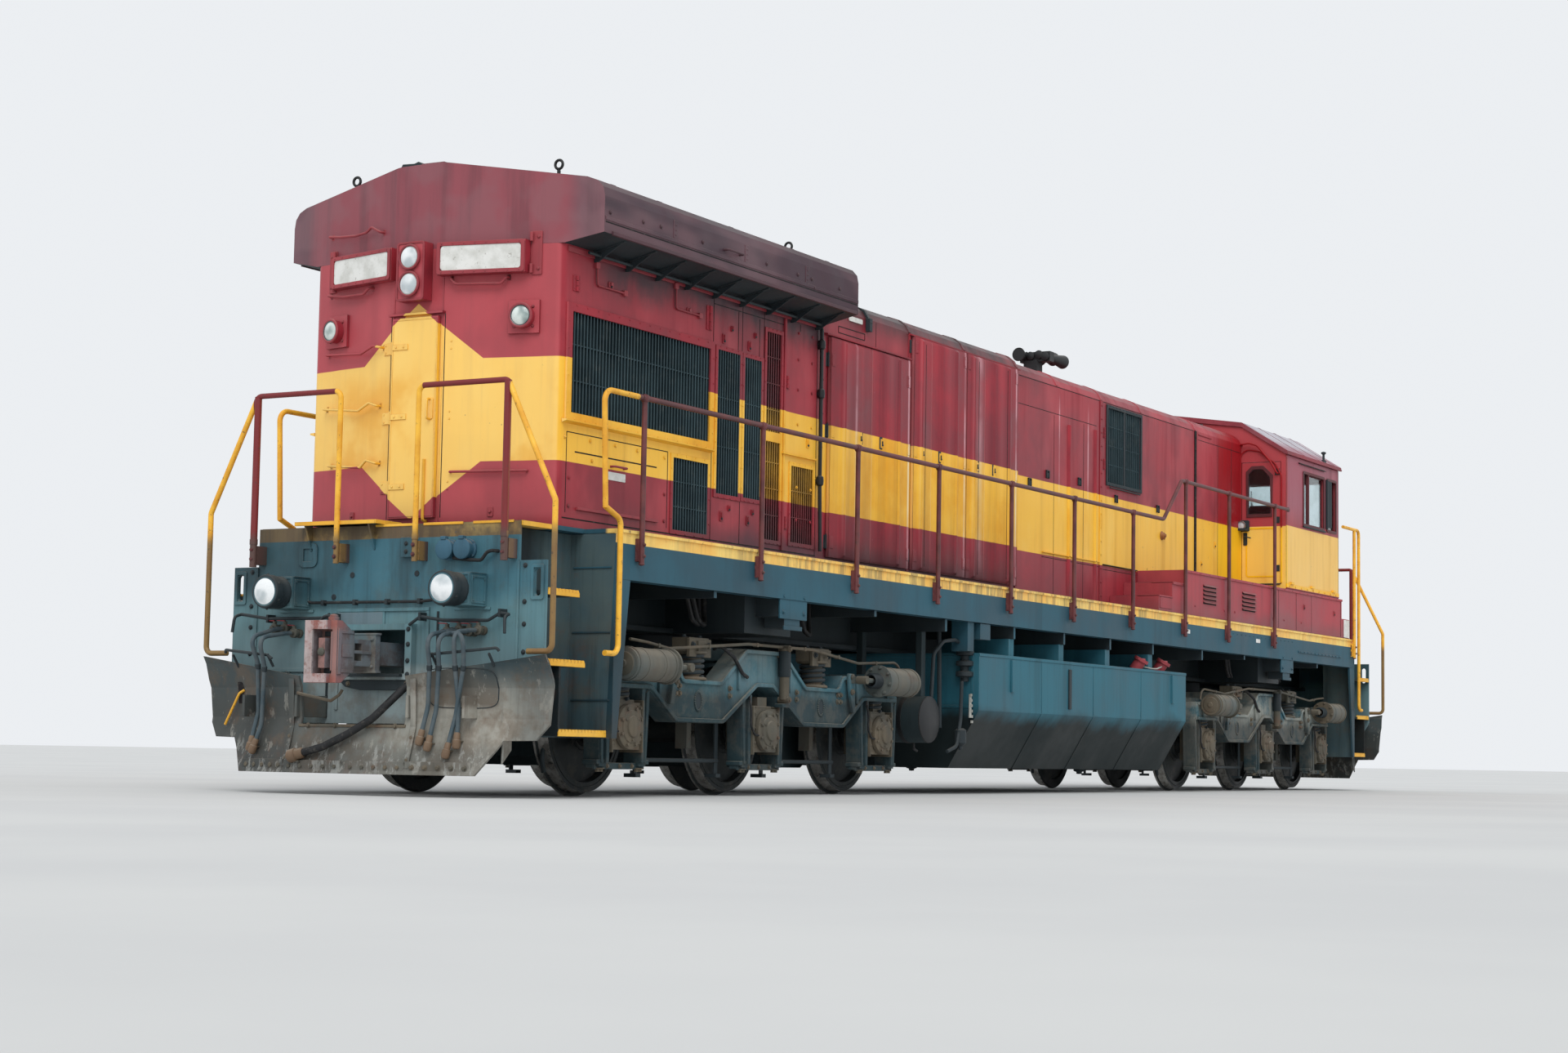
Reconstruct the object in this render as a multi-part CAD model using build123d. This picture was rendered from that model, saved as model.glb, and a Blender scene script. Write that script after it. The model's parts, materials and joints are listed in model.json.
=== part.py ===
from build123d import *
import math
import os

# Six-axle hood-type diesel locomotive, broad gauge.  Millimetres.
# +X towards the cab end, +Y to the left, +Z up.  z = 0 is the lowest point of
# the wheel flanges; the origin is midway between the bogies on the centreline.

# ---------------------------------------------------------------- dimensions
BOGIE_X = 6185.0          # bogie pivot from the centre
AXLE_DX = (-2070.0, 21.0, 2070.0)   # axles from the pivot, rear bogie
WHEEL_R = 508.0           # tread radius
FLANGE = 28.0
AXLE_Z = WHEEL_R + FLANGE
WHEEL_IN, WHEEL_OUT = 720.0, 855.0  # wheel's inner and outer face from the centreline
END_X = 9680.0            # outer face of the end plates
SILL_X = 8840.0           # end of the side sills (corner stairs beyond it)
SILL_Y = 1500.0           # outer face of the side sills
END_Y = 1210.0            # half width of the end platform
EAR_Y = 1448.0            # half width of the end plates
DECK_Z = 1990.0
RAIL_Y = 1540.0           # plane of the side handrails
RAIL_Z = 2990.0
RAD_Y = 1170.0            # radiator hood half width
RAD_X0, RAD_X1 = -9420.0, -5220.0
RAD_SLOPE = 0.226         # the end face runs back to both sides
ENG_Y = 1020.0            # engine hood half width
ENG_X0, ENG_X1 = -5220.0, -790.0
CON_Y = 920.0             # control hood half width
CON_X0, CON_X1 = -790.0, 6117.0
WALL = 60.0               # hood walls with their posts
CAB_X0, CAB_X1 = 6117.0, 8200.0
CAB_Y = 1500.0
CAB_FLOOR = 2490.0
CAB_WALL = 60.0
EAVE_Z = 4210.0
NOSE_X1 = 9170.0
NOSE_Y = 920.0
NOSE_Z = 3280.0
LEAF = 32.0               # door leaf thickness
GAP = 6.0                 # running gap at doors

os.makedirs("parts", exist_ok=True)


# ---------------------------------------------------------------- helpers
def box(x0, x1, y0, y1, z0, z1):
    return Pos((x0 + x1) / 2, (y0 + y1) / 2, (z0 + z1) / 2) * Box(x1 - x0, y1 - y0, z1 - z0)


def poly(points, vec):
    return Solid.extrude(Face(Wire.make_polygon([Vector(*p) for p in points], close=True)), Vector(*vec))


def prism_x(yz, x0, x1):
    return poly([(x0, y, z) for y, z in yz], (x1 - x0, 0, 0))


def prism_y(xz, y0, y1):
    return poly([(x, y0, z) for x, z in xz], (0, y1 - y0, 0))


def prism_z(xy, z0, z1):
    return poly([(x, y, z0) for x, y in xy], (0, 0, z1 - z0))


def cyl(a, b, r):
    a, b = Vector(*a), Vector(*b)
    return Solid.make_cylinder(r, (b - a).length, Plane(origin=a, z_dir=b - a))


def sym(points):
    """Half section (y, z) from the centreline outwards, mirrored to a closed outline."""
    return points + [(-y, z) for y, z in reversed(points) if y > 0]


def tube(points, r, bend=60.0):
    pts = [Vector(*p) for p in points]
    path = Polyline(*pts) if len(pts) == 2 else FilletPolyline(*pts, radius=bend)
    return sweep(Plane(origin=path @ 0, z_dir=path % 0) * Circle(r), path=path)


def fuse(items):
    out = items[0]
    for s in items[1:]:
        out = out + s
    return out


def both_y(make):
    return [make(1), make(-1)]


def save(name, *items):
    solids = []
    for it in items:
        if isinstance(it, (list, tuple)):
            for s in it:
                solids += list(s.solids())
        else:
            solids += list(it.solids())
    shape = solids[0] if len(solids) == 1 else Compound(children=solids)
    export_step(shape, os.path.join("parts", name + ".step"))


# ---------------------------------------------------------------- underframe
def underframe():
    parts = [box(-SILL_X, SILL_X, -SILL_Y, SILL_Y, 1955, DECK_Z)]
    for s in (-1, 1):
        parts.append(box(*sorted((s * (SILL_X - 10), s * (END_X - 30))), -END_Y, END_Y, 1955, DECK_Z))
        parts.append(box(-SILL_X, SILL_X, *sorted((s * SILL_Y, s * (SILL_Y - 30))), 1615, 1960))
        parts.append(box(-END_X + 30, END_X - 30, *sorted((s * 430, s * 480)), 1330, 1960))
        parts.append(box(-END_X + 30, END_X - 30, *sorted((s * 380, s * 560)), 1330, 1370))
    # cross members:        x, half thickness, z bottom
    for x, h, zb in ((-7400, 20, 1560), (-4700, 20, 1560), (-3300, 20, 1500), (-1800, 20, 1500), (-600, 20, 1500),
                     (600, 20, 1500), (1800, 20, 1500), (3300, 20, 1500), (4700, 20, 1560), (7400, 20, 1560)):
        parts.append(box(x - h, x + h, -1475, 1475, zb, 1960))
    for t in (-1, 1):
        x = t * BOGIE_X
        parts.append(box(x - 380, x + 380, -1250, 1250, 1330, 1700))        # bolster
        parts.append(cyl((x, 0, 1215), (x, 0, 1335), 330))                   # centre plate
        for s in (-1, 1):
            parts.append(box(x - 210, x + 210, *sorted((s * 1240, s * 1480)), 1470, 1700))
            parts.append(box(x - 130, x + 130, *sorted((s * 1290, s * 1480)), 1380, 1480))   # jacking pad
        # draft gear housing with the coupler pin's hole
        pocket = box(*sorted((t * 8780, t * 9180)), -470, 470, 1245, 1331)
        parts.append(pocket - cyl((t * 8980, 0, 1100), (t * 8980, 0, 1235), 60))
    return fuse(parts)


# end plate outline (y, z), right half
PLATE = [(0, 1985), (1210, 1985), (1210, 1698), (1448, 1698), (1448, 900), (1210, 520), (0, 520)]


def pilot_plates():
    out = []
    for t in (-1, 1):
        p = prism_x(sym(PLATE), *sorted((t * END_X, t * (END_X - 30))))
        p -= box(*sorted((t * (END_X + 50), t * (END_X - 80))), -255, 255, 885, 1205)
        for s in (-1, 1):
            p -= box(*sorted((t * (END_X + 50), t * (END_X - 80))), *sorted((s * 1350, s * 1410)), 1470, 1610)
            for z in (1470, 1610):
                p -= cyl((t * (END_X - 80), s * 1380, z), (t * (END_X + 50), s * 1380, z), 30)
        # side cheeks of the coupler pocket, its back with the hole for the shank, and the rim of its mouth
        cheeks = [box(*sorted((t * (END_X - 25), t * (END_X - 480))), *sorted((s * 380, s * 410)), 700, 1330)
                  for s in (-1, 1)]
        back = box(*sorted((t * (END_X - 450), t * (END_X - 475))), -390, 390, 720, 1320)
        back -= box(*sorted((t * (END_X - 400), t * (END_X - 500))), -160, 160, 910, 1150)
        rim = box(*sorted((t * (END_X - 10), t * (END_X + 62))), -315, 315, 840, 1250)
        rim -= box(*sorted((t * (END_X - 40), t * (END_X + 90))), -255, 255, 885, 1205)
        out.append(fuse([p] + cheeks + [back, rim]))
    return out


# mouldboard section (forward, z): outer skin, then back 22 mm
BOARD = [(0, 150), (-70, 330), (-120, 560), (-110, 780), (-40, 960), (30, 1060)]
# mouldboard outline (y, z), right half
WING = [(0, 505), (475, 505), (490, 860), (550, 868), (1575, 1015), (1590, 840), (1560, 520), (1475, 410), (1240, 405), (1080, 155), (0, 155)]


def snowploughs():
    out = []
    for t in (-1, 1):
        x0 = END_X + 430
        sec = BOARD + [(f - 22, z + 4) for f, z in reversed(BOARD)]
        mid = poly([(t * (x0 + f), -560, z) for f, z in sec], (0, 1120, 0))
        parts = [mid]
        for s in (-1, 1):
            parts.append(poly([(t * (x0 + f), s * 555, z) for f, z in sec], (-t * 262, s * 1060, 0)))
        cut = poly([(t * (END_X + 700), y, z) for y, z in sym(WING)], (-t * 650, 0, 0))
        board = fuse(parts) & cut
        arms = [box(*sorted((t * END_X, t * (END_X + 345))), *sorted((s * y, s * (y + 24))), 560, 720)
                for s in (-1, 1) for y in (500, 1000)]
        out.append(fuse([board] + arms))
    return out


def corner_steps():
    out = []
    # tread z, x outer, x inner
    treads = ((1480, 9648, 9250), (975, 9648, 9160), (475, 9480, 8842))
    for t in (-1, 1):
        for s in (-1, 1):
            parts = [box(*sorted((t * 9648, t * 8842)), *sorted((s * 1080, s * 1100)), 440, 1950)]
            for z, xo, xi in treads:
                parts.append(box(*sorted((t * xo, t * xi)), *sorted((s * 1090, s * 1445)), z - 25, z))
            parts.append(box(*sorted((t * 9480, t * 9460)), *sorted((s * 1090, s * 1445)), 450, 975))
            # sill end plate and corner post beside the stair
            parts.append(box(*sorted((t * SILL_X, t * (SILL_X + 26))), *sorted((s * 1080, s * 1500)), 440, 1950))
            parts.append(prism_y([(t * (SILL_X + 26), 1950), (t * (SILL_X + 26), 440), (t * 8800, 440),
                                  (t * 8660, 1614), (t * SILL_X, 1614), (t * SILL_X, 1950)],
                                 *sorted((s * 1500, s * 1474))))
            out.append(fuse(parts))
    return out


# ---------------------------------------------------------------- hoods
def radiator_plan(inset, y_half):
    x_c = RAD_X0 + inset * 1.02
    flat = 240.0
    xf = x_c + RAD_SLOPE * flat
    xs = x_c + RAD_SLOPE * y_half
    return [(xf, flat), (xs, y_half), (RAD_X1 - 0, y_half), (RAD_X1 - 0, -y_half), (xs, -y_half), (xf, -flat)]


# radiator side openings: x0, x1, z0, z1
RAD_GRILLES = ((-9060, -7040, 2820, 3630), (-6950, -6570, 2430, 3635), (-6520, -6220, 2435, 3630),
               (-6160, -5890, 2120, 3900), (-7600, -7050, 2080, 2680), (-5720, -5310, 2130, 2810))


def radiator_hood():
    body = prism_z(radiator_plan(0, RAD_Y), DECK_Z, 4100)
    edges = body.edges().filter_by(Axis.Z).filter_by(lambda e: abs(e.center().Y) > 1000 and e.center().X < -8000)
    body = fillet(edges, 70)
    inner = prism_z([(x + (0 if x > -6000 else 0), y) for x, y in radiator_plan(WALL, RAD_Y - WALL)], DECK_Z - 10, 4040)
    inner &= box(-9500, RAD_X1 - WALL, -1200, 1200, DECK_Z - 10, 4040)
    body -= inner
    for x0, x1, z0, z1 in RAD_GRILLES:
        for s in (-1, 1):
            body -= box(x0, x1, *sorted((s * (RAD_Y + 20), s * (RAD_Y - WALL - 20))), z0, z1)
    body -= box(-9500, -9200, -185, 185, 2100, 3540)
    return body


def radiator_grilles():
    out = []
    for x0, x1, z0, z1 in RAD_GRILLES:
        for s in (-1, 1):
            out.append(box(x0, x1, *sorted((s * (RAD_Y - 18), s * (RAD_Y - 50))), z0, z1))
    return out


# radiator roof section (y, z), right half
ROOF = [(0, 4760), (200, 4758), (1340, 4590), (1420, 4560), (1465, 4510), (1480, 4440), (1480, 4168), (1175, 4100),
        (0, 4100)]


def radiator_roof():
    body = prism_x(sym(ROOF), -9400, -5110)
    plan = [(RAD_X0 + RAD_SLOPE * 240, 240), (-9155, RAD_Y), (-9080, 1500), (-5100, 1500), (-5100, -1500),
            (-9080, -1500), (-9155, -RAD_Y), (RAD_X0 + RAD_SLOPE * 240, -240)]
    body = body & prism_z(plan, 4000, 4900)
    return body - prism_x([(y * 1.001, z + 1) for y, z in sym(ENG_SEC)], ENG_X0 - 1, -5000)


# engine hood section (y, z), right half, and control hood section
ENG_SEC = [(0, 4505), (620, 4495), (800, 4480), (915, 4440), (985, 4385), (ENG_Y, 4320), (ENG_Y, DECK_Z), (0, DECK_Z)]
CON_SEC = [(0, 4500), (560, 4485), (720, 4465), (830, 4420), (890, 4365), (CON_Y, 4300), (CON_Y, DECK_Z), (0, DECK_Z)]


def hood(sec, half, x0, x1):
    body = prism_x(sym(sec), x0, x1)
    inner = [(max(0, y - WALL) if y else 0, z - WALL if z > 3000 else z - 10) for y, z in sec]
    return body - prism_x(sym(inner), x0 + WALL, x1 - WALL)


# engine doors: x0, meeting line, x1, z1 of each pair, both sides alike
DOOR_PAIRS = ((-4816, -4046, -3263, 4045), (-3188, -2838, -2058, 4290), (-2046, -1660, -850, 4290))
DOOR_Z0 = 2085.0


def engine_hood():
    body = hood(ENG_SEC, ENG_Y, ENG_X0, ENG_X1)
    for x0, _, x1, z1 in DOOR_PAIRS:
        for s in (-1, 1):
            body -= box(x0 + 45, x1 - 45, *sorted((s * (ENG_Y + 10), s * (ENG_Y - WALL - 10))), DOOR_Z0 + 45, z1 - 45)
    return body


def door_leaves():
    """Engine door leaves: name, x hinge, x free edge, side, z1."""
    rows = []
    for side, s in (("right", -1), ("left", 1)):
        n = 1
        for x0, mid, x1, z1 in DOOR_PAIRS:
            rows.append(("engine_door_%s_%d" % (side, n), x0 + 3, mid - 4, s, z1))
            rows.append(("engine_door_%s_%d" % (side, n + 1), x1 - 3, mid + 4, s, z1))
            n += 2
    return rows


def control_hood():
    body = hood(CON_SEC, CON_Y, CON_X0, CON_X1 - 1)
    for s in (-1, 1):
        body -= box(1795, 2775, *sorted((s * (CON_Y + 10), s * (CON_Y - WALL - 10))), 3400, 4250)
    return body


def control_grilles():
    return [box(1795, 2775, *sorted((s * (CON_Y - 20), s * (CON_Y - 52))), 3400, 4250) for s in (-1, 1)]


def walkway_boxes():
    out = []
    for s in (-1, 1):
        # raised walkway with its steps: x, z outline
        out.append(prism_y([(1900, DECK_Z), (1900, 2155), (2300, 2155), (2300, 2325), (2700, 2325), (2700, CAB_FLOOR),
                            (8330, CAB_FLOOR), (8330, 2240), (8640, 2240), (8640, DECK_Z)],
                           *sorted((s * (CON_Y + 1), s * 1499))))
    return out


# ---------------------------------------------------------------- cab
CAB_SEC = [(0, 4655), (930, 4525), (CAB_Y, 4165), (CAB_Y, CAB_FLOOR), (0, CAB_FLOOR)]
# windows: wall, a0, a1, z0, z1   (side walls: x; end walls: y)
SIDE_WINDOWS = ((6776, 7600, 3340, 4010), (7720, 8090, 3340, 4010))
CORNER_CUT = 110.0


def cab_shell():
    body = prism_x(sym(CAB_SEC), CAB_X0, CAB_X1)
    inner = [(0, 4655 + 40), (930, 4525 + 40), (CAB_Y - CAB_WALL, 4205), (CAB_Y - CAB_WALL, CAB_FLOOR + CAB_WALL),
             (0, CAB_FLOOR + CAB_WALL)]
    body -= prism_x(sym(inner), CAB_X0 + CAB_WALL, CAB_X1 - CAB_WALL)
    for x0, x1, z0, z1 in SIDE_WINDOWS:
        body -= box(x0, x1, -1600, 1600, z0, z1)
    # rear wall: door on the right, window on the left; front wall: door on the left, window on the right
    body -= box(CAB_X0 - 10, CAB_X0 + CAB_WALL + 10, -1436, -924, 2556, 4080)
    body -= box(CAB_X0 - 10, CAB_X0 + CAB_WALL + 10, 1000, 1315, 3410, 4010)
    body -= box(CAB_X1 - CAB_WALL - 10, CAB_X1 + 10, 924, 1436, 2556, 4080)
    body -= box(CAB_X1 - CAB_WALL - 10, CAB_X1 + 10, -1345, -985, 3400, 4010)
    for s in (-1, 1):
        body -= box(CAB_X1 - CAB_WALL - 10, CAB_X1 + 10, *sorted((s * 70, s * 780)), 3450, 4010)
    return body


def cab_roof():
    top = [(0, 4720), (930, 4588), (1525, 4212), (1525, 4168), (1501, 4168)]
    under = [(930, 4528), (0, 4658)]
    return prism_x(sym(top + under[:1] + under[1:]), CAB_X0 - 25, CAB_X1 + 45)


def cab_glass():
    out = []
    for x0, x1, z0, z1 in SIDE_WINDOWS:
        for s in (-1, 1):
            out.append(box(x0, x1, *sorted((s * 1474, s * 1466)), z0, z1))
    out.append(box(CAB_X0 + 26, CAB_X0 + 34, 1000, 1315, 3410, 4010))
    out.append(box(CAB_X1 - 34, CAB_X1 - 26, -1345, -985, 3400, 4010))
    for s in (-1, 1):
        out.append(box(CAB_X1 - 34, CAB_X1 - 26, *sorted((s * 70, s * 780)), 3450, 4010))
    return out


def cab_seats():
    out = []
    for s in (-1, 1):
        y = s * 930
        out.append(fuse([box(7000, 7450, y - 230, y + 230, 2990, 3090), box(6960, 7050, y - 230, y + 230, 3080, 3620),
                         box(7170, 7280, y - 60, y + 60, CAB_FLOOR + CAB_WALL, 3000)]))
    return out


def control_desk():
    return fuse([prism_y([(7850, 2550), (7850, 3230), (7940, 3330), (8139, 3380), (8139, 2550)], -800, 800),
                 prism_y([(7560, 2550), (7560, 3180), (7700, 3250), (7860, 3250), (7860, 2550)], -560, -300)])


def nose():
    plan = [(CAB_X1 + 1, NOSE_Y), (8990, NOSE_Y), (NOSE_X1, 800), (NOSE_X1, -800), (8990, -NOSE_Y),
            (CAB_X1 + 1, -NOSE_Y)]
    side = [(CAB_X1 + 1, DECK_Z), (CAB_X1 + 1, NOSE_Z), (8900, NOSE_Z), (NOSE_X1, NOSE_Z - 130), (NOSE_X1, DECK_Z)]
    body = prism_z(plan, DECK_Z, NOSE_Z) & prism_y(side, -1000, 1000)
    inner = prism_z([(CAB_X1 + WALL, NOSE_Y - WALL), (8965, NOSE_Y - WALL), (NOSE_X1 - WALL, 760), (NOSE_X1 - WALL, -760),
                     (8965, -NOSE_Y + WALL), (CAB_X1 + WALL, -NOSE_Y + WALL)], DECK_Z - 10, NOSE_Z)
    inner &= prism_y([(CAB_X1, DECK_Z - 10), (CAB_X1, NOSE_Z - WALL), (8880, NOSE_Z - WALL),
                      (NOSE_X1 - 40, NOSE_Z - 185), (NOSE_X1 - 40, DECK_Z - 10)], -1000, 1000)
    body -= inner
    body -= box(NOSE_X1 - 100, NOSE_X1 + 10, -235, 235, 2115, 3035)
    return body


def window_door(x_out, inward, y_hinge, y_free, z0, z1, wy0, wy1, wz0, wz1):
    """Cab door leaf, flush in its opening, with a window whose upper outer corner is cut."""
    x0, x1 = sorted((x_out, x_out + inward * 42))
    y0, y1 = sorted((y_hinge, y_free))
    leaf = box(x0, x1, y0, y1, z0, z1)
    o = 1 if abs(y_hinge) > abs(y_free) else -1
    ys = sorted((wy0, wy1), key=abs)
    yi, yo = ys
    c = math.copysign(CORNER_CUT, yo)
    win = [(yi, wz0), (yo, wz0), (yo, wz1 - CORNER_CUT), (yo - c, wz1), (yi + c * 0.6, wz1), (yi, wz1 - CORNER_CUT * 0.6)]
    return leaf - prism_x(win, x0 - 5, x1 + 5)


# ---------------------------------------------------------------- tanks and equipment
TANK = [(0, 1330), (SILL_Y, 1330), (SILL_Y, 790), (1180, 245), (0, 245)]


def fuel_tank():
    body = prism_x(sym(TANK), -2640, 2720)
    straps = [box(x - 60, x + 60, *sorted((s * 700, s * 1440)), 1325, 1500) for x in (-1800, -600, 600, 1800)
              for s in (-1, 1)]
    return fuse([body] + straps)


def air_reservoirs():
    out = []
    for s in (-1, 1):
        parts = [cyl((-3290, s * 480, 690), (-3290, s * 1300, 690), 215)]
        parts.append(box(-3330, -3250, *sorted((s * 560, s * 620)), 880, 1500))
        parts.append(box(-3330, -3250, *sorted((s * 1180, s * 1240)), 880, 1500))
        out.append(fuse(parts))
    return out


def engine_block():
    return box(-4950, -900, -720, 720, DECK_Z + 2, 3980)


def handrails():
    """Left side rails, and the left half of the end rails."""
    out, ends = [], []
    r = 21.0
    y = RAIL_Y
    # main rail with its rise at the front and the bent ends at the stairs
    parts = [tube([(-9075, y, 2120), (-9120, y, RAIL_Z), (1930, y, RAIL_Z), (2470, y, 3470), (6090, y, 3470)], r, 90),
             tube([(-9045, y, 1060), (-8870, y, 1060), (-8870, y, 2050), (-9076, y, 2130)], r, 70)]
    # posts: x, top z
    for x, zt in ((-8576, RAIL_Z), (-6810, RAIL_Z), (-5180, RAIL_Z), (-3610, RAIL_Z), (-2030, RAIL_Z),
                  (-510, RAIL_Z), (1060, RAIL_Z), (2600, 3470), (3990, 3470), (5590, 3470)):
        parts.append(cyl((x, y, 1740), (x, y, zt), r))
        parts.append(box(x - 30, x + 30, SILL_Y, RAIL_Y - 5, 1760, 1930))
    out.append(fuse(parts))
    # front rail beside the nose
    out.append(fuse([tube([(9050, y, 1060), (8930, y, 1060), (8930, y, 3440), (8260, y, 3440)], r, 70),
                     cyl((8740, y, 1740), (8740, y, 3440), r),
                     box(8710, 8770, SILL_Y, RAIL_Y - 5, 1760, 1930)]))
    for t in (-1, 1):
        x = t * 9800
        yi, yo = 365, 1165
        parts = [tube([(x, yi, 1700), (x, yi, RAIL_Z), (x, yo, RAIL_Z), (x, 1600, 2110), (x, 1600, 1040),
                       (x, 1390, 1040)], r, 55),
                 cyl((x, yo, 1690), (x, yo, RAIL_Z - 4), 27)]
        for yy in (yi, yo):
            parts.append(box(*sorted((t * END_X, t * 9785)), yy - 30, yy + 30, 1710, 1850))
        ends.append(fuse(parts))
    return out, ends


def rear_lamps():
    out = []
    # headlamp casing with two lamps
    body = box(-9480, -9372, -125, 125, 3700, 4140)
    out.append(fuse([body] + [cyl((-9500, 0, z), (-9430, 0, z), 92) for z in (3820, 4025)]))
    for s in (-1, 1):
        # number board
        x0 = RAD_X0 + RAD_SLOPE * 240
        a, b = 215.0, 915.0
        pts = [(x0 - 75, s * a), (RAD_X0 + RAD_SLOPE * b - 75, s * b),
               (RAD_X0 + RAD_SLOPE * b - 4, s * b), (RAD_X0 + RAD_SLOPE * 245 - 4, s * 245), (x0 - 4, s * a)]
        out.append(prism_z(pts, 3880, 4126))
        # class light on its square plate, square to the slanted end face
        n = Vector(-1, RAD_SLOPE * s, 0).normalized()
        c = Vector(RAD_X0 + RAD_SLOPE * 880, s * 880, 3550) + n * 3
        tv = Vector(RAD_SLOPE * s, 1, 0).normalized() * 125
        pl = [c - tv, c + tv, c + tv + n * 22, c - tv + n * 22]
        out.append(fuse([prism_z([(v.X, v.Y) for v in pl], 3425, 3675), cyl(tuple(c + n * 15), tuple(c + n * 85), 90)]))
        # ditch light
        out.append(fuse([cyl((-10060, s * 816, 1484), (-9860, s * 816, 1484), 116),
                         box(-9890, -9680, s * 816 - 122, s * 816 + 122, 1366, 1602)]))
    return out


def front_lamps():
    out = []
    for s in (-1, 1):
        out.append(box(8201, 8270, *sorted((s * 200, s * 780)), 4130, 4370))
        out.append(fuse([cyl((9860, s * 816, 1484), (10060, s * 816, 1484), 116),
                         box(9680, 9890, s * 816 - 122, s * 816 + 122, 1366, 1602)]))
        out.append(cyl((NOSE_X1, s * 620, 3010), (NOSE_X1 + 70, s * 620, 3010), 85))
    out.append(fuse([box(8201, 8280, -150, 150, 4120, 4400), cyl((8270, -72, 4260), (8320, -72, 4260), 70),
                     cyl((8270, 72, 4260), (8320, 72, 4260), 70)]))
    return out


def horn():
    base = [box(880, 1020, -480, -320, 4496, 4670), box(895, 1005, -625, -270, 4655, 4765)]
    # trumpets: direction, y, z, length
    for d, y, z, ln in ((-1, -312, 4728, 185), (1, -400, 4722, 195), (1, -500, 4732, 315), (1, -575, 4708, 405)):
        base.append(Solid.make_cone(26, 75, ln, Plane(origin=(950, y, z), z_dir=(d, 0, 0))))
    return fuse(base)


# ---------------------------------------------------------------- bogies
# side frame outline (dx, z), right half of a symmetric casting
FRAME_TOP = [(0, 1200), (310, 1200), (680, 925), (1290, 925), (1340, 1040), (2400, 1040)]
FRAME_BOT = [(2400, 830), (1760, 830), (1380, 585), (650, 585), (120, 895), (0, 895)]
FRAME_Y0, FRAME_Y1 = 1040.0, 1220.0


def bogie_frame(cx):
    half = FRAME_TOP + FRAME_BOT
    outline = half + [(-x, z) for x, z in reversed(half) if x > 0]
    parts = []
    for s in (-1, 1):
        parts.append(prism_y([(cx + x, z) for x, z in outline], *sorted((s * FRAME_Y0, s * FRAME_Y1))))
    # cross members between the wheels: dx, half length, z0, z1
    for dx, h, z0, z1 in ((-1010, 118, 700, 920), (1010, 118, 700, 920)):
        parts.append(box(cx + dx - h, cx + dx + h, -FRAME_Y0 - 5, FRAME_Y0 + 5, z0, z1))
        parts.append(box(cx + dx - h, cx + dx + h, -1000, 1000, z1 - 5, 960))
    for dx in (-2350, 2350):
        parts.append(box(cx + dx - 50, cx + dx + 50, -FRAME_Y0 - 5, FRAME_Y0 + 5, 1030, 1085))
    # bolster over the middle axle
    parts.append(box(cx - 300, cx + 300, -1030, 1030, 1110, 1205))
    parts.append(box(cx - 420, cx + 420, -640, 640, 1120, 1205))
    parts.append(box(cx - 1120, cx + 1120, *sorted((-560, -480)), 940, 1125))
    parts.append(box(cx - 1120, cx + 1120, *sorted((480, 560)), 940, 1125))
    # pedestal legs beside each axlebox and the tie bar below it
    for ax in AXLE_DX:
        a = cx + (ax if cx < 0 else -ax)
        for s in (-1, 1):
            for e in (-1, 1):
                parts.append(prism_y([(a + e * 215, 860), (a + e * 350, 860), (a + e * 320, 235), (a + e * 225, 235)],
                                     *sorted((s * 1060, s * 1200))))
            parts.append(box(a - 350, a + 350, *sorted((s * 1100, s * 1160)), 222, 254))
    return fuse(parts)


def bogie_suspension(cx):
    out = []
    for ax in AXLE_DX:
        a = cx + (ax if cx < 0 else -ax)
        for s in (-1, 1):
            # axlebox with its round cover
            b = box(a - 190, a + 190, *sorted((s * 965, s * 1225)), 360, 720)
            b -= cyl((a, s * 900, AXLE_Z), (a, s * 1198, AXLE_Z), 92)
            out.append(fuse([b, cyl((a, s * 1215, AXLE_Z), (a, s * 1262, AXLE_Z), 165),
                             box(a - 75, a + 75, *sorted((s * 1075, s * 1195)), 715, 815)]))
    for dx in (-1000, 1000):
        for s in (-1, 1):
            # bolster spring with its bracket
            x = cx + dx
            out.append(fuse([cyl((x, s * 1120, 930), (x, s * 1120, 1150), 88),
                             box(x - 150, x + 150, *sorted((s * 1040, s * 1200)), 1145, 1260)]))
    # damper on the frame's middle
    for s in (-1, 1):
        out.append(fuse([cyl((cx + 250, s * 1275, 800), (cx + 250, s * 1275, 1230), 42),
                         box(cx + 215, cx + 285, *sorted((s * 1222, s * 1290)), 1150, 1195)]))
    return out


def brake_gear(cx):
    out = []
    for s in (-1, 1):
        for e in (-1, 1):
            a, b = cx + e * 1740, cx + e * 2340
            parts = [cyl((a, s * 1375, 1005), (b, s * 1375, 1005), 125),
                     cyl((cx + e * 1450, s * 1375, 1005), (a, s * 1375, 1005), 22),
                     box(*sorted((cx + e * 1900, cx + e * 2200)), *sorted((s * 1222, s * 1300)), 905, 1030),
                     box(*sorted((cx + e * 1430, cx + e * 1480)), *sorted((s * 1222, s * 1400)), 975, 1035)]
            out.append(fuse(parts))
    # brake shoes beside the treads: axle index, side of the axle
    for k, e in ((0, 1), (1, -1), (2, -1)):
        ax = AXLE_DX[k]
        a = cx + (ax if cx < 0 else -ax)
        d = e if cx < 0 else -e
        for s in (-1, 1):
            r0 = WHEEL_R + 12
            x0 = a + d * r0
            out.append(box(*sorted((x0 + d * 22, x0 + d * 90)), *sorted((s * 735, s * 845)), 380, 690))
    return out


def traction_motors(cx):
    out = []
    for k, e in ((0, 1), (1, 1), (2, -1)):
        ax = AXLE_DX[k]
        a = cx + (ax if cx < 0 else -ax)
        d = e if cx < 0 else -e
        body = prism_y([(a + d * 130, 300), (a + d * 130, 790), (a + d * 330, 900), (a + d * 800, 880),
                        (a + d * 860, 780), (a + d * 860, 300), (a + d * 760, 230), (a + d * 260, 230)], -560, 470)
        out.append(body)
    return out


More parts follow.
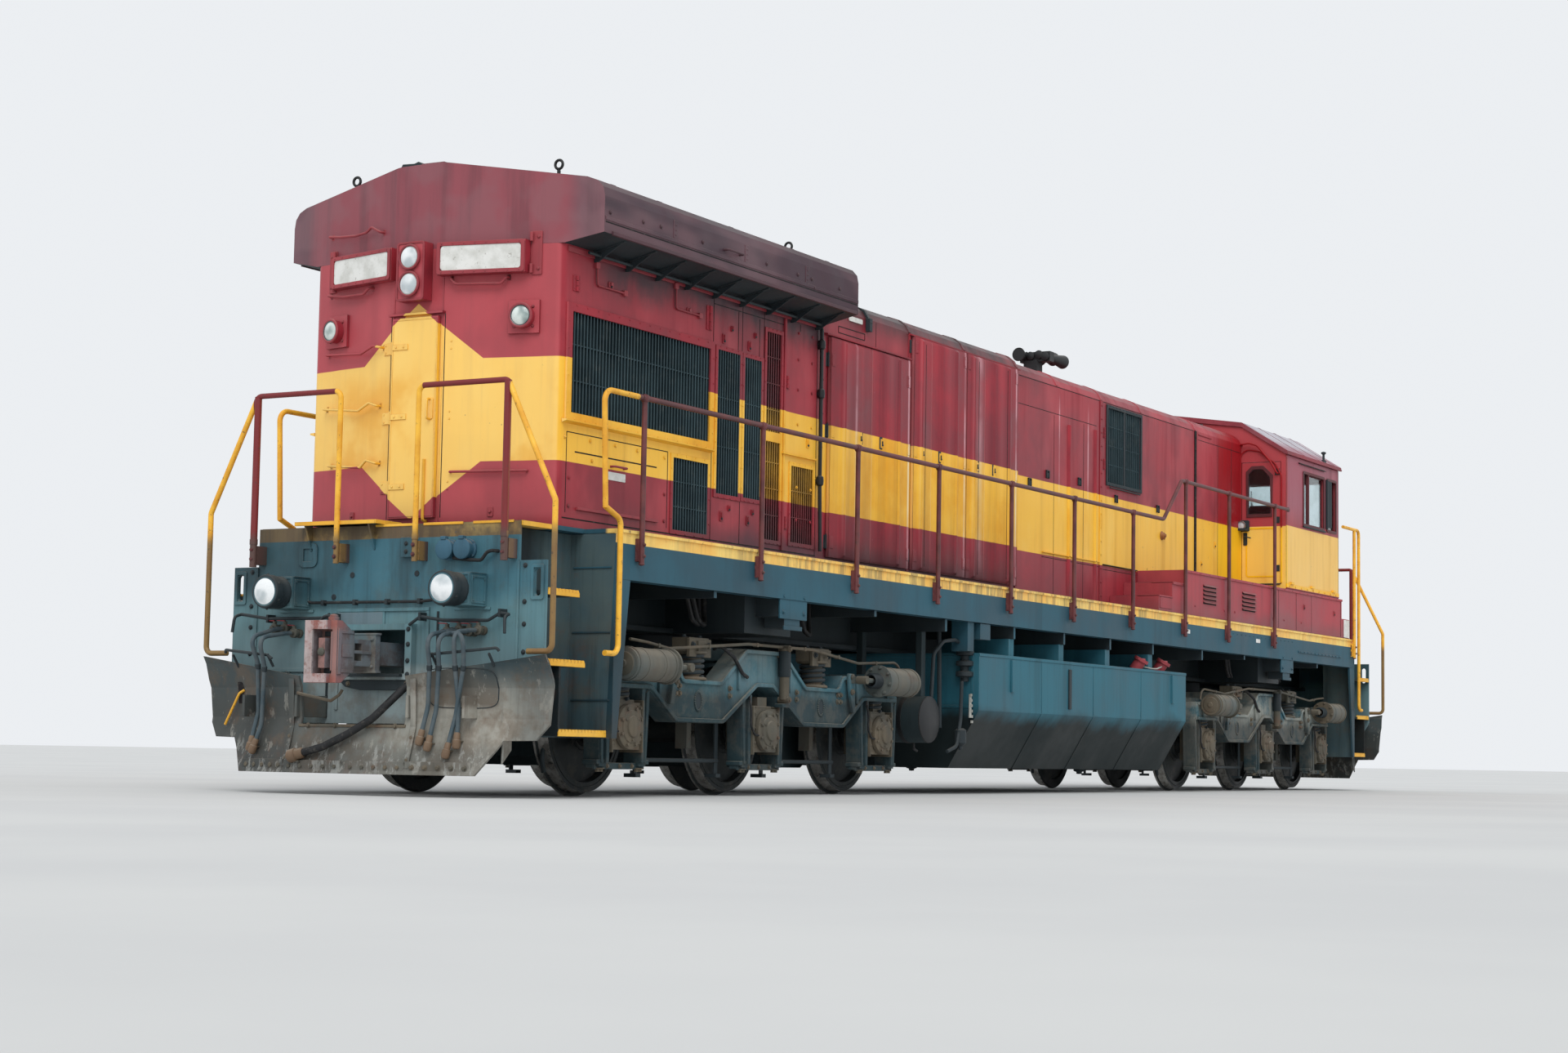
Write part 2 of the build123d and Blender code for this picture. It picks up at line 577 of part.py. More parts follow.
# wheel half section (radius, y) from the bore outwards; y measured outward from the inner face
def wheelset(x):
    prof = [(0, 0), (0, 1190), (85, 1190), (85, 950), (95, 950), (95, 880), (155, 880), (160, 850), (190, 835),
            (420, 800), (430, 858), (505, 855), (508, 790), (512, 760), (536, 752), (536, 733), (520, 722), (432, 720),
            (425, 745), (190, 745), (160, 720), (110, 690), (100, 660), (100, 0)]
    pts = [(x + r, y, AXLE_Z) for r, y in prof]
    face = Face(Wire.make_polygon([Vector(*p) for p in pts], close=True))
    half = Solid.revolve(face, 360, Axis((x, 0, AXLE_Z), (0, 1, 0)))
    return half + half.mirror(Plane.XZ)


def coupler(t):
    zc = 1028
    # head in side view (forward x, z), its pocket with the lock, and the shoulder behind it
    side = [(10395, 800), (10395, 1245), (10290, 1245), (10150, 1160), (10150, 895), (10290, 800)]
    h = prism_y([(t * x, z) for x, z in side], *sorted((-t * 135, t * 120)))
    h -= box(*sorted((t * 10285, t * 10450)), *sorted((-t * 65, t * 75)), 865, 1180)
    h -= box(*sorted((t * 10345, t * 10450)), *sorted((t * 60, t * 140)), 780, 1260)
    lock = box(*sorted((t * 10270, t * 10365)), *sorted((-t * 30, t * 28)), 905, 1120)
    neck = box(*sorted((t * 9900, t * 10180)), -100, 100, zc - 100, zc + 92)
    neck -= box(*sorted((t * 10040, t * 10120)), -150, 150, zc - 62, zc - 8)
    neck -= box(*sorted((t * 10040, t * 10120)), -150, 150, zc + 8, zc + 62)
    shoulder = box(*sorted((t * 9880, t * 9935)), -140, 140, zc - 135, zc + 135)
    shank = box(*sorted((t * 8990, t * 9920)), -95, 95, zc - 85, zc + 85)
    eye = cyl((t * 8980, 0, zc - 85), (t * 8980, 0, zc + 85), 105)
    pin = cyl((t * 8980, 0, zc - 150), (t * 8980, 0, zc + 150), 40)
    return fuse([h, lock, neck, shoulder, shank, eye, pin])


# ---------------------------------------------------------------- write
save("underframe", underframe())
save("pilot_plates", pilot_plates())
save("snowploughs", snowploughs())
save("corner_steps", corner_steps())
save("radiator_hood", radiator_hood())
save("radiator_roof", radiator_roof())
save("engine_hood", engine_hood())
save("control_hood", control_hood())
save("hood_grilles", radiator_grilles() + control_grilles())
save("walkway_boxes", walkway_boxes())
save("cab_shell", cab_shell())
save("cab_roof", cab_roof())
save("cab_glass", cab_glass())
save("cab_seats", cab_seats())
save("control_desk", control_desk())
save("nose", nose())
save("fuel_tank", fuel_tank())
save("air_reservoirs", air_reservoirs())
save("engine_block", engine_block())
side_rails, end_rails = handrails()
save("handrail_left", side_rails)
save("handrail_right", [mirror(r, about=Plane.XZ) for r in side_rails])
save("handrail_ends", end_rails + [mirror(r, about=Plane.XZ) for r in end_rails])
save("rear_lamps", rear_lamps())
save("front_lamps", front_lamps())
save("horn", horn())

for name, cx in (("rear", -BOGIE_X), ("front", BOGIE_X)):
    save(name + "_bogie_frame", bogie_frame(cx))
    save(name + "_bogie_suspension", bogie_suspension(cx))
    save(name + "_brake_gear", brake_gear(cx))
    save(name + "_traction_motors", traction_motors(cx))
    for k, dx in enumerate(AXLE_DX):
        save("%s_wheelset_%d" % (name, k + 1), wheelset(cx + (dx if cx < 0 else -dx)))

for name, t in (("rear", -1), ("front", 1)):
    save(name + "_coupler", coupler(t))

for name, xh, xf, s, z1 in door_leaves():
    save(name, box(*sorted((xh, xf)), *sorted((s * (ENG_Y + GAP), s * (ENG_Y + GAP + LEAF))), DOOR_Z0, z1))

save("radiator_end_door", box(RAD_X0 + RAD_SLOPE * 240 - GAP - LEAF, RAD_X0 + RAD_SLOPE * 240 - GAP, -215, 215, 2060, 3580))
save("nose_door", box(NOSE_X1 + GAP, NOSE_X1 + GAP + LEAF, -265, 265, 2085, 3065))
save("cab_door_right", window_door(CAB_X0, 1, -1430, -930, 2562, 4074, -1000, -1315, 3410, 4010))
save("cab_door_left", window_door(CAB_X1, -1, 1430, 930, 2562, 4074, 1000, 1315, 3410, 4010))
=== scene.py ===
import bpy
import bmesh
import json
import math
import random
from mathutils import Vector, Matrix

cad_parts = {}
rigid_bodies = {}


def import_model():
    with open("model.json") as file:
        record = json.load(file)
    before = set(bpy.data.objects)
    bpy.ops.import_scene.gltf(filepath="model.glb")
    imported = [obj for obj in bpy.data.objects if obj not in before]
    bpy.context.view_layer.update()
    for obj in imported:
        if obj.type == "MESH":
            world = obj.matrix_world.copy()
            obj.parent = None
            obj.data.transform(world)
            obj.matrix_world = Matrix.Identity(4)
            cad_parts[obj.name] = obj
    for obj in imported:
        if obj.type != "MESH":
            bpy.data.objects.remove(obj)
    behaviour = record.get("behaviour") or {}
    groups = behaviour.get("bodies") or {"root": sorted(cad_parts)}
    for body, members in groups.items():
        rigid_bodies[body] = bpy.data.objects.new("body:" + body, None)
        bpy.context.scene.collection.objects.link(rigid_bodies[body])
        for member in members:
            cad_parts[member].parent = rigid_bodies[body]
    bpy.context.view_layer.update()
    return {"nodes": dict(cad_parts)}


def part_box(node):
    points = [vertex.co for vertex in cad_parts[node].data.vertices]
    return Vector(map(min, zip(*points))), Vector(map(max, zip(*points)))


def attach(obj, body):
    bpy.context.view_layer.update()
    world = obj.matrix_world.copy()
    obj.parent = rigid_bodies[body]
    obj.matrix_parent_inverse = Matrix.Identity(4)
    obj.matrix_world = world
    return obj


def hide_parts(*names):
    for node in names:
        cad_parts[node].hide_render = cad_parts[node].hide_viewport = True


# Six-axle diesel locomotive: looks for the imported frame.  Metres, +X towards the cab end.
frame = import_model()
NODES = frame["nodes"]
scene = bpy.context.scene
for o in list(bpy.data.objects):
    if o.name in ("Cube", "Light", "Camera"):
        bpy.data.objects.remove(o)


# ------------------------------------------------------------------ colour and shader helpers
def lin(r, g, b):
    def f(c):
        c /= 255.0
        return c / 12.92 if c <= 0.04045 else ((c + 0.055) / 1.055) ** 2.4
    return (f(r), f(g), f(b), 1.0)


class G:
    """Small builder for one node material; coordinates are the rest position in metres."""

    def __init__(self, name, **consts):
        self.m = bpy.data.materials.new(name)
        self.m.use_nodes = True
        self.t = self.m.node_tree
        self.n = self.t.nodes
        self.n.clear()
        self.out = self.n.new("ShaderNodeOutputMaterial")
        self.b = self.n.new("ShaderNodeBsdfPrincipled")
        self.t.links.new(self.b.outputs[0], self.out.inputs[0])
        tc = self.n.new("ShaderNodeTexCoord")
        self.co = tc.outputs["Object"]
        s = self.n.new("ShaderNodeSeparateXYZ")
        self.t.links.new(self.co, s.inputs[0])
        self.x, self.y, self.z = s.outputs
        ge = self.n.new("ShaderNodeNewGeometry")
        self.nrm = ge.outputs["Normal"]
        s2 = self.n.new("ShaderNodeSeparateXYZ")
        self.t.links.new(self.nrm, s2.inputs[0])
        self.nx, self.ny, self.nz = s2.outputs
        for k, v in consts.items():
            self.b.inputs[k.replace("_", " ")].default_value = v

    def put(self, sock, v):
        if isinstance(v, bpy.types.NodeSocket):
            self.t.links.new(v, sock)
        else:
            sock.default_value = v

    def math(self, op, a, b=None, c=None, clamp=False):
        n = self.n.new("ShaderNodeMath")
        n.operation = op
        n.use_clamp = clamp
        for i, v in enumerate((a, b, c)):
            if v is not None:
                self.put(n.inputs[i], v)
        return n.outputs[0]

    def add(self, a, b):
        return self.math("ADD", a, b)

    def sub(self, a, b):
        return self.math("SUBTRACT", a, b)

    def mul(self, a, b):
        return self.math("MULTIPLY", a, b)

    def mx(self, a, b):
        return self.math("MAXIMUM", a, b)

    def mn(self, a, b):
        return self.math("MINIMUM", a, b)

    def abs(self, a):
        return self.math("ABSOLUTE", a)

    def inv(self, a):
        return self.math("SUBTRACT", 1.0, a)

    def ss(self, v, a, b, lo=0.0, hi=1.0):
        n = self.n.new("ShaderNodeMapRange")
        n.interpolation_type = "SMOOTHSTEP"
        self.put(n.inputs["Value"], v)
        for k, q in (("From Min", a), ("From Max", b), ("To Min", lo), ("To Max", hi)):
            self.put(n.inputs[k], q)
        return n.outputs[0]

    def band(self, v, a, b, w=0.003):
        return self.mul(self.ss(v, a - w, a + w), self.ss(v, b - w, b + w, 1.0, 0.0))

    def coords(self, stretch=None, shift=(0, 0, 0)):
        if stretch is None and shift == (0, 0, 0):
            return self.co
        n = self.n.new("ShaderNodeMapping")
        self.t.links.new(self.co, n.inputs[0])
        n.inputs["Scale"].default_value = stretch or (1, 1, 1)
        n.inputs["Location"].default_value = shift
        return n.outputs[0]

    def noise(self, scale, detail=4.0, rough=0.55, stretch=None, shift=(0, 0, 0), dist=0.0):
        n = self.n.new("ShaderNodeTexNoise")
        self.t.links.new(self.coords(stretch, shift), n.inputs["Vector"])
        n.inputs["Scale"].default_value = scale
        n.inputs["Detail"].default_value = detail
        n.inputs["Roughness"].default_value = rough
        n.inputs["Distortion"].default_value = dist
        return n.outputs["Fac"]

    def vor(self, scale, stretch=None, feature="F1"):
        n = self.n.new("ShaderNodeTexVoronoi")
        n.feature = feature
        self.t.links.new(self.coords(stretch), n.inputs["Vector"])
        n.inputs["Scale"].default_value = scale
        return n.outputs["Distance"]

    def mix(self, f, a, b, mode="MIX"):
        n = self.n.new("ShaderNodeMix")
        n.data_type = "RGBA"
        n.blend_type = mode
        self.put(n.inputs[0], f)
        self.put(n.inputs[6], a)
        self.put(n.inputs[7], b)
        return n.outputs[2]

    def edge(self, r, lo=0.02, hi=0.35):
        """1 along sharp edges within r, for worn paint."""
        n = self.n.new("ShaderNodeBevel")
        n.samples = 3
        n.inputs["Radius"].default_value = r
        d = self.n.new("ShaderNodeVectorMath")
        d.operation = "DOT_PRODUCT"
        self.t.links.new(n.outputs[0], d.inputs[0])
        self.t.links.new(self.nrm, d.inputs[1])
        return self.ss(self.inv(d.outputs["Value"]), lo, hi)

    def bump(self, h, strength, dist=0.01, normal=None):
        n = self.n.new("ShaderNodeBump")
        n.inputs["Strength"].default_value = strength
        n.inputs["Distance"].default_value = dist
        self.put(n.inputs["Height"], h)
        if normal is not None:
            self.put(n.inputs["Normal"], normal)
        return n.outputs[0]

    def soft_edge(self, r):
        n = self.n.new("ShaderNodeBevel")
        n.samples = 3
        n.inputs["Radius"].default_value = r
        return n.outputs[0]

    def done(self, color, rough, normal=None, metal=None):
        self.put(self.b.inputs["Base Color"], color)
        self.put(self.b.inputs["Roughness"], rough)
        if metal is not None:
            self.put(self.b.inputs["Metallic"], metal)
        if normal is not None:
            self.put(self.b.inputs["Normal"], normal)
        return self.m


def weather_and_shade(g, col, streak_col, streak=0.3, dust_col=None, dust=0.0, low_col=None, low=(1.0, 0.4), low_amt=0.5,
            blotch=0.25, blotch_col=None, spots=0.15):
    """Layers common to every painted or oily surface: blotches, vertical runs, settled dust, and a colour towards the
    bottom: splash from below on some materials, painted shade on others.
    """
    big = g.noise(0.9, 5, 0.62)
    if blotch_col is not None:
        col = g.mix(g.mul(g.ss(big, 0.38, 0.66), blotch), col, blotch_col)
    run = g.noise(1.0, 5, 0.6, stretch=(5.5, 5.5, 0.35))
    fine = g.noise(1.0, 3, 0.6, stretch=(26, 26, 1.3), shift=(3, 1, 7))
    k = g.mul(g.add(g.mul(g.ss(run, 0.48, 0.72), 0.7), g.mul(g.ss(fine, 0.52, 0.8), 0.55)), streak)
    col = g.mix(k, col, streak_col)
    if spots:
        sp = g.noise(38, 2, 0.7)
        col = g.mix(g.mul(g.ss(sp, 0.66, 0.74), spots), col, streak_col)
    if low_col is not None:
        f = g.mul(g.ss(g.add(g.z, g.mul(g.sub(big, 0.5), 0.5)), low[1], low[0], 1.0, 0.0), low_amt)
        col = g.mix(f, col, low_col)
    if dust_col is not None and dust:
        up = g.ss(g.nz, 0.35, 0.9)
        d = g.mul(g.mul(up, g.ss(g.noise(4.5, 5, 0.65), 0.3, 0.62, 0.35, 1.0)), dust)
        col = g.mix(d, col, dust_col)
    return col


# ------------------------------------------------------------------ colours
MAROON = lin(166, 51, 62)
MAROON_D = lin(134, 42, 53)
MAROON_L = lin(188, 72, 80)
RED_FRESH = lin(158, 24, 32)
YEL = lin(253, 196, 66)
YEL_D = lin(240, 170, 42)
YEL_FRESH = lin(255, 200, 34)
SOOT = lin(38, 38, 40)
GRIME = lin(70, 62, 60)
DUST = lin(176, 168, 156)
FRAME_B = lin(62, 92, 104)
FRAME_D = lin(40, 58, 64)
BOGIE_B = lin(60, 88, 97)
BOGIE_D = lin(30, 38, 40)
DIRT = lin(108, 104, 96)
RUST = lin(104, 70, 52)


def hood_paint(name, fresh=True, soot=True):
    """Hood paint: maroon, yellow band widening to a diamond on both end faces."""
    g = G(name, Specular_IOR_Level=0.24)
    cab = g.ss(g.x, 6.10, 6.13)
    z0 = g.add(2.478, g.mul(cab, 0.035))
    z1 = g.add(3.252, g.mul(cab, 0.033))
    wob = g.mul(g.sub(g.noise(3.0, 2), 0.5), 0.006)
    zz = g.add(g.z, wob)
    band = g.mul(g.ss(g.sub(zz, z0), -0.003, 0.003), g.ss(g.sub(zz, z1), -0.003, 0.003, 1.0, 0.0))
    ay = g.abs(g.y)
    up = g.ss(g.sub(g.mul(g.sub(3.69, zz), 1.279), ay), -0.004, 0.004)
    up = g.mul(up, g.ss(zz, 2.9, 3.0))
    dn = g.ss(g.sub(g.mul(g.sub(zz, 2.05), 1.31), ay), -0.004, 0.004)
    dn = g.mul(dn, g.inv(g.ss(zz, 2.9, 3.0)))
    ends = g.mx(g.mul(g.ss(g.x, -9.10, -9.06, 1.0, 0.0), 1.0), g.ss(g.x, 9.02, 9.06))
    dia = g.mul(g.mx(up, dn), ends)
    yel = g.mx(band, dia)
    # faded paint in panels, chalky patches
    big = g.noise(0.8, 6, 0.62, dist=0.4)
    pan = g.noise(2.2, 3, 0.5, stretch=(1.0, 1.0, 0.5), shift=(11, 3, 5))
    red = g.mix(g.ss(big, 0.34, 0.64), MAROON_D, MAROON)
    red = g.mix(g.mul(g.ss(pan, 0.5, 0.72), 0.6), red, MAROON_L)
    y = g.mix(g.mul(g.ss(big, 0.45, 0.7), 0.45), YEL, YEL_D)
    y = g.mix(g.mul(g.ss(pan, 0.5, 0.7), 0.3), y, lin(255, 214, 112))
    if fresh:
        fr = g.mx(g.mul(g.ss(g.x, 5.25, 5.32), g.ss(g.x, 6.19, 6.21, 1.0, 0.0)),
                  g.mul(g.ss(g.x, 5.2, 5.3), 0.35))
        red = g.mix(fr, red, RED_FRESH)
        y = g.mix(fr, y, YEL_FRESH)
    # painted sheen: the cab's side faces are paled toward cream, and toward lilac higher up, as a lit side reflecting
    # the sky
    side = g.mul(g.mul(g.ss(g.x, 6.15, 6.2), g.ss(g.abs(g.ny), 0.5, 0.8)), g.ss(g.z, 2.0, 2.2))
    y = g.mix(g.mul(side, 0.28), y, lin(230, 200, 160))
    red = g.mix(g.mul(g.mul(side, g.ss(g.z, 3.2, 3.6)), 0.30), red, lin(156, 124, 146))
    col = g.mix(yel, red, y)
    # vertical runs and dirt
    run = g.noise(1.0, 5, 0.6, stretch=(5.0, 5.0, 0.30))
    fine = g.noise(1.0, 3, 0.6, stretch=(30, 30, 1.2), shift=(3, 1, 7))
    k = g.add(g.mul(g.ss(run, 0.47, 0.74), 0.34), g.mul(g.ss(fine, 0.52, 0.82), 0.25))
    col = g.mix(g.mul(k, 0.85), col, g.mix(yel, lin(92, 40, 47), lin(176, 122, 58)))
    # painted light: the end face is painted paler, as if it caught more light, and keeps a chalky bloom
    ef = g.mul(g.mx(g.ss(g.nx, -0.6, -0.85), g.ss(g.nx, 0.6, 0.85)), g.ss(g.z, 2.0, 2.1))
    col = g.mix(g.mul(ef, 0.42), col, g.mix(yel, lin(206, 104, 110), lin(255, 224, 150)))
    # rubbed rust-orange stain round the grab rails of the end face
    st = g.mul(g.mul(ef, g.ss(g.noise(1.3, 4, 0.6, shift=(2, 5, 9)), 0.5, 0.68)), g.mul(g.ss(g.z, 2.4, 2.5), g.ss(g.z, 3.3, 3.0)))
    col = g.mix(g.mul(st, 0.6), col, g.mix(yel, lin(176, 74, 72), lin(236, 166, 52)))
    # scraped chips, scattered, showing undercoat
    chip = g.mul(g.ss(g.noise(17, 3, 0.75), 0.70, 0.73), g.ss(g.noise(1.7, 2, 0.5, shift=(5, 9, 2)), 0.5, 0.66))
    col = g.mix(g.mul(chip, 0.8), col, lin(96, 92, 90))
    # splash near the deck
    lowm = g.mul(g.ss(g.add(g.z, g.mul(big, 0.3)), 2.10, 2.42, 1.0, 0.0), 0.26)
    col = g.mix(lowm, col, lin(112, 70, 68))
    dk = g.mul(g.mul(g.ss(g.x, -7.6, -6.4), g.ss(g.x, -0.6, -2.4)), g.ss(g.add(g.z, g.mul(g.sub(big, 0.5), 0.2)), 2.27, 2.07))
    col = g.mix(g.mul(dk, 0.66), col, lin(58, 38, 50))
    # painted shadow and some grime under the roof overhang: the top of the wall darkened to teal-black
    overhang_shadow_grime = g.mul(g.mul(g.mul(g.ss(g.x, -4.7, -5.3), g.ss(g.x, -9.1, -8.3)), g.ss(g.abs(g.ny), 0.5, 0.8)),
               g.ss(g.add(g.z, g.mul(g.sub(g.noise(2.0, 5, 0.66, stretch=(1, 1, 0.6)), 0.5), 0.45)), 3.76, 4.04))
    col = g.mix(g.mul(overhang_shadow_grime, 0.85), col, lin(28, 42, 48))
    # painted highlights: pale vertical streaks on the control hood's sides where folded edges catch the light
    highlight_zone = g.mul(g.ss(g.abs(g.ny), 0.5, 0.8), g.mul(g.ss(g.z, 3.0, 3.3), g.ss(g.z, 4.25, 4.0)))
    painted_highlight = g.mx(g.band(g.x, 0.488, 0.512, 0.012), g.band(g.x, 1.262, 1.286, 0.012))
    painted_highlight = g.mul(g.mul(painted_highlight, highlight_zone), g.ss(g.noise(1.0, 4, 0.6, stretch=(2, 2, 1.6), shift=(1, 4, 2)), 0.38, 0.6, 0.25, 0.8))
    col = g.mix(painted_highlight, col, g.mix(yel, lin(226, 168, 176), lin(255, 238, 190)))
    if soot:
        s = g.mul(g.mul(g.ss(g.x, -5.6, -4.6), g.ss(g.x, -0.9, 0.6, 1.0, 0.0)), g.ss(g.z, 4.05, 4.42))
        s = g.mul(s, g.ss(g.noise(2.4, 5, 0.65, stretch=(1, 1, 0.6)), 0.28, 0.6, 0.45, 1.0))
        col = g.mix(g.mul(s, 0.92), col, SOOT)
        s2 = g.mul(g.mul(g.ss(g.x, -9.0, -5.0, 0.25, 0.7), g.ss(g.x, 4.0, 6.5, 1.0, 0.3)), g.ss(g.nz, 0.45, 0.85))
        col = g.mix(g.mul(s2, g.ss(g.noise(3.1, 5, 0.6), 0.35, 0.65, 0.3, 0.85)), col, lin(74, 62, 60))
    e = g.mul(g.edge(0.010), g.ss(g.noise(9, 4, 0.7), 0.42, 0.62))
    col = g.mix(g.mul(e, 0.55), col, lin(104, 88, 84))
    rough = g.ss(g.add(g.mul(big, 0.6), g.mul(k, 0.5)), 0.2, 0.7, 0.36, 0.62)
    hgt = g.add(g.mul(g.noise(1.4, 3, 0.5), 1.0), g.mul(g.noise(160, 2, 0.5), 0.012))
    nrm = g.bump(hgt, 0.22, 0.018, g.soft_edge(0.006))
    return g.done(col, rough, nrm)


M = {}
M["hood"] = hood_paint("hood_paint_banded")


def roof_paint(name="radiator_roof_paint"):
    g = G(name, Specular_IOR_Level=0.4)
    big = g.noise(0.9, 6, 0.62)
    col = g.mix(g.ss(big, 0.35, 0.65), lin(104, 72, 81), lin(126, 82, 90))
    front = g.ss(g.x, -9.16, -9.12, 1.0, 0.0)
    col = g.mix(g.mul(front, 0.78), col, lin(150, 70, 80))
    # painted shade: the roof's side faces darkened to a deep maroon-brown
    side_shade = g.mul(g.ss(g.abs(g.ny), 0.55, 0.8), g.inv(front))
    col = g.mix(g.mul(side_shade, 0.88), col, lin(54, 36, 48))
    run = g.noise(1.0, 5, 0.6, stretch=(5.5, 5.5, 0.4))
    col = g.mix(g.mul(g.ss(run, 0.45, 0.72), 0.4), col, lin(66, 50, 56))
    sheet = g.mul(g.ss(g.noise(1.0, 2, 0.5, stretch=(0.9, 3.0, 3.0)), 0.42, 0.6), 0.35)
    col = g.mix(sheet, col, lin(134, 96, 102))
    up = g.mul(g.ss(g.nz, 0.4, 0.85), g.ss(g.noise(2.6, 5, 0.62), 0.3, 0.62, 0.35, 0.9))
    col = g.mix(up, col, lin(72, 64, 64))
    e = g.mul(g.edge(0.010), g.ss(g.noise(8, 4, 0.7), 0.4, 0.62))
    col = g.mix(g.mul(e, 0.5), col, lin(150, 124, 122))
    # slight oil-canning of the long sheets
    hgt = g.add(g.noise(1.6, 3, 0.5, stretch=(0.8, 1.6, 1.6)), g.mul(g.noise(140, 2, 0.5), 0.01))
    return g.done(col, g.ss(big, 0.3, 0.7, 0.42, 0.66), g.bump(hgt, 0.3, 0.02, g.soft_edge(0.008)))


M["roof"] = roof_paint()


def metal_paint(name, a, b, streak, dust=DUST, dusty=0.4, low=None, low_z=(1.0, 0.4), low_amt=0.5, rough=(0.45, 0.7),
                spec=0.4, streaks=0.35, wear=lin(120, 112, 104), wear_amt=0.4, extra=None, bump=0.2, rust=0.0,
                er=0.008):
    g = G(name, Specular_IOR_Level=spec)
    n = g.noise(1.2, 5, 0.6)
    col = g.mix(g.ss(n, 0.36, 0.66), a, b)
    if extra:
        col = extra(g, col)
    col = weather_and_shade(g, col, streak, streaks, dust, dusty, low, low_z, low_amt)
    if rust:
        r = g.mul(g.ss(g.noise(5, 6, 0.72, shift=(4, 4, 1)), 0.52, 0.7), rust)
        col = g.mix(r, col, RUST)
    if wear_amt:
        e = g.mul(g.edge(er), g.ss(g.noise(11, 4, 0.7), 0.4, 0.62))
        col = g.mix(g.mul(e, wear_amt), col, wear)
    h = g.add(g.noise(2.2, 3, 0.5), g.mul(g.noise(90, 3, 0.6), 0.03))
    return g.done(col, g.ss(n, 0.3, 0.7, rough[0], rough[1]), g.bump(h, bump, 0.012, g.soft_edge(er)))


def sill_extra(g, col):
    # yellow stripe along the sill's upper edge, dusty and chipped
    st = g.band(g.z, 1.884, 1.992, 0.003)
    y = g.mix(g.ss(g.noise(3, 5, 0.6), 0.35, 0.65), lin(255, 218, 122), lin(252, 196, 96))
    endb = g.ss(g.abs(g.x), 9.60, 9.64)
    y = g.mix(g.mul(endb, g.ss(g.noise(2.6, 5, 0.65), 0.26, 0.52, 0.6, 0.95)), y, lin(78, 68, 60))
    chip = g.ss(g.noise(12, 5, 0.75), 0.62, 0.68)
    y = g.mix(g.mul(chip, 0.8), y, lin(88, 86, 82))
    # grey runs that the doors let down on the stripe, and none of it on the stair notch
    gr = g.ss(g.noise(1.0, 4, 0.66, stretch=(13, 13, 1.2), shift=(4, 0, 2)), 0.46, 0.60)
    wx = g.mul(g.ss(g.x, -7.4, -6.6, 0.25, 1.0), g.ss(g.x, 2.4, 1.2, 0.25, 1.0))
    y = g.mix(g.mul(g.mul(gr, wx), 0.6), y, lin(140, 122, 86))
    notch = g.mul(g.ss(g.abs(g.y), 1.42, 1.38), g.mul(g.ss(g.abs(g.x), 8.70, 8.74), g.ss(g.abs(g.x), 9.30, 9.26)))
    st = g.mul(st, g.inv(notch))
    return g.mix(g.mul(st, g.ss(g.nz, 0.5, 0.8, 1.0, 0.0)), col, y)


def splash(g, col):
    """Pale dried road dirt in patches."""
    f = g.mul(g.ss(g.noise(2.8, 6, 0.68, stretch=(1, 1, 0.6)), 0.46, 0.7), 0.55)
    return g.mix(f, col, lin(112, 112, 106))


def brown_mist(g, col):
    """Brake dust: brown veil low down and in the corners."""
    f = g.mul(g.ss(g.noise(1.9, 5, 0.66, stretch=(1, 1, 0.7), shift=(6, 2, 4)), 0.42, 0.66), g.ss(g.z, 1.7, 0.9, 0.0, 0.55))
    return g.mix(f, col, lin(88, 74, 60))


def well_shade(g, col):
    """Stair wells: painted shade, near black, in the deep corner behind the end plate."""
    f = g.mul(g.ss(g.add(g.abs(g.x), g.mul(g.sub(g.noise(2.2, 4), 0.5), 0.3)), 9.10, 9.42), 0.85)
    return g.mix(f, col, lin(18, 22, 24))


def end_dirt_and_light(g, col):
    """End plates: oily brown on one half, pale scrapes low down, painted light below the coupler."""
    sd = g.mul(g.y, g.ss(g.x, -1.0, 1.0, 1.0, -1.0))
    f = g.mul(g.ss(g.add(sd, g.mul(g.sub(g.noise(1.6, 4, 0.6), 0.5), 0.9)), 0.25, 0.95), 0.62)
    col = g.mix(f, col, lin(44, 54, 56))
    q = g.mul(g.ss(g.noise(2.1, 6, 0.7, shift=(1, 7, 3)), 0.46, 0.64), g.ss(g.z, 1.75, 1.1, 0.15, 0.6))
    col = g.mix(q, col, lin(86, 84, 74))
    d = g.mul(g.ss(g.noise(1.0, 5, 0.66, stretch=(3.2, 3.2, 0.5), shift=(8, 1, 0)), 0.46, 0.66), 0.55)
    col = g.mix(g.mul(d, 0.95), col, lin(44, 58, 62))
    half = g.ss(g.add(g.z, g.mul(g.sub(g.noise(1.3, 4), 0.5), 0.3)), 1.52, 1.28)
    col = g.mix(g.mul(half, 0.62), col, lin(112, 150, 156))
    # painted light: the shaded recess below the coupler is painted pale
    low = g.mul(g.ss(g.abs(g.y), 0.74, 0.66), g.ss(g.z, 0.98, 0.90))
    return g.mix(g.mul(low, 0.85), col, g.mix(g.ss(g.noise(3.1, 5, 0.66), 0.4, 0.6), lin(176, 190, 190), lin(150, 138, 122)))


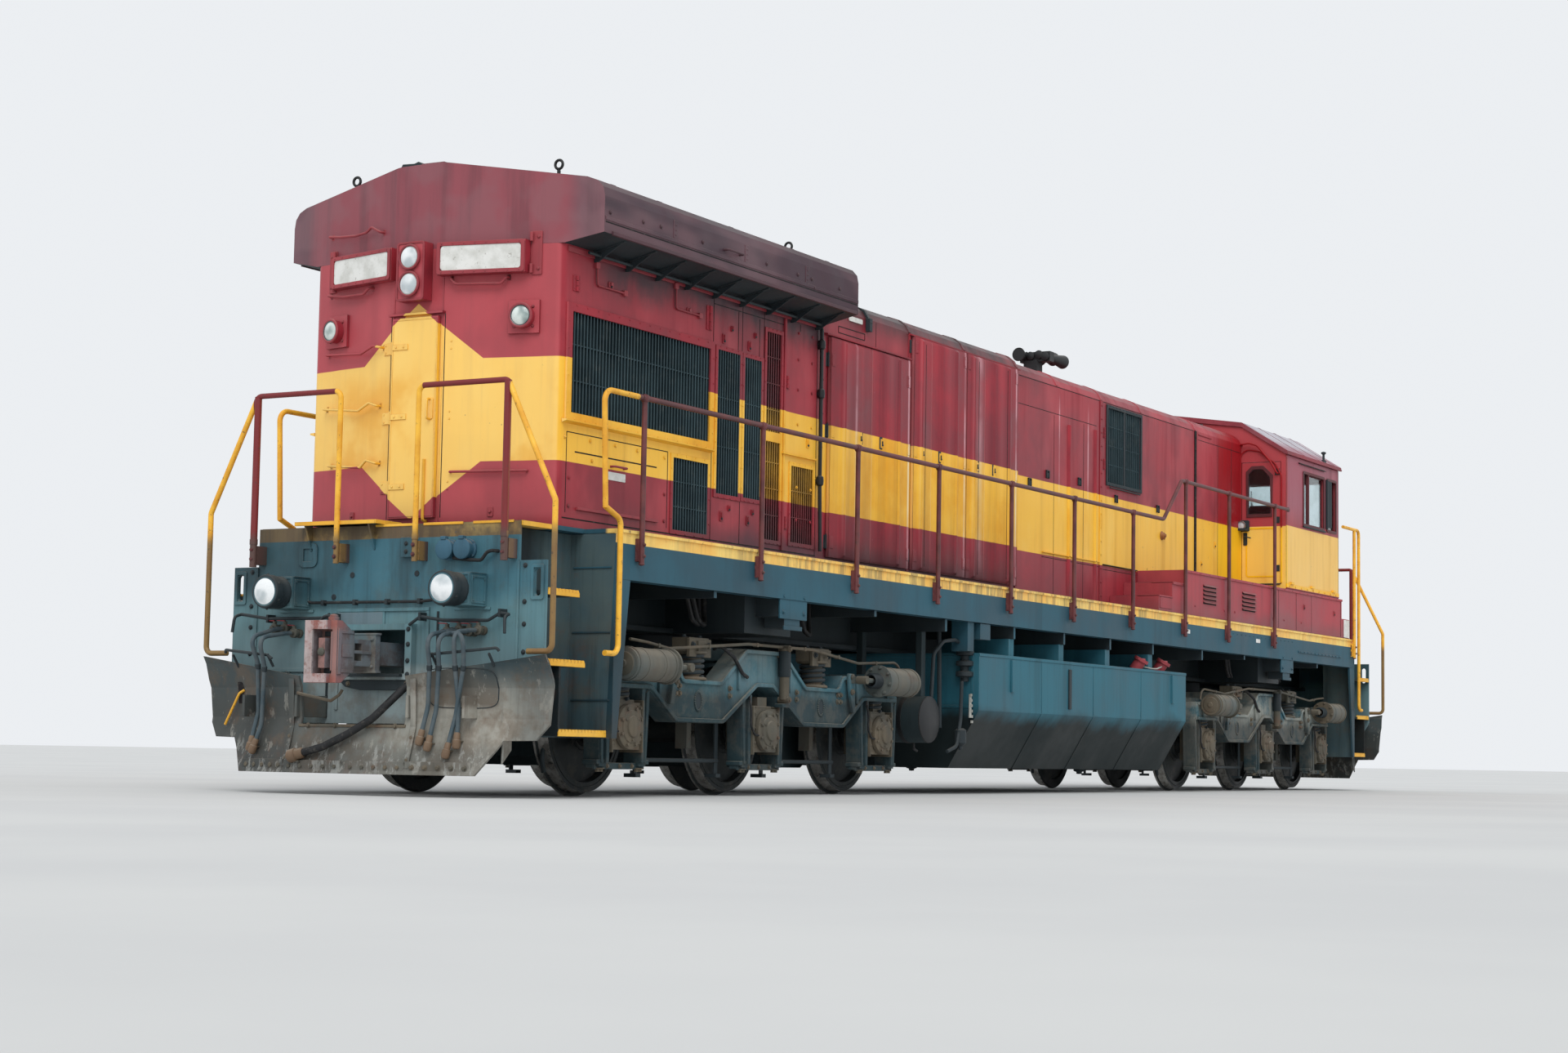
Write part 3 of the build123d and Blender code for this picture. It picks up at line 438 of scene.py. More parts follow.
def plough_dirt_and_shade(g, col):
    """Ploughs: blue-grey upper part, painted shade on the far wing, scraped pale and flaking along the foot."""
    sd = g.mul(g.y, g.ss(g.x, -1.0, 1.0, 1.0, -1.0))
    n = g.noise(1.5, 5, 0.65)
    wob = g.mul(g.sub(n, 0.5), 0.7)
    # painted shade: darker towards the far wing, near black on it
    col = g.mix(g.mul(g.ss(g.add(sd, wob), -0.62, 0.25), 0.72), col, lin(62, 72, 74))
    col = g.mix(g.mul(g.ss(sd, 0.45, 0.62), 0.6), col, lin(38, 42, 43))
    rec = g.mul(g.band(sd, -1.19, -0.66, 0.03), g.band(g.z, 0.64, 0.92, 0.03))
    col = g.mix(g.mul(rec, 0.7), col, lin(82, 70, 58))
    top = g.mul(g.ss(g.add(g.z, g.mul(wob, 0.4)), 0.62, 0.86), 0.35)
    col = g.mix(top, col, lin(66, 86, 92))
    wing = g.mul(g.ss(sd, -0.85, -1.15), g.ss(g.add(g.z, g.mul(wob, 0.25)), 0.74, 0.96))
    col = g.mix(g.mul(wing, 0.9), col, lin(30, 54, 62))
    col = g.mix(g.mul(g.ss(sd, -1.22, -1.42), 0.45), col, lin(62, 74, 78))
    br = g.mul(g.ss(g.noise(2.2, 5, 0.68, shift=(5, 5, 5)), 0.47, 0.62), 0.55)
    col = g.mix(br, col, lin(104, 88, 72))
    fl = g.ss(g.noise(1.0, 5, 0.72, stretch=(16, 16, 4.5), shift=(2, 2, 2)), 0.53, 0.60)
    fz = g.ss(g.add(g.z, g.mul(g.sub(g.noise(5, 4, 0.6), 0.5), 0.22)), 0.44, 0.33)
    col = g.mix(g.mul(g.ss(g.z, 0.42, 0.28), 0.5), col, lin(66, 68, 66))
    col = g.mix(g.mul(g.mul(fl, fz), 0.6), col, lin(160, 162, 158))
    fl2 = g.ss(g.noise(1.0, 5, 0.7, stretch=(9, 9, 5), shift=(9, 3, 1)), 0.58, 0.64)
    col = g.mix(g.mul(fl2, 0.5), col, lin(156, 154, 146))
    return col


def both(*fs):
    def run(g, col):
        for f in fs:
            col = f(g, col)
        return col
    return run


# the low colour is painted shade on the parts below the deck edge
M["frame"] = metal_paint("underframe_paint", lin(36, 76, 91), lin(50, 94, 110), lin(26, 40, 46), dust=lin(128, 124, 116),
                         dusty=0.75, extra=both(sill_extra, brown_mist), low=lin(36, 52, 58), low_z=(1.55, 1.05),
                         low_amt=0.7, spec=0.3)
M["plate"] = metal_paint("end_plate_paint", lin(60, 106, 121), lin(76, 121, 134), lin(40, 54, 58),
                         dust=lin(150, 144, 134), dusty=0.6, extra=both(end_dirt_and_light, sill_extra),
                         low=lin(116, 132, 136), low_z=(1.35, 0.8), low_amt=0.55, streaks=0.5, spec=0.3)
M["plough"] = metal_paint("plough_paint", lin(166, 162, 152), lin(140, 140, 132), lin(74, 74, 68),
                          dust=lin(170, 164, 150), dusty=0.4, extra=plough_dirt_and_shade, streaks=0.55, rust=0.3,
                          wear=lin(96, 74, 58), wear_amt=0.5, spec=0.25)
# the low colour is painted shade along the lower part of the tank
M["tank"] = metal_paint("fuel_tank_paint", lin(40, 96, 112), lin(54, 110, 126), lin(28, 46, 52),
                        dust=lin(132, 126, 118), dusty=0.5, low=lin(24, 28, 27), low_z=(0.86, 0.66), low_amt=0.95,
                        streaks=0.4, spec=0.3)


def bogie_dirt(g, col):
    """Bogies: blue-grey beams, dark below the axle line, brown dried mud at the cab end."""
    n = g.noise(1.7, 5, 0.66)
    top = g.mul(g.ss(g.add(g.z, g.mul(g.sub(n, 0.5), 0.25)), 0.98, 1.20), 0.5)
    col = g.mix(top, col, lin(84, 92, 90))
    f = g.mul(g.ss(g.x, 2.0, 4.0, 0.16, 0.85), g.ss(g.noise(3.4, 5, 0.68, shift=(3, 0, 6)), 0.34, 0.56))
    col = g.mix(f, col, lin(168, 168, 158))
    lowm = g.mul(g.ss(g.add(g.z, g.mul(g.sub(n, 0.5), 0.3)), 0.98, 0.76), 0.78)
    return g.mix(lowm, col, g.mix(g.ss(g.noise(6, 5, 0.7), 0.46, 0.62), lin(24, 30, 32), lin(62, 56, 48)))


M["bogie"] = metal_paint("bogie_paint", lin(56, 104, 119), lin(72, 118, 129), lin(28, 40, 44), dust=lin(146, 142, 130),
                         dusty=0.75, extra=bogie_dirt, streaks=0.5, rust=0.12, rough=(0.55, 0.85), spec=0.3)
M["cylinder"] = metal_paint("brake_cylinder_paint", lin(86, 94, 92), lin(108, 104, 94), lin(44, 46, 44), dust=lin(140, 132, 118),
                            dusty=0.6, rust=0.35, rough=(0.55, 0.85), streaks=0.4, spec=0.3)
M["roofit"] = metal_paint("roof_fittings_paint", lin(72, 46, 54), lin(88, 56, 64), lin(44, 34, 38), dust=DUST, dusty=0.2,
                          wear_amt=0.3)
M["motor"] = metal_paint("motor_casing", lin(34, 48, 52), lin(48, 62, 66), lin(18, 24, 26), dust=lin(72, 70, 64),
                         dusty=0.5, rough=(0.6, 0.9), wear_amt=0.15)
M["axlebox"] = metal_paint("axlebox_iron", lin(80, 80, 72), lin(108, 98, 82), lin(40, 39, 36),
                           dust=lin(150, 142, 128), dusty=0.5, rust=0.5, rough=(0.6, 0.85), streaks=0.5)
def claw(g, col):
    """Coupler: rust-pink head with a rubbed bright edge, blue-grey shank."""
    ax = g.abs(g.x)
    col = g.mix(g.ss(ax, 10.30, 10.16), col, g.mix(g.ss(g.noise(4, 4), 0.4, 0.6), lin(92, 112, 118), lin(112, 112, 106)))
    # painted shade: the side faces are tinted a darker blue-grey
    col = g.mix(g.mul(g.ss(g.abs(g.ny), 0.5, 0.8), 0.65), col, lin(106, 118, 128))
    col = g.mix(g.mul(g.ss(g.noise(5.5, 5, 0.7, shift=(4, 4, 4)), 0.46, 0.6), 0.55), col, lin(84, 70, 66))
    red = g.mul(g.ss(g.abs(g.sub(g.z, 1.02)), 0.13, 0.20), g.ss(ax, 10.2, 10.3))
    col = g.mix(g.mul(red, 0.45), col, lin(168, 84, 72))
    rub = g.mul(g.ss(ax, 10.375, 10.385), g.ss(g.noise(9, 5, 0.7), 0.40, 0.56))
    return g.mix(g.mul(rub, 0.6), col, lin(198, 192, 192))


M["coupler"] = metal_paint("coupler_cast_iron", lin(152, 112, 106), lin(128, 100, 96), lin(92, 70, 62),
                           dust=lin(160, 150, 138), dusty=0.4, rust=0.3, rough=(0.5, 0.8), bump=0.5, extra=claw)
M["pale"] = metal_paint("worn_pale_plate", lin(98, 122, 132), lin(118, 134, 140), lin(60, 72, 76), dust=lin(150, 144, 134),
                         dusty=0.3, wear_amt=0.3, spec=0.3)
M["step"] = metal_paint("step_steel", lin(46, 52, 54), lin(66, 62, 54), lin(28, 30, 30), dust=lin(130, 118, 100),
                        dusty=0.8, rust=0.3, rough=(0.55, 0.85))
M["stair"] = metal_paint("stair_side_paint", lin(66, 88, 96), lin(82, 98, 98), lin(24, 32, 34), dust=lin(120, 110, 96),
                         dusty=0.6, extra=both(brown_mist, well_shade), rust=0.25, rough=(0.5, 0.8), streaks=0.6, spec=0.2)
M["dark"] = metal_paint("dark_steel", lin(34, 44, 49), lin(46, 56, 60), lin(18, 22, 24), dust=lin(90, 88, 82),
                        dusty=0.45, rough=(0.5, 0.8), wear_amt=0.25)
M["blackpipe"] = metal_paint("black_enamel", lin(24, 26, 29), lin(34, 36, 38), lin(12, 12, 13), dust=lin(84, 80, 76),
                             dusty=0.5, rough=(0.32, 0.6), wear_amt=0.3)
M["bluefit"] = metal_paint("blue_fittings", lin(44, 84, 104), lin(58, 98, 118), lin(26, 40, 48), dust=lin(140, 134, 126),
                           dusty=0.5, wear_amt=0.5)
M["boxpaint"] = metal_paint("walkway_box_paint", lin(160, 60, 69), lin(178, 72, 80), lin(104, 50, 57),
                            dust=lin(120, 108, 104), dusty=0.8, low=lin(120, 74, 76), low_z=(2.2, 2.0), low_amt=0.5,
                            streaks=0.45)
M["redfit"] = metal_paint("maroon_fittings", lin(150, 56, 64), lin(166, 68, 75), lin(90, 44, 50), dust=DUST, dusty=0.3,
                          wear_amt=0.35, wear=lin(110, 90, 88))
M["darkred"] = metal_paint("dark_red_paint", lin(92, 34, 38), lin(112, 44, 46), lin(58, 28, 30), dust=DUST, dusty=0.2,
                           wear_amt=0.45)
M["yellow"] = metal_paint("yellow_paint", lin(247, 190, 66), lin(232, 168, 48), lin(132, 98, 56), dust=DUST, dusty=0.3,
                          streaks=0.25, wear=lin(92, 80, 66), wear_amt=0.6)
M["winframe"] = metal_paint("window_frame_paint", lin(78, 34, 40), lin(100, 46, 50), lin(40, 24, 27), dust=DUST, dusty=0.2,
                            wear_amt=0.35)
M["brass"] = metal_paint("bronze_fitting", lin(140, 88, 50), lin(160, 106, 62), lin(70, 48, 34), dust=DUST, dusty=0.3,
                         wear_amt=0.3)


M["hosefit"] = metal_paint("hose_end_fitting", lin(104, 82, 62), lin(124, 104, 84), lin(52, 44, 38), dust=DUST, dusty=0.3,
                            rust=0.4, wear_amt=0.3)


def banded(name, base):
    """Body fittings that take the hood's band with them."""
    g = G(name, Specular_IOR_Level=0.24)
    cab = g.ss(g.x, 6.10, 6.13)
    zz = g.z
    band = g.mul(g.ss(g.sub(zz, g.add(2.478, g.mul(cab, 0.035))), -0.003, 0.003),
                 g.ss(g.sub(zz, g.add(3.252, g.mul(cab, 0.033))), -0.003, 0.003, 1.0, 0.0))
    ay = g.abs(g.y)
    up = g.mul(g.ss(g.sub(g.mul(g.sub(3.69, zz), 1.279), ay), -0.004, 0.004), g.ss(zz, 2.9, 3.0))
    dn = g.mul(g.ss(g.sub(g.mul(g.sub(zz, 2.05), 1.31), ay), -0.004, 0.004), g.inv(g.ss(zz, 2.9, 3.0)))
    ends_only = g.mx(g.ss(g.x, -9.10, -9.06, 1.0, 0.0), g.ss(g.x, 9.02, 9.06))
    band = g.mx(band, g.mul(g.mx(up, dn), ends_only))
    n = g.noise(1.4, 5, 0.62)
    red = g.mix(g.ss(n, 0.36, 0.66), MAROON_D, MAROON)
    y = g.mix(g.ss(n, 0.4, 0.7), YEL, YEL_D)
    fr = g.mul(g.ss(g.x, 5.25, 5.32), g.ss(g.x, 6.19, 6.21, 1.0, 0.0))
    red = g.mix(fr, red, RED_FRESH)
    y = g.mix(fr, y, YEL_FRESH)
    col = g.mix(band, red, y)
    if base == "door":
        rim = g.ss(g.noise(1.0, 4, 0.6, stretch=(7, 7, 0.5)), 0.42, 0.7)
        col = g.mix(g.mul(rim, 0.3), col, g.mix(band, lin(92, 40, 48), lin(190, 132, 52)))
        # painted shade: darker bands across the door folds
        fold_shade = g.ss(g.math("SINE", g.add(g.mul(g.x, 21.0), 0.6)), -0.15, 0.15)
        col = g.mix(g.mul(fold_shade, 0.16), col, g.mix(band, lin(96, 36, 46), lin(206, 146, 52)))
        # painted highlight with some faded paint: fold faces turned along the hood are painted paler
        fold_highlight = g.ss(g.abs(g.nx), 0.25, 0.6)
        col = g.mix(g.mul(fold_highlight, 0.5), col, g.mix(band, lin(206, 128, 132), lin(255, 226, 150)))
        # painted highlights along the door edges and folds
        painted_highlight = 0.0
        for xe, we, am in ((-4.352, 0.016, 0.6), (-3.298, 0.014, 1.0), (-2.098, 0.013, 1.0), (-1.777, 0.045, 0.5), (-0.905, 0.014, 1.0)):
            one = g.mul(g.band(g.x, xe - we, xe + we, we), am)
            painted_highlight = one if painted_highlight == 0.0 else g.mx(painted_highlight, one)
        painted_highlight = g.mul(g.mul(painted_highlight, g.ss(g.abs(g.ny), 0.5, 0.8)), g.ss(g.noise(1.0, 4, 0.6, stretch=(2, 2, 1.6), shift=(1, 4, 2)), 0.36, 0.6, 0.25, 0.85))
        col = g.mix(painted_highlight, col, g.mix(band, lin(226, 168, 176), lin(255, 240, 196)))
    # painted light: fittings on the end faces are painted paler, as if better lit
    ef = g.mul(g.mx(g.ss(g.nx, -0.6, -0.85), g.ss(g.nx, 0.6, 0.85)), g.mx(g.ss(g.x, -9.0, -9.1), g.ss(g.x, 9.0, 9.1)))
    col = g.mix(g.mul(ef, 0.42), col, g.mix(band, lin(206, 104, 110), lin(255, 224, 150)))
    dk = g.mul(g.mul(g.ss(g.x, -7.6, -6.4), g.ss(g.x, -0.6, -2.4)), g.ss(g.z, 2.27, 2.09))
    col = g.mix(g.mul(dk, 0.64), col, lin(58, 38, 50))
    col = weather_and_shade(g, col, g.mix(band, lin(92, 42, 48), lin(186, 130, 60)), 0.3, lin(110, 100, 96), 0.5, lin(112, 70, 68),
                  (2.4, 2.1), 0.3)
    e = g.mul(g.edge(0.006), g.ss(g.noise(11, 4, 0.7), 0.42, 0.6))
    col = g.mix(g.mul(e, 0.45), col, lin(110, 92, 84))
    if base == "louvre":
        # louvre bars darkened in patches toward near black
        col = g.mix(g.ss(g.noise(4.0, 4, 0.6), 0.3, 0.7, 0.50, 0.74), col, lin(28, 26, 28))
    h = g.add(g.noise(2.2, 3, 0.5), g.mul(g.noise(150, 2, 0.5), 0.012))
    return g.done(col, g.ss(n, 0.3, 0.7, 0.38, 0.62), g.bump(h, 0.2, 0.012, g.soft_edge(0.005)))


M["banded"] = banded("banded_fittings", "fit")
M["louvre"] = banded("darkened_louvres", "louvre")
M["door"] = banded("engine_door_paint", "door")


def cab_roof_mat():
    """Cab roof: worn maroon sheet under a painted pale lilac reflection of the sky on the slopes, maroon along the
    eaves and on the folded rims.
    """
    g = G("cab_roof_paint", Specular_IOR_Level=0.4)
    n = g.noise(1.5, 6, 0.66)
    # painted reflection: the slopes are coloured pale lilac-grey as the maroon roof reflecting the sky
    col = g.mix(g.ss(n, 0.36, 0.62), lin(166, 161, 170), lin(186, 183, 190))
    bl = g.ss(g.noise(4.5, 6, 0.72, stretch=(1, 1.6, 1.6)), 0.53, 0.68)
    col = g.mix(g.mul(bl, 0.55), col, lin(150, 136, 146))
    bl2 = g.ss(g.noise(13, 4, 0.7), 0.60, 0.72)
    col = g.mix(g.mul(bl2, 0.35), col, lin(112, 100, 106))
    ev = g.ss(g.add(g.abs(g.y), g.mul(g.sub(n, 0.5), 0.3)), 1.22, 1.46)
    col = g.mix(g.mul(ev, 0.8), col, lin(152, 92, 106))
    xe = g.mx(g.ss(g.x, 6.24, 6.14), g.ss(g.x, 8.08, 8.18))
    col = g.mix(g.mul(xe, 0.55), col, lin(150, 96, 108))
    rim = g.ss(g.nz, 0.5, 0.2)
    col = g.mix(rim, col, g.mix(g.ss(n, 0.4, 0.6), lin(128, 46, 56), lin(150, 62, 72)))
    run = g.ss(g.noise(1.0, 4, 0.6, stretch=(9, 0.8, 0.8)), 0.52, 0.72)
    col = g.mix(g.mul(run, 0.3), col, lin(128, 112, 120))
    e = g.mul(g.edge(0.010), g.ss(g.noise(8, 4, 0.7), 0.38, 0.6))
    col = g.mix(g.mul(e, 0.5), col, lin(118, 92, 96))
    return g.done(col, g.ss(n, 0.3, 0.7, 0.5, 0.72), g.bump(g.add(n, g.mul(g.noise(60, 3), 0.05)), 0.25, 0.01,
                                                          g.soft_edge(0.008)))


M["cabroof"] = cab_roof_mat()


def grille_mat(name, back=False):
    g = G(name, Specular_IOR_Level=0.3)
    n = g.noise(2.0, 5, 0.6)
    col = g.mix(g.ss(n, 0.35, 0.65), lin(24, 34, 38) if back else lin(44, 62, 68), lin(34, 46, 50) if back else lin(62, 82, 88))
    if back:
        # mesh behind the slats
        w = g.mul(g.math("SINE", g.mul(g.x, 520.0)), g.math("SINE", g.mul(g.z, 520.0)))
        col = g.mix(g.mul(g.ss(w, 0.0, 0.6), 0.5), col, lin(8, 11, 12))
    d = g.ss(g.noise(6, 5, 0.7), 0.5, 0.7)
    col = g.mix(g.mul(d, 0.35), col, lin(96, 104, 102))
    return g.done(col, g.ss(n, 0.3, 0.7, 0.6, 0.85), g.bump(g.noise(60, 3), 0.2, 0.004))


M["slat"] = grille_mat("grille_slats")
M["grille"] = grille_mat("grille_mesh", True)


def wheel_mat():
    g = G("wheel_steel", Specular_IOR_Level=0.5)
    n = g.noise(3.0, 5, 0.65)
    col = g.mix(g.ss(n, 0.35, 0.65), lin(22, 28, 30), lin(38, 44, 45))
    col = g.mix(g.mul(g.ss(g.noise(7, 5, 0.7), 0.5, 0.7), 0.4), col, lin(84, 78, 68))
    return g.done(col, g.ss(n, 0.3, 0.7, 0.5, 0.8), g.bump(g.noise(24, 4), 0.3, 0.006), 0.15)


M["wheel"] = wheel_mat()


def steel_bright():
    g = G("running_surface", Specular_IOR_Level=0.5, Metallic=0.9)
    n = g.noise(14, 4, 0.6)
    col = g.mix(g.ss(n, 0.35, 0.65), lin(150, 146, 140), lin(196, 194, 190))
    return g.done(col, g.ss(n, 0.3, 0.7, 0.22, 0.42), g.bump(g.noise(140, 2), 0.1, 0.001))


M["bright"] = steel_bright()


def rubber(name, a, b, r=(0.5, 0.8)):
    g = G(name, Specular_IOR_Level=0.35)
    n = g.noise(8, 5, 0.6)
    col = g.mix(g.ss(n, 0.35, 0.65), a, b)
    col = g.mix(g.mul(g.ss(g.noise(22, 4, 0.7), 0.52, 0.7), 0.35), col, lin(96, 92, 86))
    return g.done(col, g.ss(n, 0.3, 0.7, r[0], r[1]), g.bump(g.noise(120, 3), 0.25, 0.002))


M["rubber"] = rubber("hose_rubber", lin(24, 25, 27), lin(40, 41, 43))
M["hose"] = rubber("dusty_hose", lin(66, 82, 90), lin(88, 98, 102), (0.6, 0.85))
M["seam"] = rubber("panel_gap", lin(16, 14, 16), lin(30, 24, 26), (0.7, 0.9))
M["seal"] = rubber("window_seal", lin(14, 15, 16), lin(24, 25, 26))


def blank_plate():
    g = G("blank_plate_enamel", Specular_IOR_Level=0.5)
    n = g.noise(9, 4, 0.6)
    col = g.mix(g.ss(n, 0.35, 0.7), lin(228, 228, 224), lin(204, 204, 198))
    col = g.mix(g.mul(g.ss(g.noise(30, 4, 0.7), 0.6, 0.7), 0.5), col, lin(120, 112, 100))
    return g.done(col, g.ss(n, 0.3, 0.7, 0.3, 0.5), g.bump(g.noise(80, 2), 0.1, 0.001))


M["white"] = blank_plate()


def cladding():
    g = G("lagging_band", Specular_IOR_Level=0.4)
    n = g.noise(6, 5, 0.6)
    col = g.mix(g.ss(n, 0.35, 0.7), lin(176, 176, 170), lin(140, 138, 130))
    return g.done(col, g.ss(n, 0.3, 0.7, 0.5, 0.7), g.bump(g.noise(40, 3), 0.3, 0.003))


M["lagging"] = cladding()


def glass_mat():
    g = G("cab_window_glass", Specular_IOR_Level=0.6, IOR=1.45, Transmission_Weight=1.0, Alpha=1.0)
    n = g.noise(3.5, 5, 0.6)
    col = g.mix(g.mul(g.ss(n, 0.42, 0.7), 0.5), lin(226, 238, 240), lin(196, 210, 210))
    return g.done(col, g.ss(n, 0.35, 0.7, 0.02, 0.10), g.bump(g.noise(1.2, 2), 0.03, 0.01))


M["glass"] = glass_mat()


def lens_mat(name, a, b, rough=0.08):
    g = G(name, Specular_IOR_Level=0.7, Coat_Weight=0.6)
    r = g.vor(150)
    col = g.mix(g.ss(g.noise(7, 2, 0.4), 0.42, 0.66), a, b)
    col = g.mix(g.mul(g.ss(r, 0.3, 0.8), 0.12), col, b)
    return g.done(col, g.ss(g.noise(12, 3), 0.3, 0.7, rough, rough + 0.15), g.bump(r, 0.35, 0.004))


M["lens"] = lens_mat("headlamp_lens", lin(244, 247, 248), lin(186, 196, 200))
M["lens_class"] = lens_mat("class_lamp_lens", lin(226, 236, 230), lin(116, 138, 136))
M["lens_dark"] = lens_mat("lamp_glass_dark", lin(70, 76, 78), lin(36, 40, 44))
M["lens_red"] = lens_mat("red_lens", lin(150, 22, 20), lin(84, 10, 12))


def chrome():
    g = G("reflector_metal", Metallic=1.0)
    n = g.noise(18, 4)
    return g.done(g.mix(g.ss(n, 0.3, 0.7), lin(206, 206, 202), lin(160, 160, 156)), g.ss(n, 0.3, 0.7, 0.16, 0.34),
                  g.bump(n, 0.05, 0.001))


M["chrome"] = chrome()


def seat_mat():
    g = G("seat_vinyl", Specular_IOR_Level=0.4)
    n = g.vor(260)
    b = g.noise(5, 4)
    col = g.mix(g.ss(b, 0.3, 0.7), lin(48, 40, 38), lin(66, 54, 48))
    return g.done(col, g.ss(b, 0.3, 0.7, 0.4, 0.6), g.bump(n, 0.25, 0.001))


M["seat"] = seat_mat()
M["desk"] = metal_paint("desk_paint", lin(72, 78, 76), lin(88, 94, 90), lin(44, 48, 48), dusty=0.2, wear_amt=0.3)
M["inside"] = metal_paint("cab_lining", lin(116, 122, 112), lin(134, 138, 126), lin(80, 84, 76), dusty=0.2, wear_amt=0.1)


def rail_mat():
    """Side and end handrails: dark brown-red with yellow lengths at the stairs and on the end rails."""
    g = G("handrail_paint", Specular_IOR_Level=0.4)
    n = g.noise(5, 5, 0.6)
    col = g.mix(g.ss(n, 0.35, 0.65), lin(84, 44, 46), lin(112, 60, 60))
    ax, ay = g.abs(g.x), g.abs(g.y)
    side = g.mul(g.ss(ax, 8.66, 8.68), g.ss(ax, 9.60, 9.62, 1.0, 0.0))
    front = g.mul(g.ss(g.x, 8.18, 8.2), g.ss(g.z, 3.36, 3.40))
    endr = g.mul(g.ss(ax, 9.70, 9.74), g.mx(g.ss(ay, 0.41, 0.40), g.ss(ay, 1.19, 1.20)))
    yel = g.mx(side, g.mx(front, g.mx(g.mul(g.ss(ax, 9.70, 9.74), g.ss(ay, 0.405, 0.41, 1.0, 0.0)),
                                      g.mul(g.ss(ax, 9.70, 9.74), g.ss(ay, 1.19, 1.20)))))
    redp = g.mul(g.ss(ax, 9.70, 9.74), g.mul(g.ss(ay, 0.405, 0.41), g.ss(ay, 1.19, 1.20, 1.0, 0.0)))
    col = g.mix(redp, col, lin(122, 40, 42))
    y = g.mix(g.ss(n, 0.35, 0.68), lin(248, 190, 62), lin(226, 160, 46))
    col = g.mix(yel, col, y)
    foot = g.mul(g.ss(ax, 9.66, 9.68), g.ss(g.z, 1.98, 1.86))
    col = g.mix(g.mul(foot, 0.8), col, lin(78, 70, 64))
    chip = g.ss(g.noise(26, 4, 0.72), 0.60, 0.68)
    col = g.mix(g.mul(chip, 0.7), col, lin(70, 60, 54))
    return g.done(col, g.ss(n, 0.3, 0.7, 0.38, 0.6), g.bump(g.noise(60, 3), 0.2, 0.002))


M["rail"] = rail_mat()
M["railbrown"] = metal_paint("post_clamp_paint", lin(88, 46, 48), lin(108, 58, 58), lin(60, 36, 36), dusty=0.3, wear_amt=0.5)


def tread_plate():
    """Deck: chequered plate, worn dusty grey."""
    g = G("deck_plate", Specular_IOR_Level=0.4)
    n = g.noise(1.6, 5, 0.62)
    d = g.mul(g.math("SINE", g.mul(g.add(g.x, g.y), 150.0)), g.math("SINE", g.mul(g.sub(g.x, g.y), 150.0)))
    col = g.mix(g.ss(n, 0.35, 0.65), lin(70, 72, 70), lin(98, 96, 90))
    col = g.mix(g.mul(g.ss(g.noise(7, 5, 0.7), 0.5, 0.7), 0.5), col, lin(130, 122, 112))
    return g.done(col, g.ss(n, 0.3, 0.7, 0.5, 0.8), g.bump(g.ss(d, 0.3, 0.7), 0.5, 0.003))


M["deck"] = tread_plate()


# ------------------------------------------------------------------ mesh building
def V(*a):
    return Vector(a if len(a) > 1 else a[0])


def frame_of(d):
    d = Vector(d).normalized()
    a = Vector((0, 0, 1)) if abs(d.z) < 0.9 else Vector((1, 0, 0))
    u = a.cross(d).normalized()
    return u, d.cross(u).normalized(), d


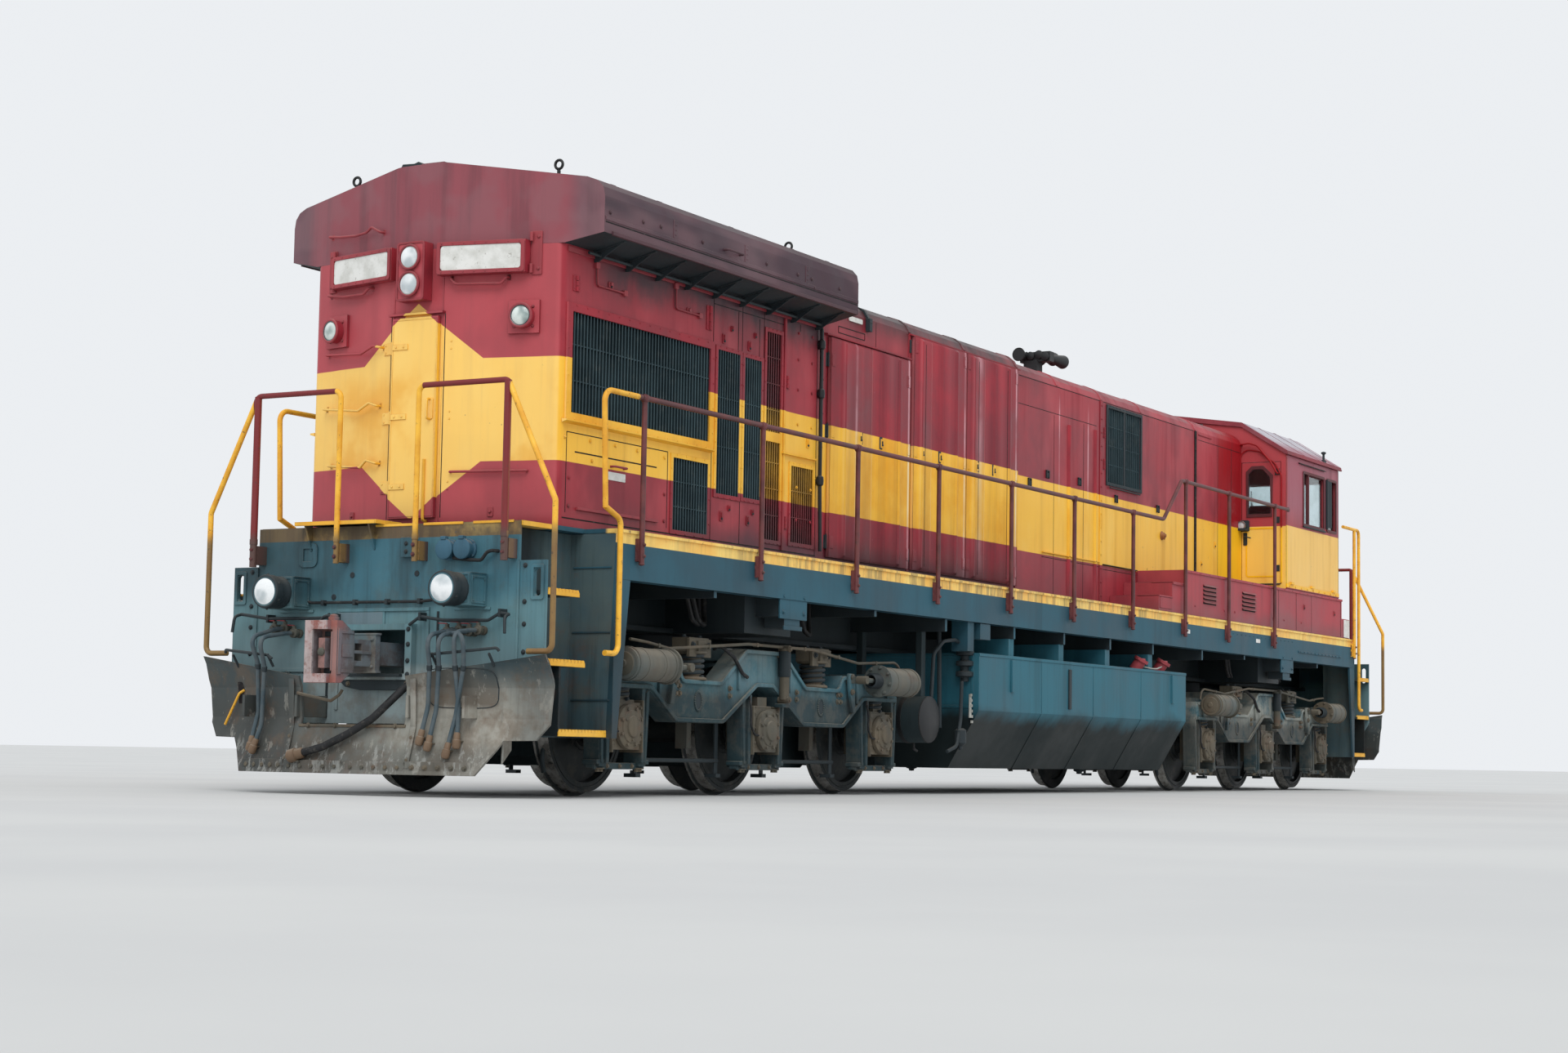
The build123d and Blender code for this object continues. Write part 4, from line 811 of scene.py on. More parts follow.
class P:
    """One visible piece: vertices are written in the row frame."""

    def __init__(self, name, mats, body="underframe", slot=None, bevel=0.0, angle=35.0):
        self.name, self.body, self.slot, self.bevel, self.angle = name, body, slot, bevel, angle
        self.mats = [M[m] for m in mats]
        self.names = list(mats)
        self.v, self.f, self.mi = [], [], []
        self.k = 0

    def use(self, m):
        if m not in self.names:
            self.names.append(m)
            self.mats.append(M[m])
        self.k = self.names.index(m)
        return self

    def add(self, vs, fs):
        o = len(self.v)
        self.v += [tuple(p) for p in vs]
        self.f += [tuple(i + o for i in f) for f in fs]
        self.mi += [self.k] * len(fs)

    def box(self, x0, x1, y0, y1, z0, z1):
        x0, x1 = sorted((x0, x1)); y0, y1 = sorted((y0, y1)); z0, z1 = sorted((z0, z1))
        vs = [(x, y, z) for x in (x0, x1) for y in (y0, y1) for z in (z0, z1)]
        self.add(vs, [(0, 1, 3, 2), (4, 6, 7, 5), (0, 4, 5, 1), (2, 3, 7, 6), (0, 2, 6, 4), (1, 5, 7, 3)])

    def obox(self, c, u, v, w):
        """Oriented box: centre and three half vectors."""
        c, u, v, w = V(c), V(u), V(v), V(w)
        vs = [c + u * a + v * b + w * d for a in (-1, 1) for b in (-1, 1) for d in (-1, 1)]
        self.add(vs, [(0, 1, 3, 2), (4, 6, 7, 5), (0, 4, 5, 1), (2, 3, 7, 6), (0, 2, 6, 4), (1, 5, 7, 3)])

    def bar(self, a, b, w, h, up=(0, 0, 1)):
        """Flat bar from a to b: w across, h along up."""
        a, b = V(a), V(b)
        d = (b - a)
        n = d.normalized()
        s = n.cross(V(up)).normalized()
        t = s.cross(n).normalized()
        self.obox((a + b) / 2, d / 2, s * w / 2, t * h / 2)

    def prism(self, pts, axis, a, b):
        """Polygon extruded along an axis; points are given in the other two axes' order."""
        def at(p, q):
            return {"x": (q, p[0], p[1]), "y": (p[0], q, p[1]), "z": (p[0], p[1], q)}[axis]
        n = len(pts)
        vs = [at(p, a) for p in pts] + [at(p, b) for p in pts]
        fs = [tuple(range(n)), tuple(range(2 * n - 1, n - 1, -1))]
        fs += [(i, (i + 1) % n, n + (i + 1) % n, n + i) for i in range(n)]
        self.add(vs, fs)

    def loft(self, rings, cap=True, closed=True):
        n = len(rings[0])
        vs = [p for r in rings for p in r]
        fs = []
        for j in range(len(rings) - 1):
            for i in range(n if closed else n - 1):
                a, b = j * n + i, j * n + (i + 1) % n
                fs.append((a, b, b + n, a + n))
        if cap:
            fs.append(tuple(range(n)))
            fs.append(tuple(len(vs) - 1 - i for i in range(n)))
        self.add(vs, fs)

    def cyl(self, a, b, r, n=16, r2=None, cap=True):
        a, b = V(a), V(b)
        u, w, d = frame_of(b - a)
        r2 = r if r2 is None else r2
        rings = []
        for p, q in ((a, r), (b, r2)):
            rings.append([p + (u * math.cos(2 * math.pi * i / n) + w * math.sin(2 * math.pi * i / n)) * q
                          for i in range(n)])
        self.loft(rings, cap)

    def lathe(self, c, d, prof, n=24, cap=True):
        """prof: (distance along d, radius) pairs from one end to the other."""
        c = V(c)
        u, w, d = frame_of(d)
        rings = []
        for h, r in prof:
            r = max(r, 1e-4)
            rings.append([c + d * h + (u * math.cos(2 * math.pi * i / n) + w * math.sin(2 * math.pi * i / n)) * r
                          for i in range(n)])
        self.loft(rings, cap)

    def path(self, pts, bend):
        """Polyline with its corners rounded, as a list of points."""
        pts = [V(p) for p in pts]
        out = [pts[0]]
        for i in range(1, len(pts) - 1):
            a, b, c = pts[i - 1], pts[i], pts[i + 1]
            u, w = (a - b), (c - b)
            lu, lw = u.length, w.length
            u, w = u.normalized(), w.normalized()
            ang = math.acos(max(-1, min(1, u.dot(w))))
            if ang > math.radians(176):
                out.append(b)
                continue
            t = min(bend / max(math.tan(ang / 2), 1e-3), lu * 0.48, lw * 0.48)
            p0, p1 = b + u * t, b + w * t
            k = max(2, int((math.pi - ang) / 0.3))
            for j in range(k + 1):
                s = j / k
                out.append(p0 * (1 - s) ** 2 + b * 2 * s * (1 - s) + p1 * s ** 2)
        out.append(pts[-1])
        return out

    def tube(self, pts, r, bend=0.05, n=8, cap=True, rr=None):
        pts = self.path(pts, bend) if len(pts) > 2 and bend else [V(p) for p in pts]
        rings = []
        u = None
        for i, p in enumerate(pts):
            d = (pts[min(i + 1, len(pts) - 1)] - pts[max(i - 1, 0)]).normalized()
            if u is None:
                u, w, _ = frame_of(d)
            else:
                u = (u - d * u.dot(d)).normalized()
                w = d.cross(u).normalized()
            q = r if rr is None else rr(i / (len(pts) - 1)) * r
            rings.append([p + (u * math.cos(2 * math.pi * j / n) + w * math.sin(2 * math.pi * j / n)) * q
                          for j in range(n)])
        self.loft(rings, cap)

    def coil(self, a, b, R, r, turns, n=8, seg=16):
        a, b = V(a), V(b)
        u, w, d = frame_of(b - a)
        ln = (b - a).length
        pts = []
        for i in range(int(turns * seg) + 1):
            t = i / (turns * seg)
            f = 2 * math.pi * turns * t
            pts.append(a + d * ln * t + (u * math.cos(f) + w * math.sin(f)) * R)
        self.tube(pts, r, 0, n)

    def bolt(self, p, d, r=0.016, h=0.012, washer=True):
        p = V(p)
        d = V(d).normalized()
        if washer:
            self.cyl(p, p + d * h * 0.3, r * 1.45, 12)
        self.cyl(p, p + d * h, r, 6)

    def rivet(self, p, d, r=0.012):
        self.lathe(V(p), d, [(0, r), (r * 0.35, r * 0.85), (r * 0.6, r * 0.45), (r * 0.68, 0.0)], 10)

    def torus(self, c, d, R, r, n=28, m=8):
        c = V(c)
        u, w, d = frame_of(d)
        rings = []
        for i in range(n + 1):
            f = 2 * math.pi * i / n
            e = u * math.cos(f) + w * math.sin(f)
            rings.append([c + e * (R + r * math.cos(2 * math.pi * j / m)) + d * r * math.sin(2 * math.pi * j / m)
                          for j in range(m)])
        self.loft(rings, False)

    def plate(self, c, u, v, w, h, t, r=0.0, seg=4):
        """Flat plate with rounded corners: centre, unit axes u, v, size w × h, thickness t along u×v."""
        c, u, v = V(c), V(u).normalized(), V(v).normalized()
        n = u.cross(v).normalized()
        pts = []
        if r <= 0:
            pts = [(-w / 2, -h / 2), (w / 2, -h / 2), (w / 2, h / 2), (-w / 2, h / 2)]
        else:
            for cx, cy, a0 in ((w / 2 - r, h / 2 - r, 0), (-w / 2 + r, h / 2 - r, 90), (-w / 2 + r, -h / 2 + r, 180),
                               (w / 2 - r, -h / 2 + r, 270)):
                for i in range(seg + 1):
                    a = math.radians(a0 + 90 * i / seg)
                    pts.append((cx + r * math.cos(a), cy + r * math.sin(a)))
        rings = [[c + u * a + v * b + n * q for a, b in pts] for q in (0, t)]
        self.loft(rings)

    def frame(self, c, u, v, w, h, t, wd, r=0.0):
        """Rectangular ring: outer w × h, band width wd, thickness t along u×v."""
        c, u, v = V(c), V(u).normalized(), V(v).normalized()
        n = u.cross(v).normalized()

        def ring(w, h, r):
            pts = []
            for cx, cy, a0 in ((w / 2 - r, h / 2 - r, 0), (-w / 2 + r, h / 2 - r, 90), (-w / 2 + r, -h / 2 + r, 180),
                               (w / 2 - r, -h / 2 + r, 270)):
                for i in range(5):
                    a = math.radians(a0 + 90 * i / 4)
                    pts.append((cx + r * math.cos(a), cy + r * math.sin(a)))
            return pts
        o = ring(w, h, max(r, 0.0005))
        i = ring(w - 2 * wd, h - 2 * wd, max(r - wd, 0.0005))
        k = len(o)
        vs = [c + u * a + v * b for a, b in o] + [c + u * a + v * b + n * t for a, b in o]
        vs += [c + u * a + v * b + n * t for a, b in i] + [c + u * a + v * b for a, b in i]
        fs = []
        for j in range(4):
            for q in range(k):
                a, b = j * k + q, j * k + (q + 1) % k
                e, f = ((j + 1) % 4) * k + q, ((j + 1) % 4) * k + (q + 1) % k
                fs.append((a, b, f, e))
        self.add(vs, fs)

    def mirror(self, axis="y", since=0):
        """Copies everything from face index since, mirrored."""
        sv = {j for f in self.f[since:] for j in f}
        idx = sorted(sv)
        at = {j: i for i, j in enumerate(idx)}
        i = "xyz".index(axis)
        vs = []
        for j in idx:
            p = list(self.v[j]); p[i] = -p[i]; vs.append(tuple(p))
        o = len(self.v)
        n = len(self.f)
        self.v += vs
        for q in range(since, n):
            self.f.append(tuple(at[j] + o for j in reversed(self.f[q])))
            self.mi.append(self.mi[q])

    def mark(self):
        return len(self.f)

    def done(self):
        me = bpy.data.meshes.new(self.name)
        me.from_pydata(self.v, [], self.f)
        for m in self.mats:
            me.materials.append(m)
        me.polygons.foreach_set("material_index", self.mi)
        bm = bmesh.new()
        bm.from_mesh(me)
        bmesh.ops.recalc_face_normals(bm, faces=bm.faces)
        bm.to_mesh(me)
        bm.free()
        me.update()
        me.polygons.foreach_set("use_smooth", [True] * len(me.polygons))
        me.set_sharp_from_angle(angle=math.radians(self.angle))
        ob = bpy.data.objects.new(self.name, me)
        scene.collection.objects.link(ob)
        if self.bevel:
            md = ob.modifiers.new("soft_edges", "BEVEL")
            md.width = self.bevel
            md.segments = 1
            md.limit_method = "ANGLE"
            md.angle_limit = math.radians(50)
            md.harden_normals = False
        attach(ob, self.body)
        return ob


def give(node, *mats):
    """Materials of a frame node: its own slots take the new finish."""
    me = NODES[node].data
    if not me.materials:
        me.materials.append(M[mats[0]])
    for i in range(len(me.materials)):
        me.materials[i] = M[mats[min(i, len(mats) - 1)]]


def split(node, rules, base):
    """Assigns materials to faces of a frame node by where each face is: rules are (test(centre, normal), material)."""
    me = NODES[node].data
    names = [base] + [m for _, m in rules]
    me.materials.clear()
    for m in names:
        me.materials.append(M[m])
    for p in me.polygons:
        k = 0
        for i, (test, _) in enumerate(rules):
            if test(p.center, p.normal):
                k = i + 1
                break
        p.material_index = k


# ------------------------------------------------------------------ finishes of the frame's own nodes
split("underframe", [(lambda c, n: n.z > 0.9 and c.z > 1.98, "deck"),
                     (lambda c, n: abs(c.y) < 1.45 and c.z < 1.94, "dark")], "frame")
give("pilot_plates", "plate")
give("snowploughs", "plough")
split("corner_steps", [(lambda c, n: n.z > 0.8, "step"), (lambda c, n: abs(n.y) > 0.7 and abs(c.y) > 1.46, "frame"),
                       (lambda c, n: abs(n.x) > 0.7 and abs(c.y) > 1.46, "frame")], "stair")
give("radiator_hood", "hood")
give("radiator_roof", "roof")
give("engine_hood", "hood")
give("control_hood", "hood")
give("hood_grilles", "grille")
give("walkway_boxes", "boxpaint")
split("cab_shell", [(lambda c, n: 6.17 < c.x < 8.15 and abs(c.y) < 1.45 and c.z < 4.63 and
                     (c.z > 2.52) and not (abs(n.z) > 0.5 and c.z > 4.15), "inside")], "hood")
give("cab_roof", "cabroof")
give("cab_glass", "glass")
give("cab_seats", "seat")
give("control_desk", "desk")
give("nose", "hood")
give("fuel_tank", "tank")
give("air_reservoirs", "motor")
give("engine_block", "motor")
for n in ("handrail_left", "handrail_right", "handrail_ends"):
    give(n, "rail")
split("rear_lamps", [(lambda c, n: c.z < 1.7, "plate")], "hood")
split("front_lamps", [(lambda c, n: c.z < 1.7, "plate")], "hood")
give("horn", "blackpipe")
for e in ("rear", "front"):
    give(e + "_bogie_frame", "bogie")
    give(e + "_bogie_suspension", "axlebox")
    give(e + "_brake_gear", "cylinder")
    give(e + "_traction_motors", "motor")
    give(e + "_coupler", "coupler")
    for k in (1, 2, 3):
        node = "%s_wheelset_%d" % (e, k)
        lo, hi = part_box(node)
        cx, cz = (lo.x + hi.x) / 2, (lo.z + hi.z) / 2

        def tread(c, n, cx=cx, cz=cz):
            return math.hypot(c.x - cx, c.z - cz) > 0.497 and abs(n.y) < 0.75
        split(node, [(tread, "bright")], "wheel")
for n in NODES:
    if n.startswith("engine_door"):
        give(n, "door")
give("radiator_end_door", "hood")
give("nose_door", "hood")
give("cab_door_right", "hood")
give("cab_door_left", "hood")


# ------------------------------------------------------------------ radiator hood, sides
RY = 1.170
RAD_GR = ((-9.060, -7.040, 2.820, 3.630), (-6.950, -6.570, 2.430, 3.635), (-6.520, -6.220, 2.435, 3.630),
          (-6.160, -5.890, 2.120, 3.900), (-7.600, -7.050, 2.080, 2.680), (-5.720, -5.310, 2.130, 2.810))


def sbox(p, x0, x1, s, a, b, z0, z1):
    """Box on one side of the body: a..b are distances from the centreline."""
    p.box(x0, x1, s * a, s * b, z0, z1)


def seam(p, s, y, x0, z0, x1, z1, w=0.007):
    """Thin dark gap line on a side wall, upright or level."""
    p.use("seam")
    if abs(x1 - x0) < 1e-6:
        p.box(x0 - w / 2, x0 + w / 2, s * (y - 0.002), s * (y + 0.0016), z0, z1)
    else:
        p.box(x0, x1, s * (y - 0.002), s * (y + 0.0016), z0 - w / 2, z0 + w / 2)


def latch(p, s, x, y, z, w=0.05, h=0.085, mat="banded"):
    """Flush latch: rounded backing plate, cam and finger lever."""
    p.use(mat)
    p.plate((x, s * y, z), (1, 0, 0), (0, 0, -s), w, h, 0.007, 0.012)
    p.plate((x, s * (y + 0.006), z + h * 0.12), (1, 0, 0), (0, 0, -s), w * 0.42, h * 0.55, 0.012, 0.008)
    p.use("dark")
    p.cyl((x, s * y, z - h * 0.25), (x, s * (y + 0.016), z - h * 0.25), 0.009, 8)


def hinge(p, s, x, y, z, h=0.11, mat="banded", leaf=0.045):
    """Butt hinge: two leaves with screws and a knuckled barrel."""
    p.use(mat)
    p.plate((x, s * y, z), (1, 0, 0), (0, 0, -s), leaf * 2, h, 0.006, 0.006)
    for k in range(3):
        a = z - h / 2 + h * k / 3
        p.cyl((x, s * (y + 0.010), a + 0.002), (x, s * (y + 0.010), a + h / 3 - 0.002), 0.011, 10)
    for dx in (-1, 1):
        for dz in (-0.32, 0.32):
            p.rivet((x + dx * leaf * 0.62, s * (y + 0.006), z + dz * h), (0, s, 0), 0.007)


def strap_hinge(p, s, x, y, z, d, ln=0.16):
    p.use("banded")
    p.box(x, x + d * ln, s * y, s * (y + 0.008), z - 0.018, z + 0.018)
    p.cyl((x, s * (y + 0.010), z - 0.035), (x, s * (y + 0.010), z + 0.035), 0.012, 10)
    for k in (0.4, 0.8):
        p.rivet((x + d * ln * k, s * (y + 0.008), z), (0, s, 0), 0.009)


for side, s in (("right", -1), ("left", 1)):
    p = P("radiator_grille_bars_" + side, ["slat", "banded", "louvre", "seam", "dark"], slot="grille")
    for gi, (x0, x1, z0, z1) in enumerate(RAD_GR):
        dark = gi in (0, 1, 2, 4)
        p.use("slat" if dark else "louvre")
        pitch = 0.043 if gi == 0 else 0.040
        n = int((x1 - x0) / pitch)
        for i in range(n + 1):
            x = x0 + (x1 - x0) * (i + 0.5) / (n + 1)
            y0, y1 = (RY - 0.019, RY + 0.006) if dark else (RY - 0.018, RY + 0.002)
            w = 0.0065 if dark else 0.0085
            # upright slats, each leaning back a little like a louvre
            p.prism([(x - w, s * y1), (x + w, s * y1), (x + w * 2.0, s * y0), (x + w * 0.6, s * y0)], "z",
                    z0 + 0.004, z1 - 0.004)
        # cross wires that tie the slats
        nz = 3 if dark else max(2, int((z1 - z0) / 0.20))
        for i in range(1, nz):
            z = z0 + (z1 - z0) * i / nz
            p.box(x0, x1, s * (RY - 0.012), s * (RY + 0.001 if dark else RY + 0.0035), z - 0.004, z + 0.004)
    p.use("banded")
    p.box(-6.160, -5.890, s * (RY - 0.02), s * (RY + 0.008), 2.962, 3.046)
    p.done()

    p = P("radiator_side_fittings_" + side, ["banded", "seam", "redfit"], slot="hood_paint", bevel=0.0025)
    for gi, (x0, x1, z0, z1) in enumerate(RAD_GR):
        wd, t = (0.048, 0.018) if gi == 0 else (0.026, 0.010)
        p.use("banded")
        p.frame(((x0 + x1) / 2, s * (RY - 0.001), (z0 + z1) / 2), (1, 0, 0), (0, 0, -s), x1 - x0 + wd * 1.6,
                z1 - z0 + wd * 1.6, t, wd * 1.35, 0.006)
        nb = 14 if gi == 0 else 4
        for i in range(nb):
            x = x0 + (x1 - x0) * (i + 0.5) / nb
            for z in (z0 - wd * 0.45, z1 + wd * 0.45):
                p.rivet((x, s * (RY - 0.001 + t), z), (0, s, 0), 0.008)
        nb = max(3, int((z1 - z0) / 0.17))
        for i in range(nb):
            z = z0 + (z1 - z0) * (i + 0.5) / nb
            for x in (x0 - wd * 0.45, x1 + wd * 0.45):
                p.rivet((x, s * (RY - 0.001 + t), z), (0, s, 0), 0.008)
    # ledge below the big grille
    p.use("banded")
    p.prism([(s * RY, 2.762), (s * (RY + 0.045), 2.775), (s * (RY + 0.045), 2.787), (s * RY, 2.790)], "x", -9.13, -7.02)
    # stay hooks above the grille
    for a, b, c, d in (((-8.72, 4.0), (-8.713, 3.85), (-8.34, 3.85), (-8.52, 3.874)),
                       ((-7.60, 4.03), (-7.597, 3.85), (-7.24, 3.848), (-7.39, 3.853))):
        p.use("redfit")
        p.tube([(a[0], s * (RY + 0.012), a[1]), (b[0], s * (RY + 0.012), b[1]), (c[0], s * (RY + 0.012), c[1])], 0.0075,
               0.03, 8)
        p.plate((c[0] + 0.01, s * RY, c[1]), (1, 0, 0), (0, 0, -s), 0.05, 0.045, 0.02, 0.01)
        p.plate((a[0], s * RY, a[1]), (1, 0, 0), (0, 0, -s), 0.05, 0.05, 0.02, 0.01)
        latch(p, s, d[0], RY, d[1] + 0.01, 0.07, 0.05, "redfit")
    # bar across the top, under the overhang
    p.use("redfit")
    p.box(-9.10, -5.26, s * RY, s * (RY + 0.010), 4.045, 4.085)
    hinge(p, s, -7.075, RY, 3.855, 0.20)
    hinge(p, s, -8.98, RY, 3.82, 0.12)
    for x, z in ((-6.843, 3.72), (-6.431, 3.718), (-6.838, 2.265), (-6.414, 2.264)):
        latch(p, s, x, RY, z)
    for x in (-6.72, -6.34):
        for z in (3.82, 2.34):
            latch(p, s, x, RY, z, 0.035, 0.05)
    # lower access panel with its handle, bolts and kick bar
    seam(p, s, RY, -8.95, 2.56, -7.82, 2.56, 0.010)
    seam(p, s, RY, -9.06, 2.70, -7.66, 2.70)
    seam(p, s, RY, -9.06, 2.10, -9.06, 2.70)
    seam(p, s, RY, -7.66, 2.10, -7.66, 2.70)
    p.use("banded")
    for x, z in ((-8.749, 2.662), (-8.408, 2.665), (-8.721, 2.515), (-7.707, 2.65), (-9.084, 2.659), (-8.10, 2.66),
                 (-8.02, 2.515), (-9.02, 2.36), (-7.70, 2.36), (-9.02, 2.15), (-7.70, 2.15)):
        p.bolt((x, s * RY, z), (0, s, 0), 0.011, 0.010)
    p.use("redfit")
    p.tube([(-8.466, s * RY, 2.50), (-8.466, s * (RY + 0.04), 2.50), (-8.288, s * (RY + 0.04), 2.50),
            (-8.288, s * RY, 2.50)], 0.009, 0.02, 8)
    p.box(-8.92, -7.81, s * RY, s * (RY + 0.018), 2.128, 2.150)
    p.use("white")
    p.plate((-8.38, s * RY, 2.428), (1, 0, 0), (0, 0, -s), 0.235, 0.062, 0.004, 0.006)
    # panel gaps
    for x, z0, z1 in ((-6.61, 3.63, 3.98), (-6.265, 3.63, 3.97), (-5.845, 2.06, 4.05), (-5.575, 3.97, 4.03),
                      (-7.005, 2.05, 4.04), (-6.545, 2.06, 4.04), (-6.19, 2.06, 4.04), (-5.27, 2.06, 4.05)):
        seam(p, s, RY, x, z0, x, z1)
    seam(p, s, RY, -7.0, 3.985, -5.86, 3.985)
    seam(p, s, RY, -9.1, 2.058, -5.26, 2.058, 0.010)
    p.use("banded")
    p.box(-5.88, -5.29, s * RY, s * (RY + 0.028), 2.880, 2.896)
    p.box(-5.862, -5.832, s * RY, s * (RY + 0.016), 2.06, 4.04)
    for z in (3.95, 3.72, 3.46, 3.16, 2.62, 2.34):
        p.bolt((-5.60, s * RY, z), (0, s, 0), 0.010, 0.009)
        p.bolt((-5.36, s * RY, z), (0, s, 0), 0.010, 0.009)
    hinge(p, s, -5.80, RY, 3.50, 0.11)
    hinge(p, s, -5.80, RY, 2.30, 0.11)
    latch(p, s, -5.42, RY, 3.02)
    # rain pipe with its unions
    p.use("blackpipe")
    px, py = -5.245, RY + 0.030
    p.tube([(px, s * 1.05, 4.075), (px, s * py, 4.06), (px, s * py, 2.67), (px + 0.02, s * py, 2.10)], 0.017, 0.05, 10)
    for z in (3.90, 3.47, 2.71):
        p.lathe((px, s * py, z - 0.045), (0, 0, 1), [(0, 0.018), (0.012, 0.031), (0.045, 0.034), (0.078, 0.031),
                                                    (0.09, 0.018)], 12)
        p.box(px - 0.03, px + 0.03, s * (RY - 0.001), s * (RY + 0.02), z - 0.012, z + 0.012)
    p.done()

# ------------------------------------------------------------------ overhanging radiator roof
# the underside of the overhang takes the dark steel finish: painted shade
split("radiator_roof", [(lambda c, n: n.z < -0.3, "dark")], "roof")
for side, s in (("right", -1), ("left", 1)):
    p = P("radiator_roof_trim_" + side, ["roof", "seam", "roofit"], slot="roof_paint", bevel=0.002)
    y = 1.480
    p.use("roofit")
    # gutter along the lower edge and the folded edge above it
    p.prism([(s * (y - 0.004), 4.158), (s * (y + 0.014), 4.160), (s * (y + 0.014), 4.188), (s * (y - 0.002), 4.192)], "x",
            -8.98, -5.16)
    p.use("roof")
    p.box(-9.07, -5.115, s * y, s * (y + 0.006), 4.262, 4.292)
    seam(p, s, y, -9.07, 4.248, -5.13, 4.248, 0.010)
    for x in (-8.10, -7.02, -6.02):
        p.use("roof")
        p.box(x - 0.03, x + 0.03, s * (y - 0.002), s * (y + 0.0045), 4.292, 4.435)
        for z in (4.32, 4.36, 4.40):
            p.rivet((x, s * (y + 0.0045), z), (0, s, 0), 0.008)
    p.use("roofit")
    for x, z in ((-9.01, 4.325), (-8.56, 4.338), (-8.31, 4.348), (-6.18, 4.338), (-5.94, 4.339), (-5.90, 4.276),
                 (-7.70, 4.338), (-6.70, 4.338), (-5.45, 4.338)):
        p.bolt((x, s * (y + 0.001), z), (0, s, 0), 0.012, 0.010)
    p.tube([(-7.376, s * y, 4.335), (-7.376, s * (y + 0.045), 4.335), (-7.137, s * (y + 0.045), 4.335),
            (-7.137, s * y, 4.335)], 0.010, 0.02, 8)
    # ridge laps over the top, with rows of rivets
    for x in (-8.75, -8.10, -7.02, -6.02, -5.40):
        p.use("roof")
        p.prism([(s * 0.24, 4.7545), (s * 1.33, 4.5935), (s * 1.33, 4.599), (s * 0.24, 4.7605)], "x", x - 0.035, x + 0.035)
        for k in range(12):
            yy = 0.30 + 0.09 * k
            zz = 4.7605 - (yy - 0.24) * (4.7605 - 4.599) / 1.09
            p.rivet((x, s * yy, zz), (0, 0.147 * s, 0.99), 0.008)
    # brackets under the overhang, in the dark steel finish as painted shade
    p.use("dark")
    for i in range(9):
        x = -8.75 + i * 0.43
        p.prism([(s * 1.172, 4.085), (s * 1.45, 4.150), (s * 1.45, 4.163), (s * 1.172, 4.110)], "x", x - 0.012, x + 0.012)
        p.prism([(s * 1.171, 4.02), (s * 1.21, 4.02), (s * 1.40, 4.135), (s * 1.171, 4.085)], "x", x - 0.006, x + 0.006)
    p.tube([(-8.9, s * 1.225, 4.065), (-5.3, s * 1.225, 4.065)], 0.013, 0, 8)
    p.done()

p = P("radiator_roof_top", ["roof", "blackpipe", "dark", "seam"], slot="roof_paint", bevel=0.002)
# two round screened fan openings on the ridge, flush with the box height
for cx in (-8.2, -6.55):
    p.use("dark")
    p.lathe((cx, 0, 4.742), (0, 0, 1), [(0, 0.0), (0.004, 0.58), (0.024, 0.60), (0.030, 0.60), (0.032, 0.56),
                                       (0.020, 0.54), (0.018, 0.0)], 48, cap=False)
    p.use("slat")
    for k in range(7):
        p.torus((cx, 0, 4.772), (0, 0, 1), 0.07 + k * 0.078, 0.0045, 40, 6)
    for k in range(8):
        a = math.pi * k / 4
        p.bar((cx + 0.04 * math.cos(a), 0.04 * math.sin(a), 4.767), (cx + 0.585 * math.cos(a), 0.585 * math.sin(a), 4.767),
              0.014, 0.005)
    p.use("roof")
    p.torus((cx, 0, 4.762), (0, 0, 1), 0.60, 0.016, 48, 8)
# lifting eyes and the capped notch in the front edge
p.use("blackpipe")
for x, y, z in ((-9.0, -1.0, 4.638), (-9.16, 0.8, 4.646), (-5.51, -1.0, 4.638), (-5.51, 1.0, 4.638)):
    p.box(x - 0.05, x + 0.05, y - 0.03, y + 0.03, z - 0.02, z + 0.012)
    p.cyl((x, y, z), (x, y, z + 0.055), 0.014, 10)
    p.torus((x, y, z + 0.098), (1, 0, 0), 0.034, 0.011, 20, 8)
p.use("dark")
p.prism([(0.02, 4.735), (0.24, 4.735), (0.21, 4.785), (0.10, 4.780), (0.06, 4.792), (0.03, 4.775)], "x", -9.345, -9.20)
p.use("roof")
p.prism([(-0.21, 4.752), (0.02, 4.755), (0.02, 4.770), (-0.19, 4.768)], "x", -9.352, -9.22)
p.done()

# ------------------------------------------------------------------ end face of the radiator hood
FX, SL = -9.42, 0.226


def ef(y, z, out=0.0):
    """Point on the slanted end face, out metres in front of it."""
    if abs(y) < 0.24:
        return V(FX + SL * 0.24 - out, y, z)
    n = V(-1, SL * (1 if y > 0 else -1), 0).normalized()
    return V(FX + SL * abs(y), y, z) + n * out


def en(y):
    return V(-1, 0, 0) if abs(y) < 0.24 else V(-1, SL * (1 if y > 0 else -1), 0).normalized()


def eu(y):
    """Unit along the face away from the centre."""
    return V(0, 1, 0) if abs(y) < 0.24 else V(SL * (1 if y > 0 else -1), 1, 0).normalized()


p = P("end_face_fittings", ["redfit", "seam", "yellow"], slot="hood_paint", bevel=0.002)


def grab(p, pts, r=0.0105, out=0.045, feet=True):
    """Round-bar grab iron: from the wall out, along the points, and back."""
    q = [ef(*pts[0], 0.0)] + [ef(y, z, out) for y, z in pts] + [ef(*pts[-1], 0.0)]
    p.tube(q, r, 0.03, 8)
    if feet:
        for y, z in (pts[0], pts[-1]):
            p.plate(ef(y, z, 0.0), (0, 0, 1), -eu(y), 0.05, 0.035, 0.006, 0.008)
            p.rivet(ef(y, z + 0.017, 0.006), en(y), 0.006)


